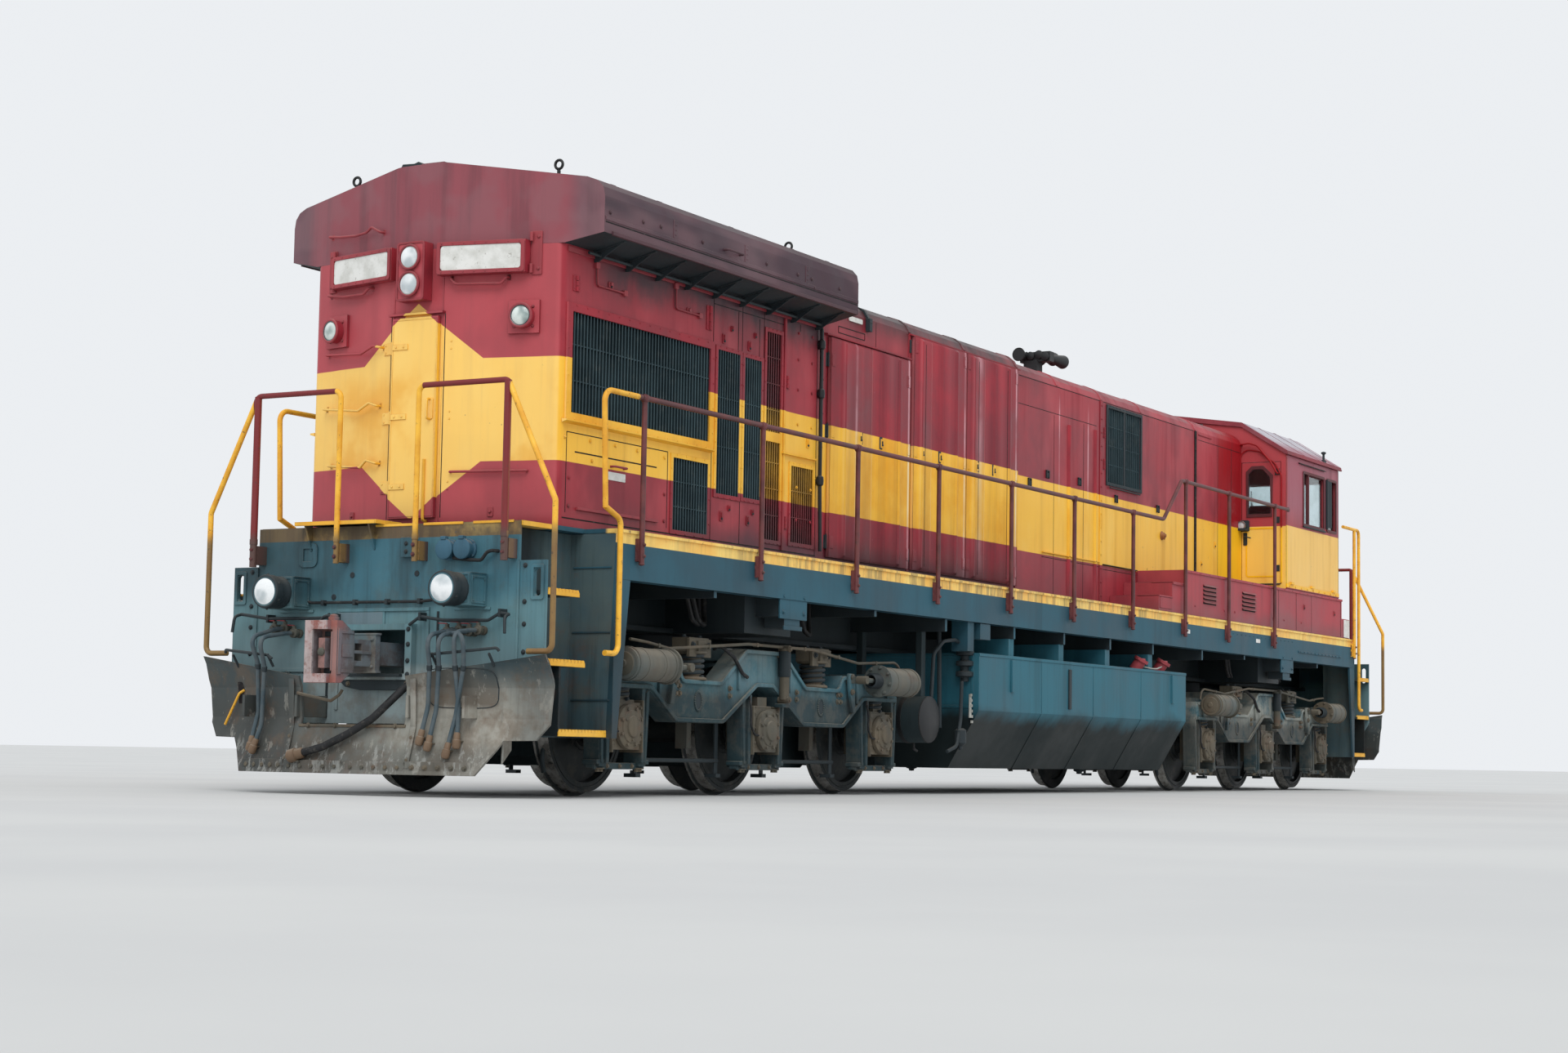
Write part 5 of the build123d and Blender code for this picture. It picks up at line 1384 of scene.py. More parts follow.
p.use("redfit")
grab(p, [(0.99, 4.307), (0.844, 4.288), (0.664, 4.276), (0.535, 4.285), (0.472, 4.319), (0.374, 4.271)])
grab(p, [(0.98, 3.841), (0.772, 3.812), (0.544, 3.808), (0.482, 3.853)])
grab(p, [(-0.297, 3.86), (-0.341, 3.811), (-0.706, 3.803), (-0.747, 3.853)])
for row in ([(0.981, 3.376), (0.554, 3.347), (0.413, 3.396), (0.332, 3.378)],
            [(0.992, 2.952), (0.566, 2.908), (0.44, 2.96), (0.359, 2.933)],
            [(0.917, 2.506), (0.524, 2.469), (0.456, 2.521), (0.35, 2.492)]):
    p.use("banded")
    grab(p, row)
p.use("redfit")
# headlamp casing: bezels and their screws
for z in (3.82, 4.025):
    p.torus((-9.500, 0, z), (1, 0, 0), 0.090, 0.010, 36, 8)
    for a in range(6):
        t = math.radians(30 + 60 * a)
        p.rivet((-9.506, 0.090 * math.cos(t), z + 0.090 * math.sin(t)), (-1, 0, 0), 0.006)
p.frame((-9.480, 0, 3.92), (0, 1, 0), (0, 0, -1), 0.262, 0.452, 0.006, 0.018, 0.03)
for s in (-1, 1):
    # number board: rim with screws, hinge bracket on its outer end
    yc = s * 0.565
    n = V(-1, SL * s, 0).normalized()
    uu = V(SL * s, 1, 0).normalized()
    c = V(-9.441 + (0.565 - 0.215) * 0.2186, yc, 4.003) + n * 0.001
    vv = V(0, 0, 1) if uu.cross(V(0, 0, 1)).dot(n) > 0 else V(0, 0, -1)
    p.use("redfit")
    p.frame(c, uu, vv, 0.712, 0.246, 0.013, 0.030, 0.022)
    for i in range(8):
        for dz in (-0.108, 0.108):
            p.rivet(c + uu * (-0.315 + 0.09 * i) + V(0, 0, dz) + n * 0.013, n, 0.006)
    p.use("white")
    p.plate(c + n * 0.001, uu, vv, 0.652, 0.190, 0.006, 0.030)
    p.use("redfit")
    p.plate(ef(s * 0.965, 4.03, 0.0), uu, vv, 0.085, 0.33, 0.012, 0.01)
    for dz in (-0.12, 0.12):
        q = ef(s * 0.93, 4.03 + dz, 0.03)
        p.cyl(q - V(0, 0, 0.035), q + V(0, 0, 0.035), 0.014, 10)
        p.bolt(ef(s * 0.98, 4.03 + dz, 0.012), n, 0.010, 0.010)
    # class light: bezel and bolts
    c = ef(s * 0.88, 3.55, 0.088)
    p.torus(c, n, 0.086, 0.011, 32, 8)
    for a in (45, 135, 225, 315):
        t = math.radians(a)
        p.bolt(ef(s * 0.88, 3.55, 0.025) + uu * 0.145 * math.cos(t) * 0.72 + V(0, 0, 0.104 * math.sin(t)), n, 0.009, 0.009)
    p.use("redfit")
    # drip strip above the door and small latches low on the face
    latch_c = ef(s * 0.65, 2.10, 0.0)
    p.plate(latch_c, uu, vv, 0.045, 0.075, 0.010, 0.010)
    p.cyl(latch_c + n * 0.01, latch_c + n * 0.024, 0.010, 8)
    # vertical gap beside the door and corner welds
    p.use("seam")
    q = ef(s * 0.252, 2.83, 0.0)
    p.obox(q, n * 0.0018, uu * 0.0035, V(0, 0, 0.77))
    p.use("banded")
    for z in (2.30, 2.83, 3.36):
        q = ef(s * 0.285, z, 0.006)
        if s > 0:
            p.plate(ef(s * 0.285, z, 0.0), uu, vv, 0.085, 0.09, 0.008, 0.008)
            p.cyl(ef(0.230, z - 0.05, 0.014), ef(0.230, z + 0.05, 0.014), 0.013, 10)
        for dz in (-0.028, 0.028):
            p.rivet(ef(s * 0.305, z + dz, 0.008 if s > 0 else 0.0), n, 0.008)
p.use("banded")
p.box(FX + SL * 0.24 - 0.040, FX + SL * 0.24, -0.255, 0.255, 3.600, 3.618)
p.use("redfit")
p.tube([ef(-0.33, 2.40, 0.0), ef(-0.33, 2.40, 0.03), ef(-0.93, 2.40, 0.03), ef(-0.93, 2.40, 0.0)], 0.010, 0.02, 8)
p.use("yellow")
p.tube([ef(-0.126, 2.50, 0.045), ef(-0.126, 2.045, 0.045), ef(-0.126, 2.035, 0.0)], 0.012, 0.02, 8)
# the fold from the flat centre into the sloping halves: a slim cover strip each side
for s in (-1, 1):
    p.use("banded")
    p.box(FX + SL * 0.24 - 0.004, FX + SL * 0.24 + 0.002, s * 0.222, s * 0.238, 2.02, 4.09)
p.done()

p = P("end_lamp_glass", ["lens", "chrome", "lens_dark"], slot="lamp_casing")
for z in (3.82, 4.025):
    p.use("chrome")
    p.lathe((-9.498, 0, z), (-1, 0, 0), [(0, 0.082), (0.004, 0.082), (0.006, 0.074), (0.003, 0.073)], 32, cap=False)
    p.use("lens")
    p.lathe((-9.500, 0, z), (-1, 0, 0), [(0, 0.075), (0.004, 0.074), (0.010, 0.056), (0.014, 0.030), (0.015, 0.0)], 32)
for s in (-1, 1):
    n = V(-1, SL * s, 0).normalized()
    c = ef(s * 0.88, 3.55, 0.086)
    p.use("lens_class")
    p.lathe(c, n, [(0, 0.070), (0.006, 0.069), (0.016, 0.054), (0.023, 0.030), (0.025, 0.0)], 28)
    p.use("lens_dark")
    p.torus(c + n * 0.002, n, 0.078, 0.0075, 28, 8)
    for k in range(8):
        f = math.radians(22.5 + 45 * k)
        q = c + eu(s * 0.88) * (0.079 * math.cos(f)) + V(0, 0, 0.079 * math.sin(f)) + n * 0.006
        p.rivet(q, n, 0.006)
p.done()

# end door: pressed border, centre stiffener, handle
p = P("radiator_end_door_skin", ["banded", "dark"], "radiator_end_door", "hood_paint", 0.002)
dx = -9.4038
p.use("banded")
p.frame((dx, 0, 2.82), (0, 1, 0), (0, 0, -1), 0.418, 1.50, 0.003, 0.010, 0.012)
for z in (2.30, 2.83, 3.36):
    p.box(dx - 0.007, dx, 0.06, 0.205, z - 0.022, z + 0.022)
    for y in (0.17, 0.10):
        p.rivet((dx - 0.007, y, z), (-1, 0, 0), 0.009)
p.plate((dx, -0.165, 2.88), (0, 1, 0), (0, 0, -1), 0.055, 0.16, 0.008, 0.012)
p.tube([(dx, -0.165, 2.95), (dx - 0.045, -0.165, 2.95), (dx - 0.045, -0.165, 2.80), (dx, -0.165, 2.80)], 0.009, 0.02, 8)
p.done()


# ------------------------------------------------------------------ engine hood, its doors
EY = 1.020
LEAF_Y = 1.058
PAIRS = ((-4.816, -4.046, -3.263, 4.045), (-3.188, -2.838, -2.058, 4.290), (-2.046, -1.660, -0.850, 4.290))
DZ0 = 2.085
LATCH_X = ((-4.27, -3.855), (-3.02, -2.645), (-1.835, -1.44))

for side, s in (("right", -1), ("left", 1)):
    for pi, (x0, xm, x1, z1) in enumerate(PAIRS):
        for li, (xh, xf) in enumerate(((x0 + 0.003, xm - 0.004), (x1 - 0.003, xm + 0.004))):
            node = "engine_door_%s_%d" % (side, pi * 2 + li + 1)
            p = P(node + "_skin", ["door", "dark"], node, "hood_paint", 0.0)
            d = 1 if xf > xh else -1
            W = abs(xf - xh)
            Y = LEAF_Y
            # folded outer sheet: flat edge, rounded fold, shallow valley towards the meeting edge
            prof = [(0.0, 0.0008), (0.012, 0.003), (0.16, 0.005)] if W > 0.5 else [(0.0, 0.0008), (0.012, 0.003), (0.05, 0.004)]
            a = 0.21 if W > 0.5 else 0.10
            prof += [(a, 0.010), (a + 0.014, 0.024), (a + 0.030, 0.029), (a + 0.050, 0.026), (a + 0.075, 0.016)]
            if W > 0.5:
                prof += [(W * 0.52, 0.014), (W - 0.20, 0.020), (W - 0.19, 0.010), (W - 0.02, 0.012), (W - 0.004, 0.010),
                         (W, 0.002)]
            else:
                prof += [(W - 0.02, 0.014), (W - 0.004, 0.011), (W, 0.002)]
            zs = (DZ0 + 0.004, DZ0 + 0.030, z1 - 0.030, z1 - 0.004)
            rings = []
            for z, k in zip(zs, (0.1, 1.0, 1.0, 0.1)):
                ring = [(xh + d * t, s * (Y + o * k), z) for t, o in prof]
                ring += [(xf, s * (Y - 0.003), z), (xh, s * (Y - 0.003), z)]
                rings.append(ring)
            p.use("door")
            p.loft(rings)
            # latch: recessed pull with its pin, and the row of fixing screws along the free edge
            lx = LATCH_X[pi][li]
            zl = 3.20
            base = Y + 0.014
            p.use("dark")
            p.plate((lx, s * (Y + 0.006), zl), (1, 0, 0), (0, 0, -s), 0.084, 0.112, 0.0095, 0.006)
            p.use("door")
            p.plate((lx, s * (Y + 0.006), zl - 0.004), (1, 0, 0), (0, 0, -s), 0.056, 0.082, 0.0125, 0.005)
            p.use("dark")
            p.box(lx - 0.006, lx + 0.006, s * (Y + 0.016), s * (Y + 0.026), zl - 0.022, zl + 0.018)
            p.cyl((lx, s * (Y + 0.014), zl - 0.020), (lx, s * (Y + 0.030), zl - 0.020), 0.008, 8)
            # fold lines pressed into the sheet, with a row of fixing screws along the free edge
            for f in ((0.36, 0.70) if W > 0.5 else (0.62,)):
                q = xh + d * W * f
                p.use("seam")
                p.box(q - 0.0028, q + 0.0028, s * (Y + 0.006), s * (Y + (0.0178 if W > 0.5 else 0.0168)), DZ0 + 0.05, z1 - 0.05)
            p.use("door")
            for z in (2.30, 2.75, 3.65, z1 - 0.20):
                p.rivet((xf - d * 0.030, s * (Y + 0.010), z), (0, s, 0), 0.007)
            # hinge leaves on the door, kept at the hinge line
            for z in (2.22, 3.205, z1 - 0.10 if pi else 3.84):
                p.use("door")
                p.box(xh + d * 0.012, xh + d * 0.070, s * (Y + 0.001), s * (Y + 0.0075), z - 0.055, z + 0.055)
                for dz in (-0.035, 0.035):
                    p.rivet((xh + d * 0.045, s * (Y + 0.0075), z + dz), (0, s, 0), 0.006)
            p.done()

    p = P("engine_hood_trim_" + side, ["banded", "seam", "dark"], slot="hood_paint", bevel=0.002)
    for pi, (x0, xm, x1, z1) in enumerate(PAIRS):
        # hinge barrels on the hood, just outside each pair, standing on their own leaves
        for xh, d in ((x0 - 0.012, -1), (x1 + 0.012, 1)):
            if pi == 1 and d > 0:
                continue
            w = 0.034 if (pi == 0 and d > 0) or (pi == 1 and d < 0) else 0.045
            if pi == 1 and d < 0:
                continue
            for z in (2.22, 3.205, z1 - 0.10 if pi else 3.84):
                p.use("dark")
                p.box(xh, xh + d * w, s * (EY - 0.001), s * (EY + 0.010), z - 0.06, z + 0.06)
                p.cyl((xh, s * (EY + 0.016), z - 0.062), (xh, s * (EY + 0.016), z + 0.062), 0.010, 10)
                p.cyl((xh, s * (EY + 0.016), z + 0.062), (xh, s * (EY + 0.016), z + 0.072), 0.006, 8)
    for z in (2.22, 3.205, 4.19):
        p.use("dark")
        p.cyl((-2.052, s * (EY + 0.004), z - 0.062), (-2.052, s * (EY + 0.004), z + 0.062), 0.005, 8)
        p.cyl((-3.226, s * (EY + 0.012), z - 0.062), (-3.226, s * (EY + 0.012), z + 0.062), 0.010, 10)
    p.use("banded")
    # posts between the pairs, drip strips above
    p.box(-5.215, -4.865, s * EY, s * (EY + 0.012), 2.06, 4.20)
    p.box(-3.250, -3.202, s * EY, s * (EY + 0.006), 2.06, 4.30)
    p.box(-0.838, -0.792, s * EY, s * (EY + 0.010), 2.06, 4.30)
    p.prism([(s * EY, 4.056), (s * (EY + 0.048), 4.052), (s * (EY + 0.050), 4.066), (s * EY, 4.076)], "x", -4.90, -3.24)
    p.prism([(s * EY, 4.296), (s * (EY + 0.034), 4.292), (s * (EY + 0.036), 4.304), (s * (EY - 0.003), 4.318)], "x", -3.24, -0.79)
    p.box(-4.86, -0.80, s * EY, s * (EY + 0.020), 2.040, 2.066)
    seam(p, s, EY, -5.215, 4.19, -4.87, 4.19)
    seam(p, s, EY, -3.9, 4.08, -3.9, 4.31)
    for z in (2.15, 2.45, 2.75, 3.05, 3.35, 3.65, 3.95):
        p.use("banded")
        p.rivet((-4.90, s * (EY + 0.012), z), (0, s, 0), 0.008)
        p.rivet((-5.18, s * (EY + 0.012), z), (0, s, 0), 0.008)
        p.bolt((-0.815, s * (EY + 0.010), z), (0, s, 0), 0.009, 0.008)
    p.use("seam")
    for z in (4.115, 4.173):
        p.box(-4.62, -4.12, s * (EY - 0.001), s * (EY + 0.003), z - 0.004, z + 0.004)
    for x in (-4.62, -4.12):
        p.box(x - 0.004, x + 0.004, s * (EY - 0.001), s * (EY + 0.003), 4.115, 4.173)
    p.use("white")
    p.plate((-4.31, s * (EY + 0.001), 4.272), (1, 0, 0), (0, 0, -s), 0.25, 0.045, 0.012, 0.01)
    p.use("dark")
    p.box(-4.105, -4.055, s * (EY - 0.001), s * (EY + 0.045), 4.20, 4.32)
    p.prism([(s * EY, 4.28), (s * (EY + 0.05), 4.28), (s * (EY - 0.02), 4.40), (s * (EY - 0.10), 4.44), (s * (EY - 0.10), 4.42)],
            "x", -4.10, -4.06)
    p.done()

# roof sheets of the engine hood: laps, exhaust, hatches
ENG_SEC = [(0, 4.505), (0.620, 4.495), (0.800, 4.480), (0.915, 4.440), (0.985, 4.385), (1.020, 4.320)]
CON_SEC = [(0, 4.500), (0.560, 4.485), (0.720, 4.465), (0.830, 4.420), (0.890, 4.365), (0.920, 4.300)]


def lap(p, sec, x, w=0.05, t=0.007):
    """Cover strip that follows the roof's section from eave to eave."""
    pts = [(-y, z) for y, z in reversed(sec[1:])] + sec
    n = len(pts)
    rings = []
    for xx, k in ((x - w / 2, 0.0), (x - w / 2 + 0.004, 1.0), (x + w / 2 - 0.004, 1.0), (x + w / 2, 0.0)):
        up = []
        for i, (y, z) in enumerate(pts):
            a, b = pts[max(i - 1, 0)], pts[min(i + 1, n - 1)]
            d = Vector((b[0] - a[0], b[1] - a[1])).normalized()
            nn = Vector((-d.y, d.x))
            if nn.y < 0 and abs(y) < 0.9:
                nn = -nn
            up.append((xx, y + nn.x * t * k, z + nn.y * t * k))
        rings.append(up + [(xx, y * 0.999, z - 0.004) for y, z in reversed(pts)])
    p.loft(rings)


p = P("engine_hood_roof_fittings", ["hood", "dark", "seam", "blackpipe"], slot="hood_paint", bevel=0.0025)
p.use("hood")
for x in (-4.40, -3.225, -2.05, -0.82):
    lap(p, ENG_SEC, x, 0.055)
    for y in (-0.55, -0.35, -0.15, 0.15, 0.35, 0.55):
        p.rivet((x, y, 4.505 - abs(y) * 0.0162 + 0.005), (0, 0, 1), 0.009)
# exhaust stack: flanged oval outlet with a rain lip
p.use("blackpipe")
for w, h, z0, z1 in ((0.62, 0.40, 4.494, 4.520), (0.50, 0.28, 4.515, 4.640)):
    p.frame((-3.95, 0, z0), (1, 0, 0), (0, 1, 0), w, h, z1 - z0, 0.045 if w > 0.55 else 0.022, 0.10)
for i in range(10):
    a = 2 * math.pi * i / 10
    p.bolt((-3.95 + 0.285 * math.cos(a), 0.175 * math.sin(a), 4.520), (0, 0, 1), 0.012, 0.014)
p.use("dark")
p.plate((-3.95, 0, 4.497), (1, 0, 0), (0, 1, 0), 0.47, 0.25, 0.004, 0.09)
# hinged roof hatches with lifting handles
for x0, x1 in ((-3.05, -2.20), (-1.90, -0.98)):
    p.use("hood")
    p.plate(((x0 + x1) / 2, 0, 4.500), (1, 0, 0), (0, 1, 0), x1 - x0, 1.02, 0.020, 0.04)
    p.frame(((x0 + x1) / 2, 0, 4.520), (1, 0, 0), (0, 1, 0), x1 - x0 - 0.06, 0.96, 0.006, 0.03, 0.03)
    for y in (-0.38, 0.38):
        p.tube([(x0 + 0.25, y, 4.52), (x0 + 0.25, y, 4.555), (x0 + 0.45, y, 4.555), (x0 + 0.45, y, 4.52)], 0.009, 0.02, 8)
    p.use("dark")
    for x in (x0 + 0.12, x1 - 0.12):
        p.cyl((x - 0.05, 0.525, 4.512), (x + 0.05, 0.525, 4.512), 0.012, 10)
        p.plate((x, -0.52, 4.505), (1, 0, 0), (0, 1, 0), 0.06, 0.09, 0.022, 0.01)
p.done()

# ------------------------------------------------------------------ control hood
CY = 0.920
for side, s in (("right", -1), ("left", 1)):
    p = P("control_hood_fittings_" + side, ["banded", "seam", "dark"], slot="hood_paint", bevel=0.002)
    # joints between roof and wall, and the lower seam of the first compartment
    seam(p, s, CY, -0.72, 4.290, 4.45, 4.290, 0.008)
    seam(p, s, CY, -0.72, 4.000, 1.50, 4.000)
    for x, z0, z1 in ((-0.735, 2.02, 4.30), (1.149, 2.05, 3.98), (0.36, 2.05, 3.98), (3.0, 2.5, 2.54)):
        seam(p, s, CY, x, z0, x, z1)
    # folded stiffeners
    for x, z1 in ((0.755, 3.92), (1.475, 3.95), (-0.66, 3.98)):
        p.use("banded")
        p.prism([(x - 0.040, s * CY), (x - 0.014, s * (CY + 0.022)), (x + 0.010, s * (CY + 0.022)), (x + 0.034, s * CY)],
                "z", 2.06, z1)
    # bolted strip at the compartment joint
    p.box(1.590, 1.665, s * CY, s * (CY + 0.009), 2.06, 4.295)
    for k in range(15):
        p.bolt((1.628, s * (CY + 0.009), 2.14 + 0.15 * k), (0, s, 0), 0.009, 0.008)
    for x, z in ((-0.273, 3.20), (0.181, 3.328), (1.024, 3.333), (2.052, 3.242), (3.30, 3.242)):
        p.use("dark")
        p.box(x - 0.034, x - 0.024, s * CY, s * (CY + 0.020), z - 0.04, z + 0.045)
        p.box(x + 0.024, x + 0.034, s * CY, s * (CY + 0.020), z - 0.04, z + 0.045)
        p.box(x - 0.034, x + 0.034, s * CY, s * (CY + 0.018), z + 0.035, z + 0.047)
        p.box(x - 0.012, x + 0.012, s * CY, s * (CY + 0.016), z - 0.03, z + 0.02)
    for z in (2.176, 3.10, 3.80):
        hinge(p, s, -0.62, CY, z, 0.11)
    for z in (3.60, 3.95):
        hinge(p, s, 1.70, CY, z, 0.12, leaf=0.03)
    # wide filter opening: frame, two panes of slats
    gx0, gx1, gz0, gz1 = 1.795, 2.775, 3.40, 4.25
    p.use("dark")
    p.frame(((gx0 + gx1) / 2, s * (CY - 0.001), (gz0 + gz1) / 2), (1, 0, 0), (0, 0, -s), gx1 - gx0 + 0.05,
            gz1 - gz0 + 0.05, 0.016, 0.036, 0.004)
    p.box((gx0 + gx1) / 2 - 0.018, (gx0 + gx1) / 2 + 0.018, s * (CY - 0.02), s * (CY + 0.012), gz0, gz1)
    for i in range(10):
        p.rivet((gx0 + 0.05 + 0.0975 * i, s * (CY + 0.015), gz0 - 0.012), (0, s, 0), 0.007)
        p.rivet((gx0 + 0.05 + 0.0975 * i, s * (CY + 0.015), gz1 + 0.012), (0, s, 0), 0.007)
    p.use("slat")
    for q in range(2):
        a = gx0 + 0.008 + q * (gx1 - gx0) / 2
        n = 11
        for i in range(n):
            x = a + (i + 0.5) * ((gx1 - gx0) / 2 - 0.016) / n
            p.prism([(x - 0.006, s * (CY + 0.002)), (x + 0.006, s * (CY + 0.002)), (x + 0.014, s * (CY - 0.019)),
                     (x + 0.004, s * (CY - 0.019))], "z", gz0, gz1)
        for i in (1, 2, 3):
            z = gz0 + (gz1 - gz0) * i / 4
            p.box(a, a + (gx1 - gx0) / 2 - 0.016, s * (CY - 0.014), s * (CY - 0.004), z - 0.004, z + 0.004)
    p.use("dark")
    p.tube([(gx0 + 0.05, s * (CY + 0.02), gz0 - 0.045), (gx1 - 0.05, s * (CY + 0.02), gz0 - 0.045)], 0.008, 0, 8)
    # round plug with its chain eye
    p.use("brass")
    p.lathe((3.439, s * CY, 2.948), (0, s, 0), [(0, 0.052), (0.010, 0.052), (0.014, 0.040), (0.035, 0.036), (0.040, 0.022),
                                               (0.055, 0.020), (0.058, 0.0)], 20)
    p.torus((3.50, s * (CY + 0.012), 2.93), (0, s, 0), 0.020, 0.005, 16, 6)
    # drip strip that follows the raised walkway
    p.use("banded")
    for x0, x1, z in ((0.06, 1.58, 2.505), (1.68, 2.66, 2.486)):
        p.box(x0, x1, s * CY, s * (CY + 0.022), z - 0.006, z + 0.006)
        seam(p, s, CY, x0, z - 0.05, x1, z - 0.05)
    # full-height joint near the cab
    p.box(4.480, 4.545, s * CY, s * (CY + 0.009), 2.49, 4.295)
    for k in range(12):
        p.bolt((4.512, s * (CY + 0.009), 2.56 + 0.15 * k), (0, s, 0), 0.008, 0.008)
    for x in (5.28, 5.75):
        seam(p, s, CY, x, 2.49, x, 4.22)
    seam(p, s, CY, 4.6, 4.20, 6.05, 4.20)
    latch(p, s, 5.18, CY, 2.98)
    latch(p, s, 4.72, CY, 2.72, 0.04, 0.06)
    p.use("banded")
    p.tube([(4.62, s * (CY + 0.001), 4.262), (5.05, s * (CY + 0.001), 4.262)], 0.010, 0, 8)
    p.done()

p = P("control_hood_roof_fittings", ["hood", "dark", "seam"], slot="hood_paint", bevel=0.0025)
p.use("hood")
for x in (0.42, 1.628, 2.79, 4.51):
    lap(p, CON_SEC, x, 0.06)
for x0, x1 in ((-0.42, 0.28), (2.95, 3.75)):
    p.use("hood")
    p.plate(((x0 + x1) / 2, 0, 4.497), (1, 0, 0), (0, 1, 0), x1 - x0, 0.80, 0.018, 0.04)
    p.use("dark")
    for y in (-0.405, 0.405):
        p.plate(((x0 + x1) / 2, y, 4.50), (1, 0, 0), (0, 1, 0), 0.07, 0.07, 0.022, 0.01)
# low ventilator caps by the joint
for x, y in ((4.15, 0.30), (4.15, -0.30), (5.2, 0.0)):
    p.use("hood")
    p.lathe((x, y, 4.485), (0, 0, 1), [(0, 0.13), (0.040, 0.13), (0.046, 0.16), (0.060, 0.155), (0.080, 0.09), (0.086, 0.0)], 28)
p.use("dark")
p.box(5.56, 5.62, -0.60, -0.54, 4.47, 4.52)
p.done()


# ------------------------------------------------------------------ cab
CBY = 1.500
for side, s in (("right", -1), ("left", 1)):
    p = P("cab_side_fittings_" + side, ["banded", "seam", "winframe", "seal", "dark"], slot="hood_paint", bevel=0.002)
    for x0, x1, z0, z1, mull in ((6.776, 7.600, 3.340, 4.010, 6.985), (7.720, 8.090, 3.340, 4.010, None)):
        p.use("winframe")
        p.frame(((x0 + x1) / 2, s * (CBY - 0.004), (z0 + z1) / 2), (1, 0, 0), (0, 0, -s), x1 - x0 + 0.03, z1 - z0 + 0.03,
                0.014, 0.034, 0.03)
        if mull:
            p.box(mull - 0.016, mull + 0.016, s * 1.462, s * (CBY + 0.006), z0, z1)
            p.use("dark")
            p.box(x0 - 0.02, x1 + 0.03, s * CBY, s * (CBY + 0.022), z0 - 0.030, z0 - 0.012)
            # armrest and sliding sash rail
            p.use("winframe")
            p.box(mull, x1, s * 1.455, s * 1.480, z0, z0 + 0.03)
            p.box(mull, x1, s * 1.455, s * 1.480, z1 - 0.03, z1)
    # wind deflector on its hinge
    p.use("dark")
    p.box(7.665, 7.690, s * CBY, s * (CBY + 0.030), 3.36, 4.00)
    p.obox((7.74, s * (CBY + 0.028), 3.68), (0.055, s * 0.012, 0), (0, 0.003, 0), (0, 0, 0.30))
    # rain strip, antenna foot, eave fold
    p.use("seal")
    p.prism([(s * (CBY - 0.002), 4.100), (s * (CBY + 0.022), 4.094), (s * (CBY + 0.022), 4.104), (s * (CBY - 0.002), 4.116)], "x",
            6.60, 7.62)
    p.use("dark")
    p.box(7.54, 7.64, s * 1.49, s * 1.52, 4.215, 4.245)
    p.cyl((7.59, s * 1.50, 4.24), (7.59, s * 1.50, 4.33), 0.016, 10)
    p.lathe((7.59, s * 1.50, 4.32), (0, 0, 1), [(0, 0.018), (0.015, 0.034), (0.03, 0.03), (0.04, 0.0)], 14)
    # joints in the lower walls, latches, blank plate
    for x, z0, z1 in ((6.506, 2.0, 2.49), (8.28, 2.0, 2.49), (8.19, 2.52, 4.14), (6.135, 2.52, 4.14)):
        seam(p, s, CBY, x, z0, x, z1)
    for x, z in ((6.807, 2.306), (8.008, 2.291)):
        latch(p, s, x, CBY, z, 0.045, 0.07, "redfit")
    # notched strip below the band and its bolts
    p.use("banded")
    p.box(6.13, 8.19, s * CBY, s * (CBY + 0.010), 2.500, 2.560)
    for k in range(9):
        p.bolt((6.22 + 0.23 * k, s * (CBY + 0.010), 2.530), (0, s, 0), 0.010, 0.009)
    for x in (6.30, 7.10, 7.95):
        p.box(x - 0.05, x + 0.05, s * CBY, s * (CBY + 0.030), 2.555, 2.585)
    p.use("white")
    p.plate((8.52, s * 1.500, 2.115), (1, 0, 0), (0, 0, -s), 0.22, 0.23, 0.006, 0.01)
    # roof edge: folded lip and drip channel
    p.use("cabroof")
    p.box(6.095, 8.24, s * 1.519, s * 1.534, 4.164, 4.190)
    p.done()

p = P("cab_roof_fittings", ["cabroof", "dark"], slot="roof_paint", bevel=0.002)
p.use("cabroof")
for x in (6.75, 7.35, 7.95):
    for s in (-1, 1):
        p.prism([(0, 4.7195), (s * 0.930, 4.5875), (s * 1.520, 4.2145), (s * 1.520, 4.2215), (s * 0.930, 4.5950), (0, 4.7270)],
                "x", x - 0.02, x + 0.02)
p.use("dark")
p.lathe((7.2, 0.0, 4.700), (0, 0, 1), [(0, 0.10), (0.03, 0.10), (0.034, 0.085), (0.060, 0.06), (0.072, 0.0)], 24)
p.done()

# rear wall of the cab (right and left of the hood) and front wall
p = P("cab_end_wall_fittings", ["banded", "seal", "dark", "seam"], slot="hood_paint", bevel=0.002)
X = 6.117
for s in (-1, 1):
    p.use("banded")
    p.box(X - 0.014, X, s * 0.925, s * 0.955, 2.50, 4.50 - 0.02) if s > 0 else None
    p.use("seam")
    p.box(X - 0.003, X + 0.001, s * 0.900, s * 0.912, 2.50, 4.30)
# curved door head and grab rail over the rear door
p.use("banded")
p.tube([(X - 0.010, -0.915, 2.57), (X - 0.010, -0.915, 4.18), (X - 0.010, -1.00, 4.245), (X - 0.010, -1.16, 4.215),
        (X - 0.010, -1.36, 4.06), (X - 0.010, -1.445, 3.90), (X - 0.010, -1.445, 2.57)], 0.010, 0.10, 8)
p.tube([(X, -0.93, 4.300), (X - 0.055, -0.935, 4.305), (X - 0.055, -1.041, 4.318), (X - 0.055, -1.143, 4.285),
        (X - 0.055, -1.312, 4.085), (X - 0.055, -1.400, 3.93), (X, -1.400, 3.93)], 0.013, 0.07, 8)
p.use("dark")
p.box(X - 0.12, X, -1.02, -0.88, 3.22, 3.25)
p.plate((X, -0.95, 3.285), (0, 1, 0), (0, 0, -1), 0.16, 0.14, 0.03, 0.02)
p.use("chrome")
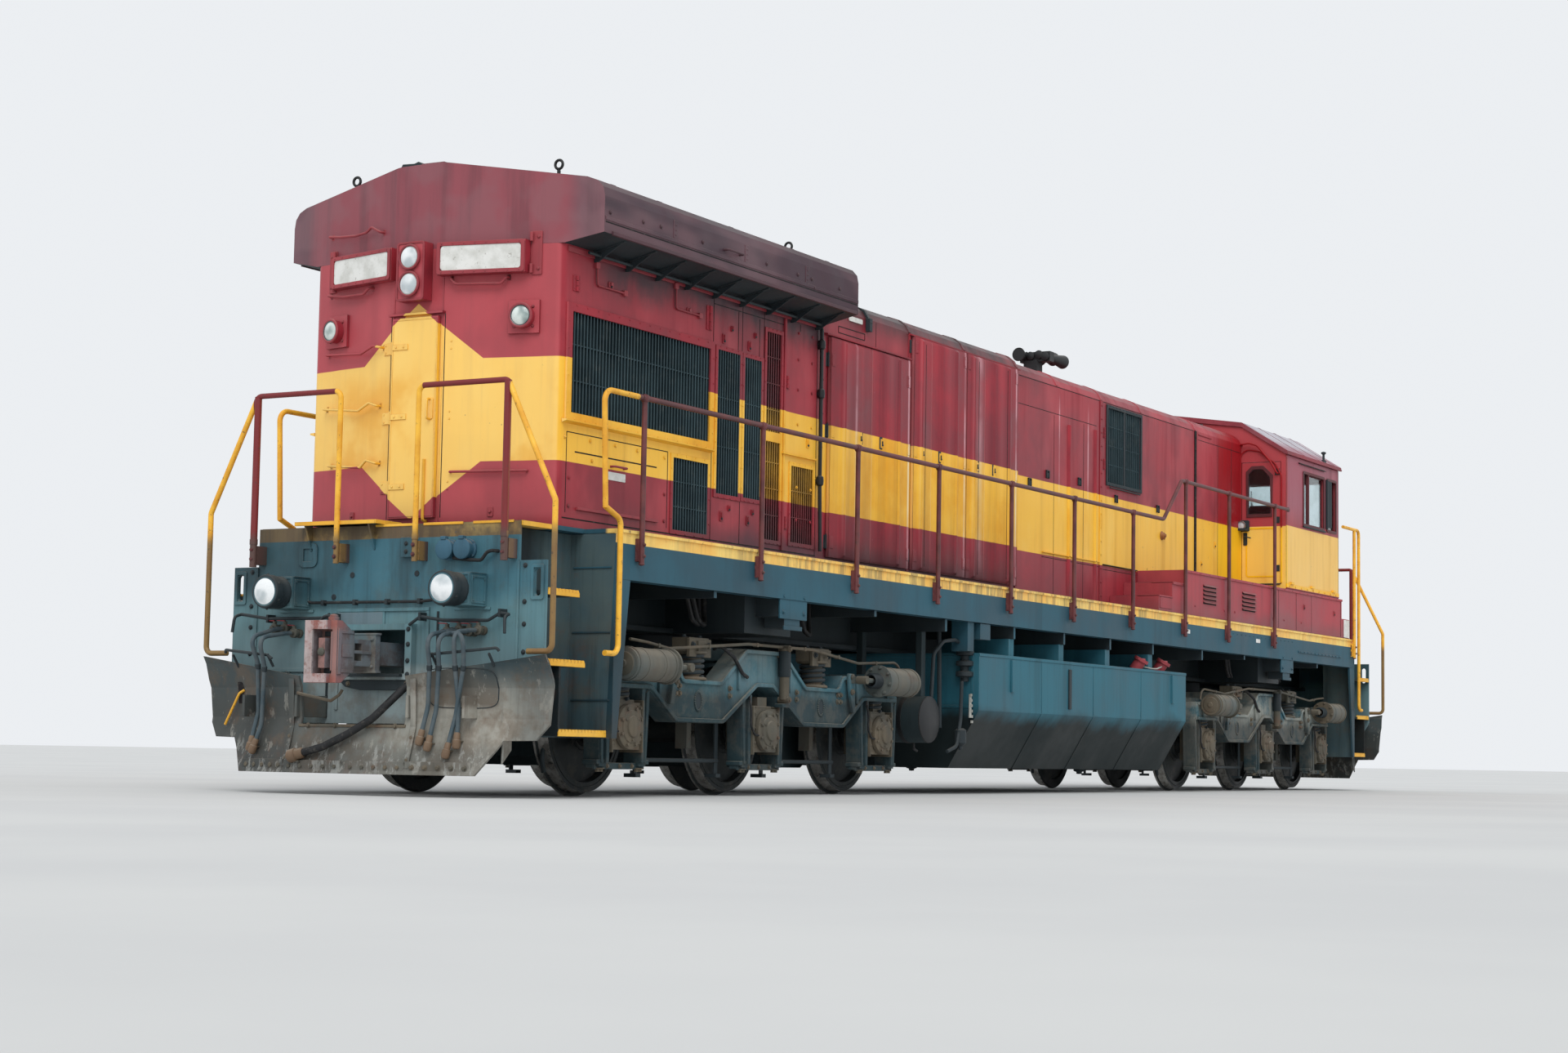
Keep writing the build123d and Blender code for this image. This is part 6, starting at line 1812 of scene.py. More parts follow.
p.lathe((X - 0.03, -0.955, 3.285), (-1, 0, 0), [(0, 0.045), (0.07, 0.058), (0.085, 0.058), (0.085, 0.048)], 20, cap=False)
p.use("lens")
p.lathe((X - 0.095, -0.955, 3.285), (-1, 0, 0), [(0, 0.054), (0.008, 0.040), (0.012, 0.0)], 20)
p.use("seal")
p.frame((X, 1.1575, 3.71), (0, 1, 0), (0, 0, -1), 0.355, 0.64, 0.012, 0.03, 0.05)
p.use("dark")
p.box(X - 0.02, X, -1.43, -0.93, 2.545, 2.560)
XF = 8.200
for s in (-1, 1):
    p.use("seal")
    p.frame((XF, s * 0.425, 3.73), (0, -1, 0), (0, 0, -1), 0.75, 0.60, 0.012, 0.03, 0.05)
    p.use("dark")
    # wiper: motor box, arm and blade
    p.box(XF, XF + 0.04, s * 0.40, s * 0.46, 3.405, 3.445)
    p.bar((XF + 0.03, s * 0.43, 3.43), (XF + 0.035, s * 0.30, 3.80), 0.012, 0.006, (1, 0, 0))
    p.bar((XF + 0.025, s * 0.30, 3.62), (XF + 0.025, s * 0.30, 3.95), 0.010, 0.012, (1, 0, 0))
p.use("seal")
p.frame((XF, -1.165, 3.705), (0, -1, 0), (0, 0, -1), 0.40, 0.65, 0.012, 0.03, 0.05)
p.done()

# cab doors: window seal, glass, handle, hinges on the leaf
for node, xo, d, s in (("cab_door_right", 6.117, -1, -1), ("cab_door_left", 8.200, 1, 1)):
    p = P(node + "_fittings", ["banded", "winframe", "dark"], node, "hood_paint", 0.0)
    c = 0.110
    yi, yo, z0, z1 = 1.000, 1.315, 3.410, 4.010
    win = [(yi, z0), (yo, z0), (yo, z1 - c), (yo - c, z1), (yi + c * 0.6, z1), (yi, z1 - c * 0.6)]
    cy = sum(a for a, b in win) / 6
    cz = sum(b for a, b in win) / 6

    def grow(k):
        out = []
        for a, b in win:
            v = Vector((a - cy, b - cz))
            v = v * (1 + k / v.length)
            out.append((cy + v.x, cz + v.y))
        return out
    o, i = grow(0.022), grow(-0.022)
    p.use("winframe")
    rings = []
    for pts, x in ((o, xo), (o, xo + d * 0.012), (i, xo + d * 0.012), (i, xo - d * 0.042)):
        rings.append([(x, s * a, b) for a, b in pts])
    rings.append([(xo - d * 0.042, s * a, b) for a, b in o])
    p.loft(rings, cap=False)
    p.use("glass")
    g_in = grow(-0.010)
    p.prism([(s * a, b) for a, b in g_in], "x", xo - d * 0.024, xo - d * 0.018)
    p.use("banded")
    p.frame((xo, s * 1.18, 2.95), (0, 1, 0), (0, 0, -1) if d < 0 else (0, 0, 1), 0.40, 0.62, 0.004, 0.02, 0.04)
    p.use("dark")
    p.plate((xo, s * 0.975, 3.12), (0, 1, 0), (0, 0, -1) if d < 0 else (0, 0, 1), 0.05, 0.16, 0.008, 0.012)
    p.tube([(xo, s * 0.975, 3.15), (xo + d * 0.045, s * 0.975, 3.15), (xo + d * 0.045, s * 1.06, 3.13)], 0.008, 0.02, 8)
    for z in (2.75, 3.35, 3.95):
        p.box(xo, xo + d * 0.006, s * 1.36, s * 1.42, z - 0.04, z + 0.04)
    p.done()

# seats: cushions with piping, backs, arm rests (hard-backed cab chairs)
p = P("cab_seat_covers", ["seat", "dark"], slot="seat_cover", bevel=0.0, angle=60)
for s in (-1, 1):
    y = s * 0.93

    def pad(c, hx, hy, hz, n=10):
        """Crowned pad: superellipsoid-like closed form with pinched rim."""
        rings = []
        for j in range(n + 1):
            t = -1 + 2 * j / n
            k = max(0.02, (1 - abs(t) ** 4)) ** 0.5
            ring = []
            for i in range(28):
                a = 2 * math.pi * i / 28
                cx, sx = math.cos(a), math.sin(a)
                px = math.copysign(abs(cx) ** 0.35, cx)
                py = math.copysign(abs(sx) ** 0.35, sx)
                ring.append((c[0] + hx * px * (0.9 + 0.1 * k), c[1] + hy * py * (0.9 + 0.1 * k), c[2] + hz * t))
            rings.append(ring)
        p.loft(rings)
    p.use("seat")
    pad((7.235, y, 3.060), 0.215, 0.232, 0.050)
    rings = []
    for j in range(11):
        t = -1 + 2 * j / 10
        k = max(0.05, 1 - abs(t) ** 4) ** 0.5
        ring = []
        for i in range(24):
            a = 2 * math.pi * i / 24
            cx, sx = math.cos(a), math.sin(a)
            px = math.copysign(abs(cx) ** 0.4, cx)
            py = math.copysign(abs(sx) ** 0.4, sx)
            ring.append((7.008 + 0.046 * px * k, y + 0.232 * py * (0.92 + 0.08 * k), 3.36 + 0.265 * t))
        rings.append(ring)
    p.loft(rings)
    p.use("dark")
    p.box(7.18, 7.27, y - 0.05, y + 0.05, 2.55, 3.01)
    p.lathe((7.225, y, 2.552), (0, 0, 1), [(0, 0.16), (0.015, 0.16), (0.03, 0.09), (0.10, 0.055), (0.42, 0.05)], 20)
    for q in (-1, 1):
        p.tube([(7.02, y + q * 0.225, 3.25), (7.30, y + q * 0.225, 3.25), (7.34, y + q * 0.225, 3.12)], 0.012, 0.05, 8)
seats = p.done()
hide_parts("cab_seats")

p = P("control_desk_fittings", ["desk", "dark", "lens_dark", "chrome"], slot="desk_paint", bevel=0.002)
for y in (-0.6, -0.3, 0.0, 0.3, 0.6):
    p.use("dark")
    c = Vector((7.905, y, 3.302))
    nrm = Vector((-0.74, 0, 0.67)).normalized()
    p.cyl(c, c + nrm * 0.012, 0.055, 20)
    p.use("chrome")
    p.torus(c + nrm * 0.012, nrm, 0.052, 0.004, 24, 6)
for k, y in enumerate((-0.50, -0.43, -0.36)):
    p.use("dark")
    p.lathe((7.78, y, 3.25), (0, 0, 1), [(0, 0.026), (0.02, 0.026), (0.03, 0.012), (0.10, 0.010), (0.12, 0.022), (0.14, 0.0)], 14)
    p.use("chrome")
    p.tube([(7.78, y, 3.30), (7.70, y, 3.34)], 0.006, 0, 8)
p.done()

# ------------------------------------------------------------------ nose
p = P("nose_fittings", ["banded", "seam", "dark", "redfit"], slot="hood_paint", bevel=0.002)
for s in (-1, 1):
    for x, z0, z1 in ((8.23, 2.5, 3.26), (8.62, 2.05, 3.26), (8.93, 2.05, 3.20)):
        seam(p, s, 0.920, x, z0, x, z1)
    seam(p, s, 0.920, 8.23, 2.60, 8.95, 2.60)
    latch(p, s, 8.42, 0.920, 2.95)
    latch(p, s, 8.78, 0.920, 2.95)
    p.use("banded")
    p.box(8.21, 8.95, s * 0.920, s * 0.936, 3.262, 3.278)
    for k in range(5):
        p.bolt((8.30 + 0.15 * k, s * 0.920, 2.30), (0, s, 0), 0.010, 0.009)
    # grab irons on the front face
    for z in (2.30, 2.62, 2.94):
        p.use("banded")
        p.tube([(9.170, s * 0.34, z), (9.215, s * 0.34, z), (9.215, s * 0.74, z), (9.170, s * 0.74, z)], 0.011, 0.02, 8)
    p.use("redfit")
    p.torus((9.240, s * 0.62, 3.010), (1, 0, 0), 0.080, 0.010, 28, 8)
    p.use("lens")
    p.lathe((9.238, s * 0.62, 3.010), (1, 0, 0), [(0, 0.074), (0.008, 0.070), (0.022, 0.04), (0.026, 0.0)], 24)
p.use("dark")
for z in (2.30, 2.60, 2.90):
    p.cyl((9.178, 0.272, z - 0.05), (9.178, 0.272, z + 0.05), 0.011, 10)
# front headlamps and number boards over the windscreen
for s in (-1, 1):
    p.use("chrome")
    p.torus((8.320, s * 0.072, 4.260), (1, 0, 0), 0.062, 0.008, 28, 8)
    p.use("lens")
    p.lathe((8.318, s * 0.072, 4.260), (1, 0, 0), [(0, 0.058), (0.006, 0.056), (0.016, 0.03), (0.019, 0.0)], 24)
    p.use("redfit")
    p.frame((8.270, s * 0.49, 4.25), (0, -1, 0), (0, 0, -1), 0.58, 0.24, 0.012, 0.03, 0.02)
    p.use("white")
    p.plate((8.270, s * 0.49, 4.25), (0, -1, 0), (0, 0, -1), 0.53, 0.185, 0.006, 0.02)
p.done()

p = P("nose_door_skin", ["banded", "dark"], "nose_door", "hood_paint", 0.002)
xd = 9.208
p.use("banded")
p.frame((xd, 0, 2.575), (0, -1, 0), (0, 0, -1), 0.50, 0.94, 0.006, 0.022, 0.02)
p.frame((xd, 0, 2.78), (0, -1, 0), (0, 0, -1), 0.36, 0.42, 0.004, 0.016, 0.02)
p.use("dark")
p.plate((xd, -0.20, 2.60), (0, -1, 0), (0, 0, -1), 0.05, 0.15, 0.008, 0.012)
p.tube([(xd, -0.20, 2.66), (xd + 0.04, -0.20, 2.66), (xd + 0.04, -0.20, 2.53), (xd, -0.20, 2.53)], 0.009, 0.02, 8)
for z in (2.30, 2.60, 2.90):
    p.box(xd, xd + 0.006, 0.20, 0.255, z - 0.03, z + 0.03)
p.done()

# ------------------------------------------------------------------ raised walkway, sills
for side, s in (("right", -1), ("left", 1)):
    p = P("walkway_fittings_" + side, ["boxpaint", "seam", "dark", "redfit"], slot="hood_paint", bevel=0.0015)
    y = 1.499
    for x0, x1, z0, z1 in ((3.26, 3.68, 2.135, 2.370), (4.55, 5.005, 2.130, 2.370)):
        for k in range(5):
            z = z0 + (z1 - z0) * (k + 0.5) / 5
            p.use("seam")
            p.box(x0, x1, s * (y - 0.001), s * (y + 0.0012), z - 0.020, z + 0.004)
            p.use("boxpaint")
            p.prism([(s * y, z + 0.018), (s * (y + 0.026), z - 0.004), (s * (y + 0.023), z - 0.008), (s * y, z + 0.008)], "x",
                    x0, x1)
    for x in (2.735, 4.11, 5.85, 7.10):
        seam(p, s, y, x, 2.0, x, 2.48)
    p.use("boxpaint")
    p.box(2.70, 8.33, s * y, s * (y + 0.012), 2.462, 2.490)
    p.box(2.30, 2.70, s * (y - 0.25), s * (y + 0.010), 2.317, 2.331)
    p.box(1.90, 2.30, s * (y - 0.25), s * (y + 0.010), 2.147, 2.161)
    p.use("redfit")
    p.box(2.30, 2.705, s * y, s * (y + 0.016), 2.300, 2.325)
    p.box(1.93, 2.28, s * y, s * (y + 0.006), 2.02, 2.14)
    for k in range(19):
        p.rivet((2.85 + 0.29 * k, s * (y + 0.012), 2.476), (0, s, 0), 0.009)
    for x in (3.0, 3.95, 4.30, 5.65, 6.05, 6.70):
        p.bolt((x, s * y, 2.10), (0, s, 0), 0.010, 0.008)
    # tread strips on the steps
    p.use("dark")
    for x0, x1, z in ((1.92, 2.28, 2.155), (2.32, 2.68, 2.325), (8.35, 8.62, 2.240)):
        for k in range(7):
            xx = x0 + (x1 - x0) * (k + 0.5) / 7
            p.box(xx - 0.008, xx + 0.008, s * 0.98, s * 1.46, z, z + 0.005)
    p.done()

    p = P("sill_fittings_" + side, ["frame", "dark", "yellow", "railbrown"], slot="frame_paint", bevel=0.002)
    y = 1.500
    # flanges of the side sill
    p.use("frame")
    p.box(-8.80, 8.80, s * (y - 0.110), s * (y - 0.002), 1.615, 1.632)
    p.box(-8.82, 8.82, s * y, s * (y + 0.014), 1.962, 1.986)
    # cover strip with small bolts towards the cab
    p.box(6.585, 8.275, s * y, s * (y + 0.010), 1.722, 1.748)
    for k in range(12):
        p.bolt((6.65 + 0.14 * k, s * (y + 0.010), 1.735), (0, s, 0), 0.009, 0.008)
    for k in range(16):
        p.rivet((4.25 + 0.14 * k, s * y, 1.845), (0, s, 0), 0.008)
    for x in (2.77, 5.10):
        p.use("white")
        p.plate((x, s * y, 1.80), (1, 0, 0), (0, 0, -s), 0.14, 0.045, 0.004, 0.006)
    # hangers of the handrail posts: clamp bolts
    for x in (-8.576, -6.810, -5.180, -3.610, -2.030, -0.510, 1.060, 2.600, 3.990, 5.590, 8.740):
        p.use("railbrown")
        for z in (1.80, 1.885):
            p.bolt((x, s * 1.561, z), (0, s, 0), 0.011, 0.012)
            p.box(x - 0.032, x + 0.032, s * 1.502, s * 1.512, z - 0.030, z + 0.030)
        p.lathe((x, s * 1.540, 1.740), (0, 0, -1), [(-0.004, 0.024), (0.004, 0.024), (0.010, 0.012), (0.012, 0.0)], 14)
    # web stiffeners seen below the deck
    p.use("dark")
    for k in range(22):
        x = -8.4 + 0.8 * k
        if abs(abs(x) - 6.185) > 0.5:
            p.prism([(s * (y - 0.030), 1.632), (s * (y - 0.100), 1.632), (s * (y - 0.030), 1.93)], "x", x - 0.006, x + 0.006)
    p.done()


# ------------------------------------------------------------------ bogies
AX = (-2.070, 0.021, 2.070)
AZ = 0.536


def bogie(end, cx):
    """Castings, springs, covers, pipes and rigging of one bogie, both sides."""
    fl = 1 if cx < 0 else -1
    body = end + "_bogie"
    p = P(end + "_bogie_side_details", ["bogie", "axlebox", "dark"], body, "bogie_paint", 0.004)
    q = P(end + "_bogie_small_parts", ["axlebox", "dark", "rubber", "bogie"], body, "machine_iron", 0.0)
    for s in (-1, 1):
        YF = 1.220
        # raised rim that follows the casting's lower and upper edges
        top = [(-2.36, 1.022), (-1.35, 1.022), (-1.29, 0.905), (-0.69, 0.905), (-0.31, 1.182), (0.31, 1.182), (0.69, 0.905),
               (1.29, 0.905), (1.35, 1.022), (2.36, 1.022)]
        bot = [(-2.36, 0.848), (-1.74, 0.848), (-1.37, 0.603), (-0.66, 0.603), (-0.13, 0.913), (0.13, 0.913), (0.66, 0.603),
               (1.37, 0.603), (1.74, 0.848), (2.36, 0.848)]
        p.use("bogie")
        for line in (top, bot):
            pts = p.path([(cx + a, s * (YF + 0.010), z) for a, z in line], 0.08)
            for a, b in zip(pts, pts[1:]):
                p.bar(a, b + (b - a).normalized() * 0.004, 0.024, 0.034)
        # ribs across the web
        for dx, z0, z1 in ((-1.62, 0.80, 0.99), (1.62, 0.80, 0.99), (-0.42, 0.86, 1.06), (0.42, 0.86, 1.06), (-2.20, 0.86, 1.01),
                           (2.20, 0.86, 1.01)):
            p.box(cx + dx - 0.012, cx + dx + 0.012, s * YF, s * (YF + 0.022), z0, z1)
        # cored oval holes, lipped
        for dx in (-1.03, 0.98):
            c = V(cx + dx, s * (YF + 0.002), 0.755)
            for k in range(24):
                a0, a1 = 2 * math.pi * k / 24, 2 * math.pi * (k + 1) / 24
                A = c + V(0.052 * math.cos(a0), 0, 0.075 * math.sin(a0))
                B = c + V(0.052 * math.cos(a1), 0, 0.075 * math.sin(a1))
                p.bar(A, B, 0.020, 0.016, (0, 1, 0))
            q.use("dark")
            q.loft([[(cx + dx + 0.045 * math.cos(2 * math.pi * i / 20), s * yy, 0.755 + 0.068 * math.sin(2 * math.pi * i / 20))
                     for i in range(20)] for yy in (YF - 0.001, YF + 0.003)])
        # bolt stacks on the casting
        q.use("axlebox")
        for dx in (-1.375, 1.275, -1.32, 1.33, -0.55, 0.55):
            for z in (0.87, 0.81):
                q.bolt((cx + dx, s * YF, z), (0, s, 0), 0.017, 0.022)
        # bolster springs: coil around the CAD post, cup and saddle
        for dx in (-1.000, 1.000):
            x = cx + dx
            q.use("dark")
            q.coil((x, s * 1.120, 0.945), (x, s * 1.120, 1.140), 0.100, 0.017, 4.5, 8, 18)
            p.use("axlebox")
            p.lathe((x, s * 1.120, 0.925), (0, 0, 1), [(0, 0.135), (0.016, 0.135), (0.024, 0.118), (0.026, 0.085)], 24, cap=False)
            p.lathe((x, s * 1.120, 1.150), (0, 0, -1), [(0, 0.135), (0.014, 0.135), (0.022, 0.118), (0.024, 0.085)], 24, cap=False)
            p.box(x - 0.165, x + 0.165, s * 1.185, s * 1.215, 1.105, 1.250)
            p.box(x - 0.06, x + 0.06, s * 1.20, s * 1.235, 1.13, 1.235)
            for a in (-0.12, 0.12):
                q.bolt((x + a, s * 1.215, 1.20), (0, s, 0), 0.018, 0.020)
                q.bolt((x + a, s * 1.13, 1.260), (0, 0, 1), 0.020, 0.022)
        for ax in AX:
            a = cx + ax * fl
            # axlebox: machined body, bolted round cover with a rim, wings against the pedestals
            p.use("axlebox")
            q.use("axlebox")
            c = V(a, s * 1.262, AZ)
            q.lathe(c, (0, s, 0), [(-0.030, 0.172), (0.004, 0.172), (0.010, 0.160), (0.012, 0.128), (0.020, 0.122), (0.026, 0.085),
                                  (0.040, 0.078), (0.046, 0.055), (0.048, 0.0)], 32)
            for k in range(8):
                t = 2 * math.pi * (k + 0.5) / 8
                q.bolt(c + V(0.144 * math.cos(t), s * 0.006, 0.144 * math.sin(t)), (0, s, 0), 0.015, 0.020)
            for k in range(3):
                t = 2 * math.pi * k / 3 + 0.5
                q.bolt(c + V(0.10 * math.cos(t), s * 0.020, 0.10 * math.sin(t)), (0, s, 0), 0.010, 0.012)
            for e in (-1, 1):
                p.box(a + e * 0.150, a + e * 0.213, s * 1.05, s * 1.232, 0.40, 0.70)
                p.box(a + e * 0.196, a + e * 0.214, s * 1.035, s * 1.245, 0.34, 0.74)
                for z in (0.44, 0.56, 0.68):
                    q.bolt((a + e * 0.180, s * 1.232, z), (0, s, 0), 0.011, 0.012)
                # pedestal liner, foot casting and its through bolts
                p.use("bogie")
                p.prism([(a + e * 0.215, 0.83), (a + e * 0.262, 0.83), (a + e * 0.262, 0.262), (a + e * 0.222, 0.262)], "y",
                        s * 1.196, s * 1.226)
                p.prism([(a + e * 0.300, 0.80), (a + e * 0.345, 0.84), (a + e * 0.312, 0.262), (a + e * 0.280, 0.262)], "y",
                        s * 1.196, s * 1.214)
                p.box(a + e * 0.225, a + e * 0.360, s * 1.070, s * 1.205, 0.250, 0.285)
                p.use("axlebox")
                q.bolt((a + e * 0.290, s * 1.165, 0.223), (0, 0, -1), 0.020, 0.030)
                q.bolt((a + e * 0.245, s * 1.165, 0.223), (0, 0, -1), 0.020, 0.030)
            p.use("axlebox")
            # spring seat on top of the box, short coil to the frame
            p.box(a - 0.13, a + 0.13, s * 1.06, s * 1.21, 0.716, 0.742)
            q.use("dark")
            if abs(ax) > 1:
                q.coil((a, s * 1.135, 0.745), (a, s * 1.135, 0.832), 0.085, 0.014, 2.2, 8, 16)
            # wheel-slide earth lead: clipped strap down the pedestal
            q.use("rubber")
            q.tube([(a - 0.27, s * 1.232, 0.83), (a - 0.285, s * 1.262, 0.70), (a - 0.275, s * 1.255, 0.58), (a - 0.20, s * 1.250, 0.50),
                    (a - 0.16, s * 1.262, 0.50)], 0.010, 0.05, 6)
        # tie bars between pedestals, with hangers below
        p.use("bogie")
        for dx in (-2.070, 0.021, 2.070):
            a = cx + dx * fl
            p.box(a - 0.345, a + 0.345, s * 1.150, s * 1.172, 0.212, 0.262)
            q.use("axlebox")
            for e in (-1, 0, 1):
                q.bolt((a + e * 0.17, s * 1.172, 0.237), (0, s, 0), 0.013, 0.014)
        # safety hangers and brake rods low down
        for dx in (-1.62, 0.32, -0.42, 1.52):
            x = cx + dx
            q.use("dark")
            q.bar((x, s * 1.02, 0.60), (x, s * 1.02, 0.175), 0.05, 0.012, (0, 1, 0))
            q.box(x - 0.035, x + 0.035, s * 0.94, s * 1.05, 0.150, 0.180)
        q.tube([(cx - 1.66, s * 1.02, 0.285), (cx - 0.40, s * 1.02, 0.285)], 0.017, 0, 8)
        q.tube([(cx + 0.30, s * 1.02, 0.285), (cx + 1.56, s * 1.02, 0.285)], 0.017, 0, 8)
        # brake hanger links beside the wheels: bell crank and slack adjuster
        for e in (-1, 1):
            x = cx + e * 1.445
            p.use("bogie")
            p.prism([(x - 0.045, 1.06), (x + 0.045, 1.06), (x + 0.035, 0.92), (x + e * 0.055 + 0.028, 0.72), (x + e * 0.055 - 0.028, 0.72),
                     (x - 0.035, 0.92)], "y", s * 1.245, s * 1.275)
            q.use("axlebox")
            for z in (1.03, 0.90):
                q.lathe((x, s * 1.275, z), (0, s, 0), [(0, 0.028), (0.012, 0.028), (0.016, 0.018), (0.024, 0.016), (0.026, 0)], 16)
        # damper: dust sleeve, eyes
        q.use("dark")
        q.lathe((cx + 0.25, s * 1.275, 0.99), (0, 0, 1), [(0, 0.047), (0.01, 0.052), (0.20, 0.052), (0.215, 0.046)], 20, cap=False)
        q.use("axlebox")
        for z in (0.80, 1.225):
            q.cyl((cx + 0.25, s * 1.225, z), (cx + 0.25, s * 1.325, z), 0.030, 14)
            q.bolt((cx + 0.25, s * 1.325, z), (0, s, 0), 0.018, 0.014)
        p.use("bogie")
        p.box(cx + 0.185, cx + 0.315, s * 1.215, s * 1.300, 0.735, 0.768)
        # brake pipe along the casting with clips, drops to the cylinders
        q.use("axlebox")
        line = [(-2.10, 1.196), (-1.85, 1.180), (-1.54, 1.147), (-0.33, 1.235), (0.75, 1.235), (1.58, 1.150), (2.27, 1.183),
                (2.36, 1.147), (2.38, 1.06)]
        q.tube([(cx + a * fl, s * 1.262, z + 0.004) for a, z in line], 0.0125, 0.10, 8)
        for a, z in ((-1.70, 1.163), (-0.95, 1.190), (-0.20, 1.235), (0.60, 1.235), (1.20, 1.192), (1.90, 1.166)):
            q.box(cx + a * fl - 0.012, cx + a * fl + 0.012, s * 1.235, s * 1.278, z - 0.014, z + 0.020)
        for a in (-1.00, 1.00):
            q.box(cx + a - 0.010, cx + a + 0.010, s * 1.212, s * 1.270, 1.175, 1.187)
        # flexible lead from the bolster down to the frame
        q.use("rubber")
        q.tube([(cx - 0.60, s * 1.10, 1.19), (cx - 0.68, s * 1.20, 1.22), (cx - 0.55, s * 1.262, 1.12), (cx - 0.40, s * 1.25, 1.00),
                (cx - 0.30, s * 1.24, 0.97)], 0.016, 0.08, 8)
    # sand pipes and end transoms
    for e in (-1, 1):
        for s in (-1, 1):
            q.use("dark")
            q.tube([(cx + e * 2.33, s * 0.79, 1.04), (cx + e * 2.40, s * 0.79, 0.80), (cx + e * 2.55, s * 0.79, 0.30),
                    (cx + e * 2.52, s * 0.79, 0.18)], 0.018, 0.10, 8)
            q.bar((cx + e * 2.38, s * 0.79, 0.93), (cx + e * 2.38, s * 1.05, 1.00), 0.03, 0.01)
    p.done()
    q.done()

    # brake cylinders: flanges, push rods with bellows
    b = P(end + "_brake_cylinder_parts", ["cylinder", "axlebox", "dark"], body, "bogie_paint", 0.0)
    for s in (-1, 1):
        for e in (-1, 1):
            y, z = s * 1.375, 1.005
            b.use("axlebox" if end == "front" else "cylinder")
            for x, r in ((1.745, 0.142), (1.79, 0.130), (2.30, 0.133), (2.335, 0.118)):
                b.cyl((cx + e * (x - 0.011), y, z), (cx + e * (x + 0.011), y, z), r, 28)
            for k in range(8):
                t = 2 * math.pi * k / 8 + 0.2
                b.bolt((cx + e * 1.734, y + 0.122 * math.cos(t), z + 0.122 * math.sin(t)), (-e, 0, 0), 0.012, 0.018)
            b.use("dark")
            prof = [(0.0, 0.060)]
            for k in range(6):
                prof += [(0.012 + 0.022 * k, 0.068), (0.022 + 0.022 * k, 0.050)]
            b.lathe((cx + e * 1.735, y, z), (-e, 0, 0), prof, 20, cap=False)
            b.use("axlebox")
            b.lathe((cx + e * 2.340, y, z), (e, 0, 0), [(0, 0.095), (0.012, 0.085), (0.020, 0.03), (0.030, 0.026), (0.032, 0)], 24)
            b.cyl((cx + e * 1.45, y - s * 0.05, z), (cx + e * 1.45, y + s * 0.05, z), 0.036, 14)
            # saddle straps
            for x in (1.92, 2.16):
                b.use("cylinder")
                b.cyl((cx + e * (x - 0.02), y, z), (cx + e * (x + 0.02), y, z), 0.129, 28)
    b.done()


bogie("rear", -6.185)
bogie("front", 6.185)

# wheels: hub caps, plate ribs are plain; journal end ring and a ring near the rim, with bolts round the hub
for end, cx in (("rear", -6.185), ("front", 6.185)):
    fl = 1 if cx < 0 else -1
    for k, ax in enumerate(AX):
        a = cx + ax * fl
        p = P("%s_wheelset_%d_rings" % (end, k + 1), ["wheel", "bright"], "%s_wheelset_%d" % (end, k + 1), "wheel_steel")
        for s in (-1, 1):
            p.use("wheel")
            p.torus((a, s * 0.853, AZ), (0, 1, 0), 0.468, 0.010, 48, 6)
            p.torus((a, s * 0.838, AZ), (0, 1, 0), 0.178, 0.012, 32, 6)
            for i in range(6):
                t = 2 * math.pi * i / 6
                p.bolt((a + 0.128 * math.cos(t), s * 0.878, AZ + 0.128 * math.sin(t)), (0, s, 0), 0.012, 0.010, False)
        p.done()

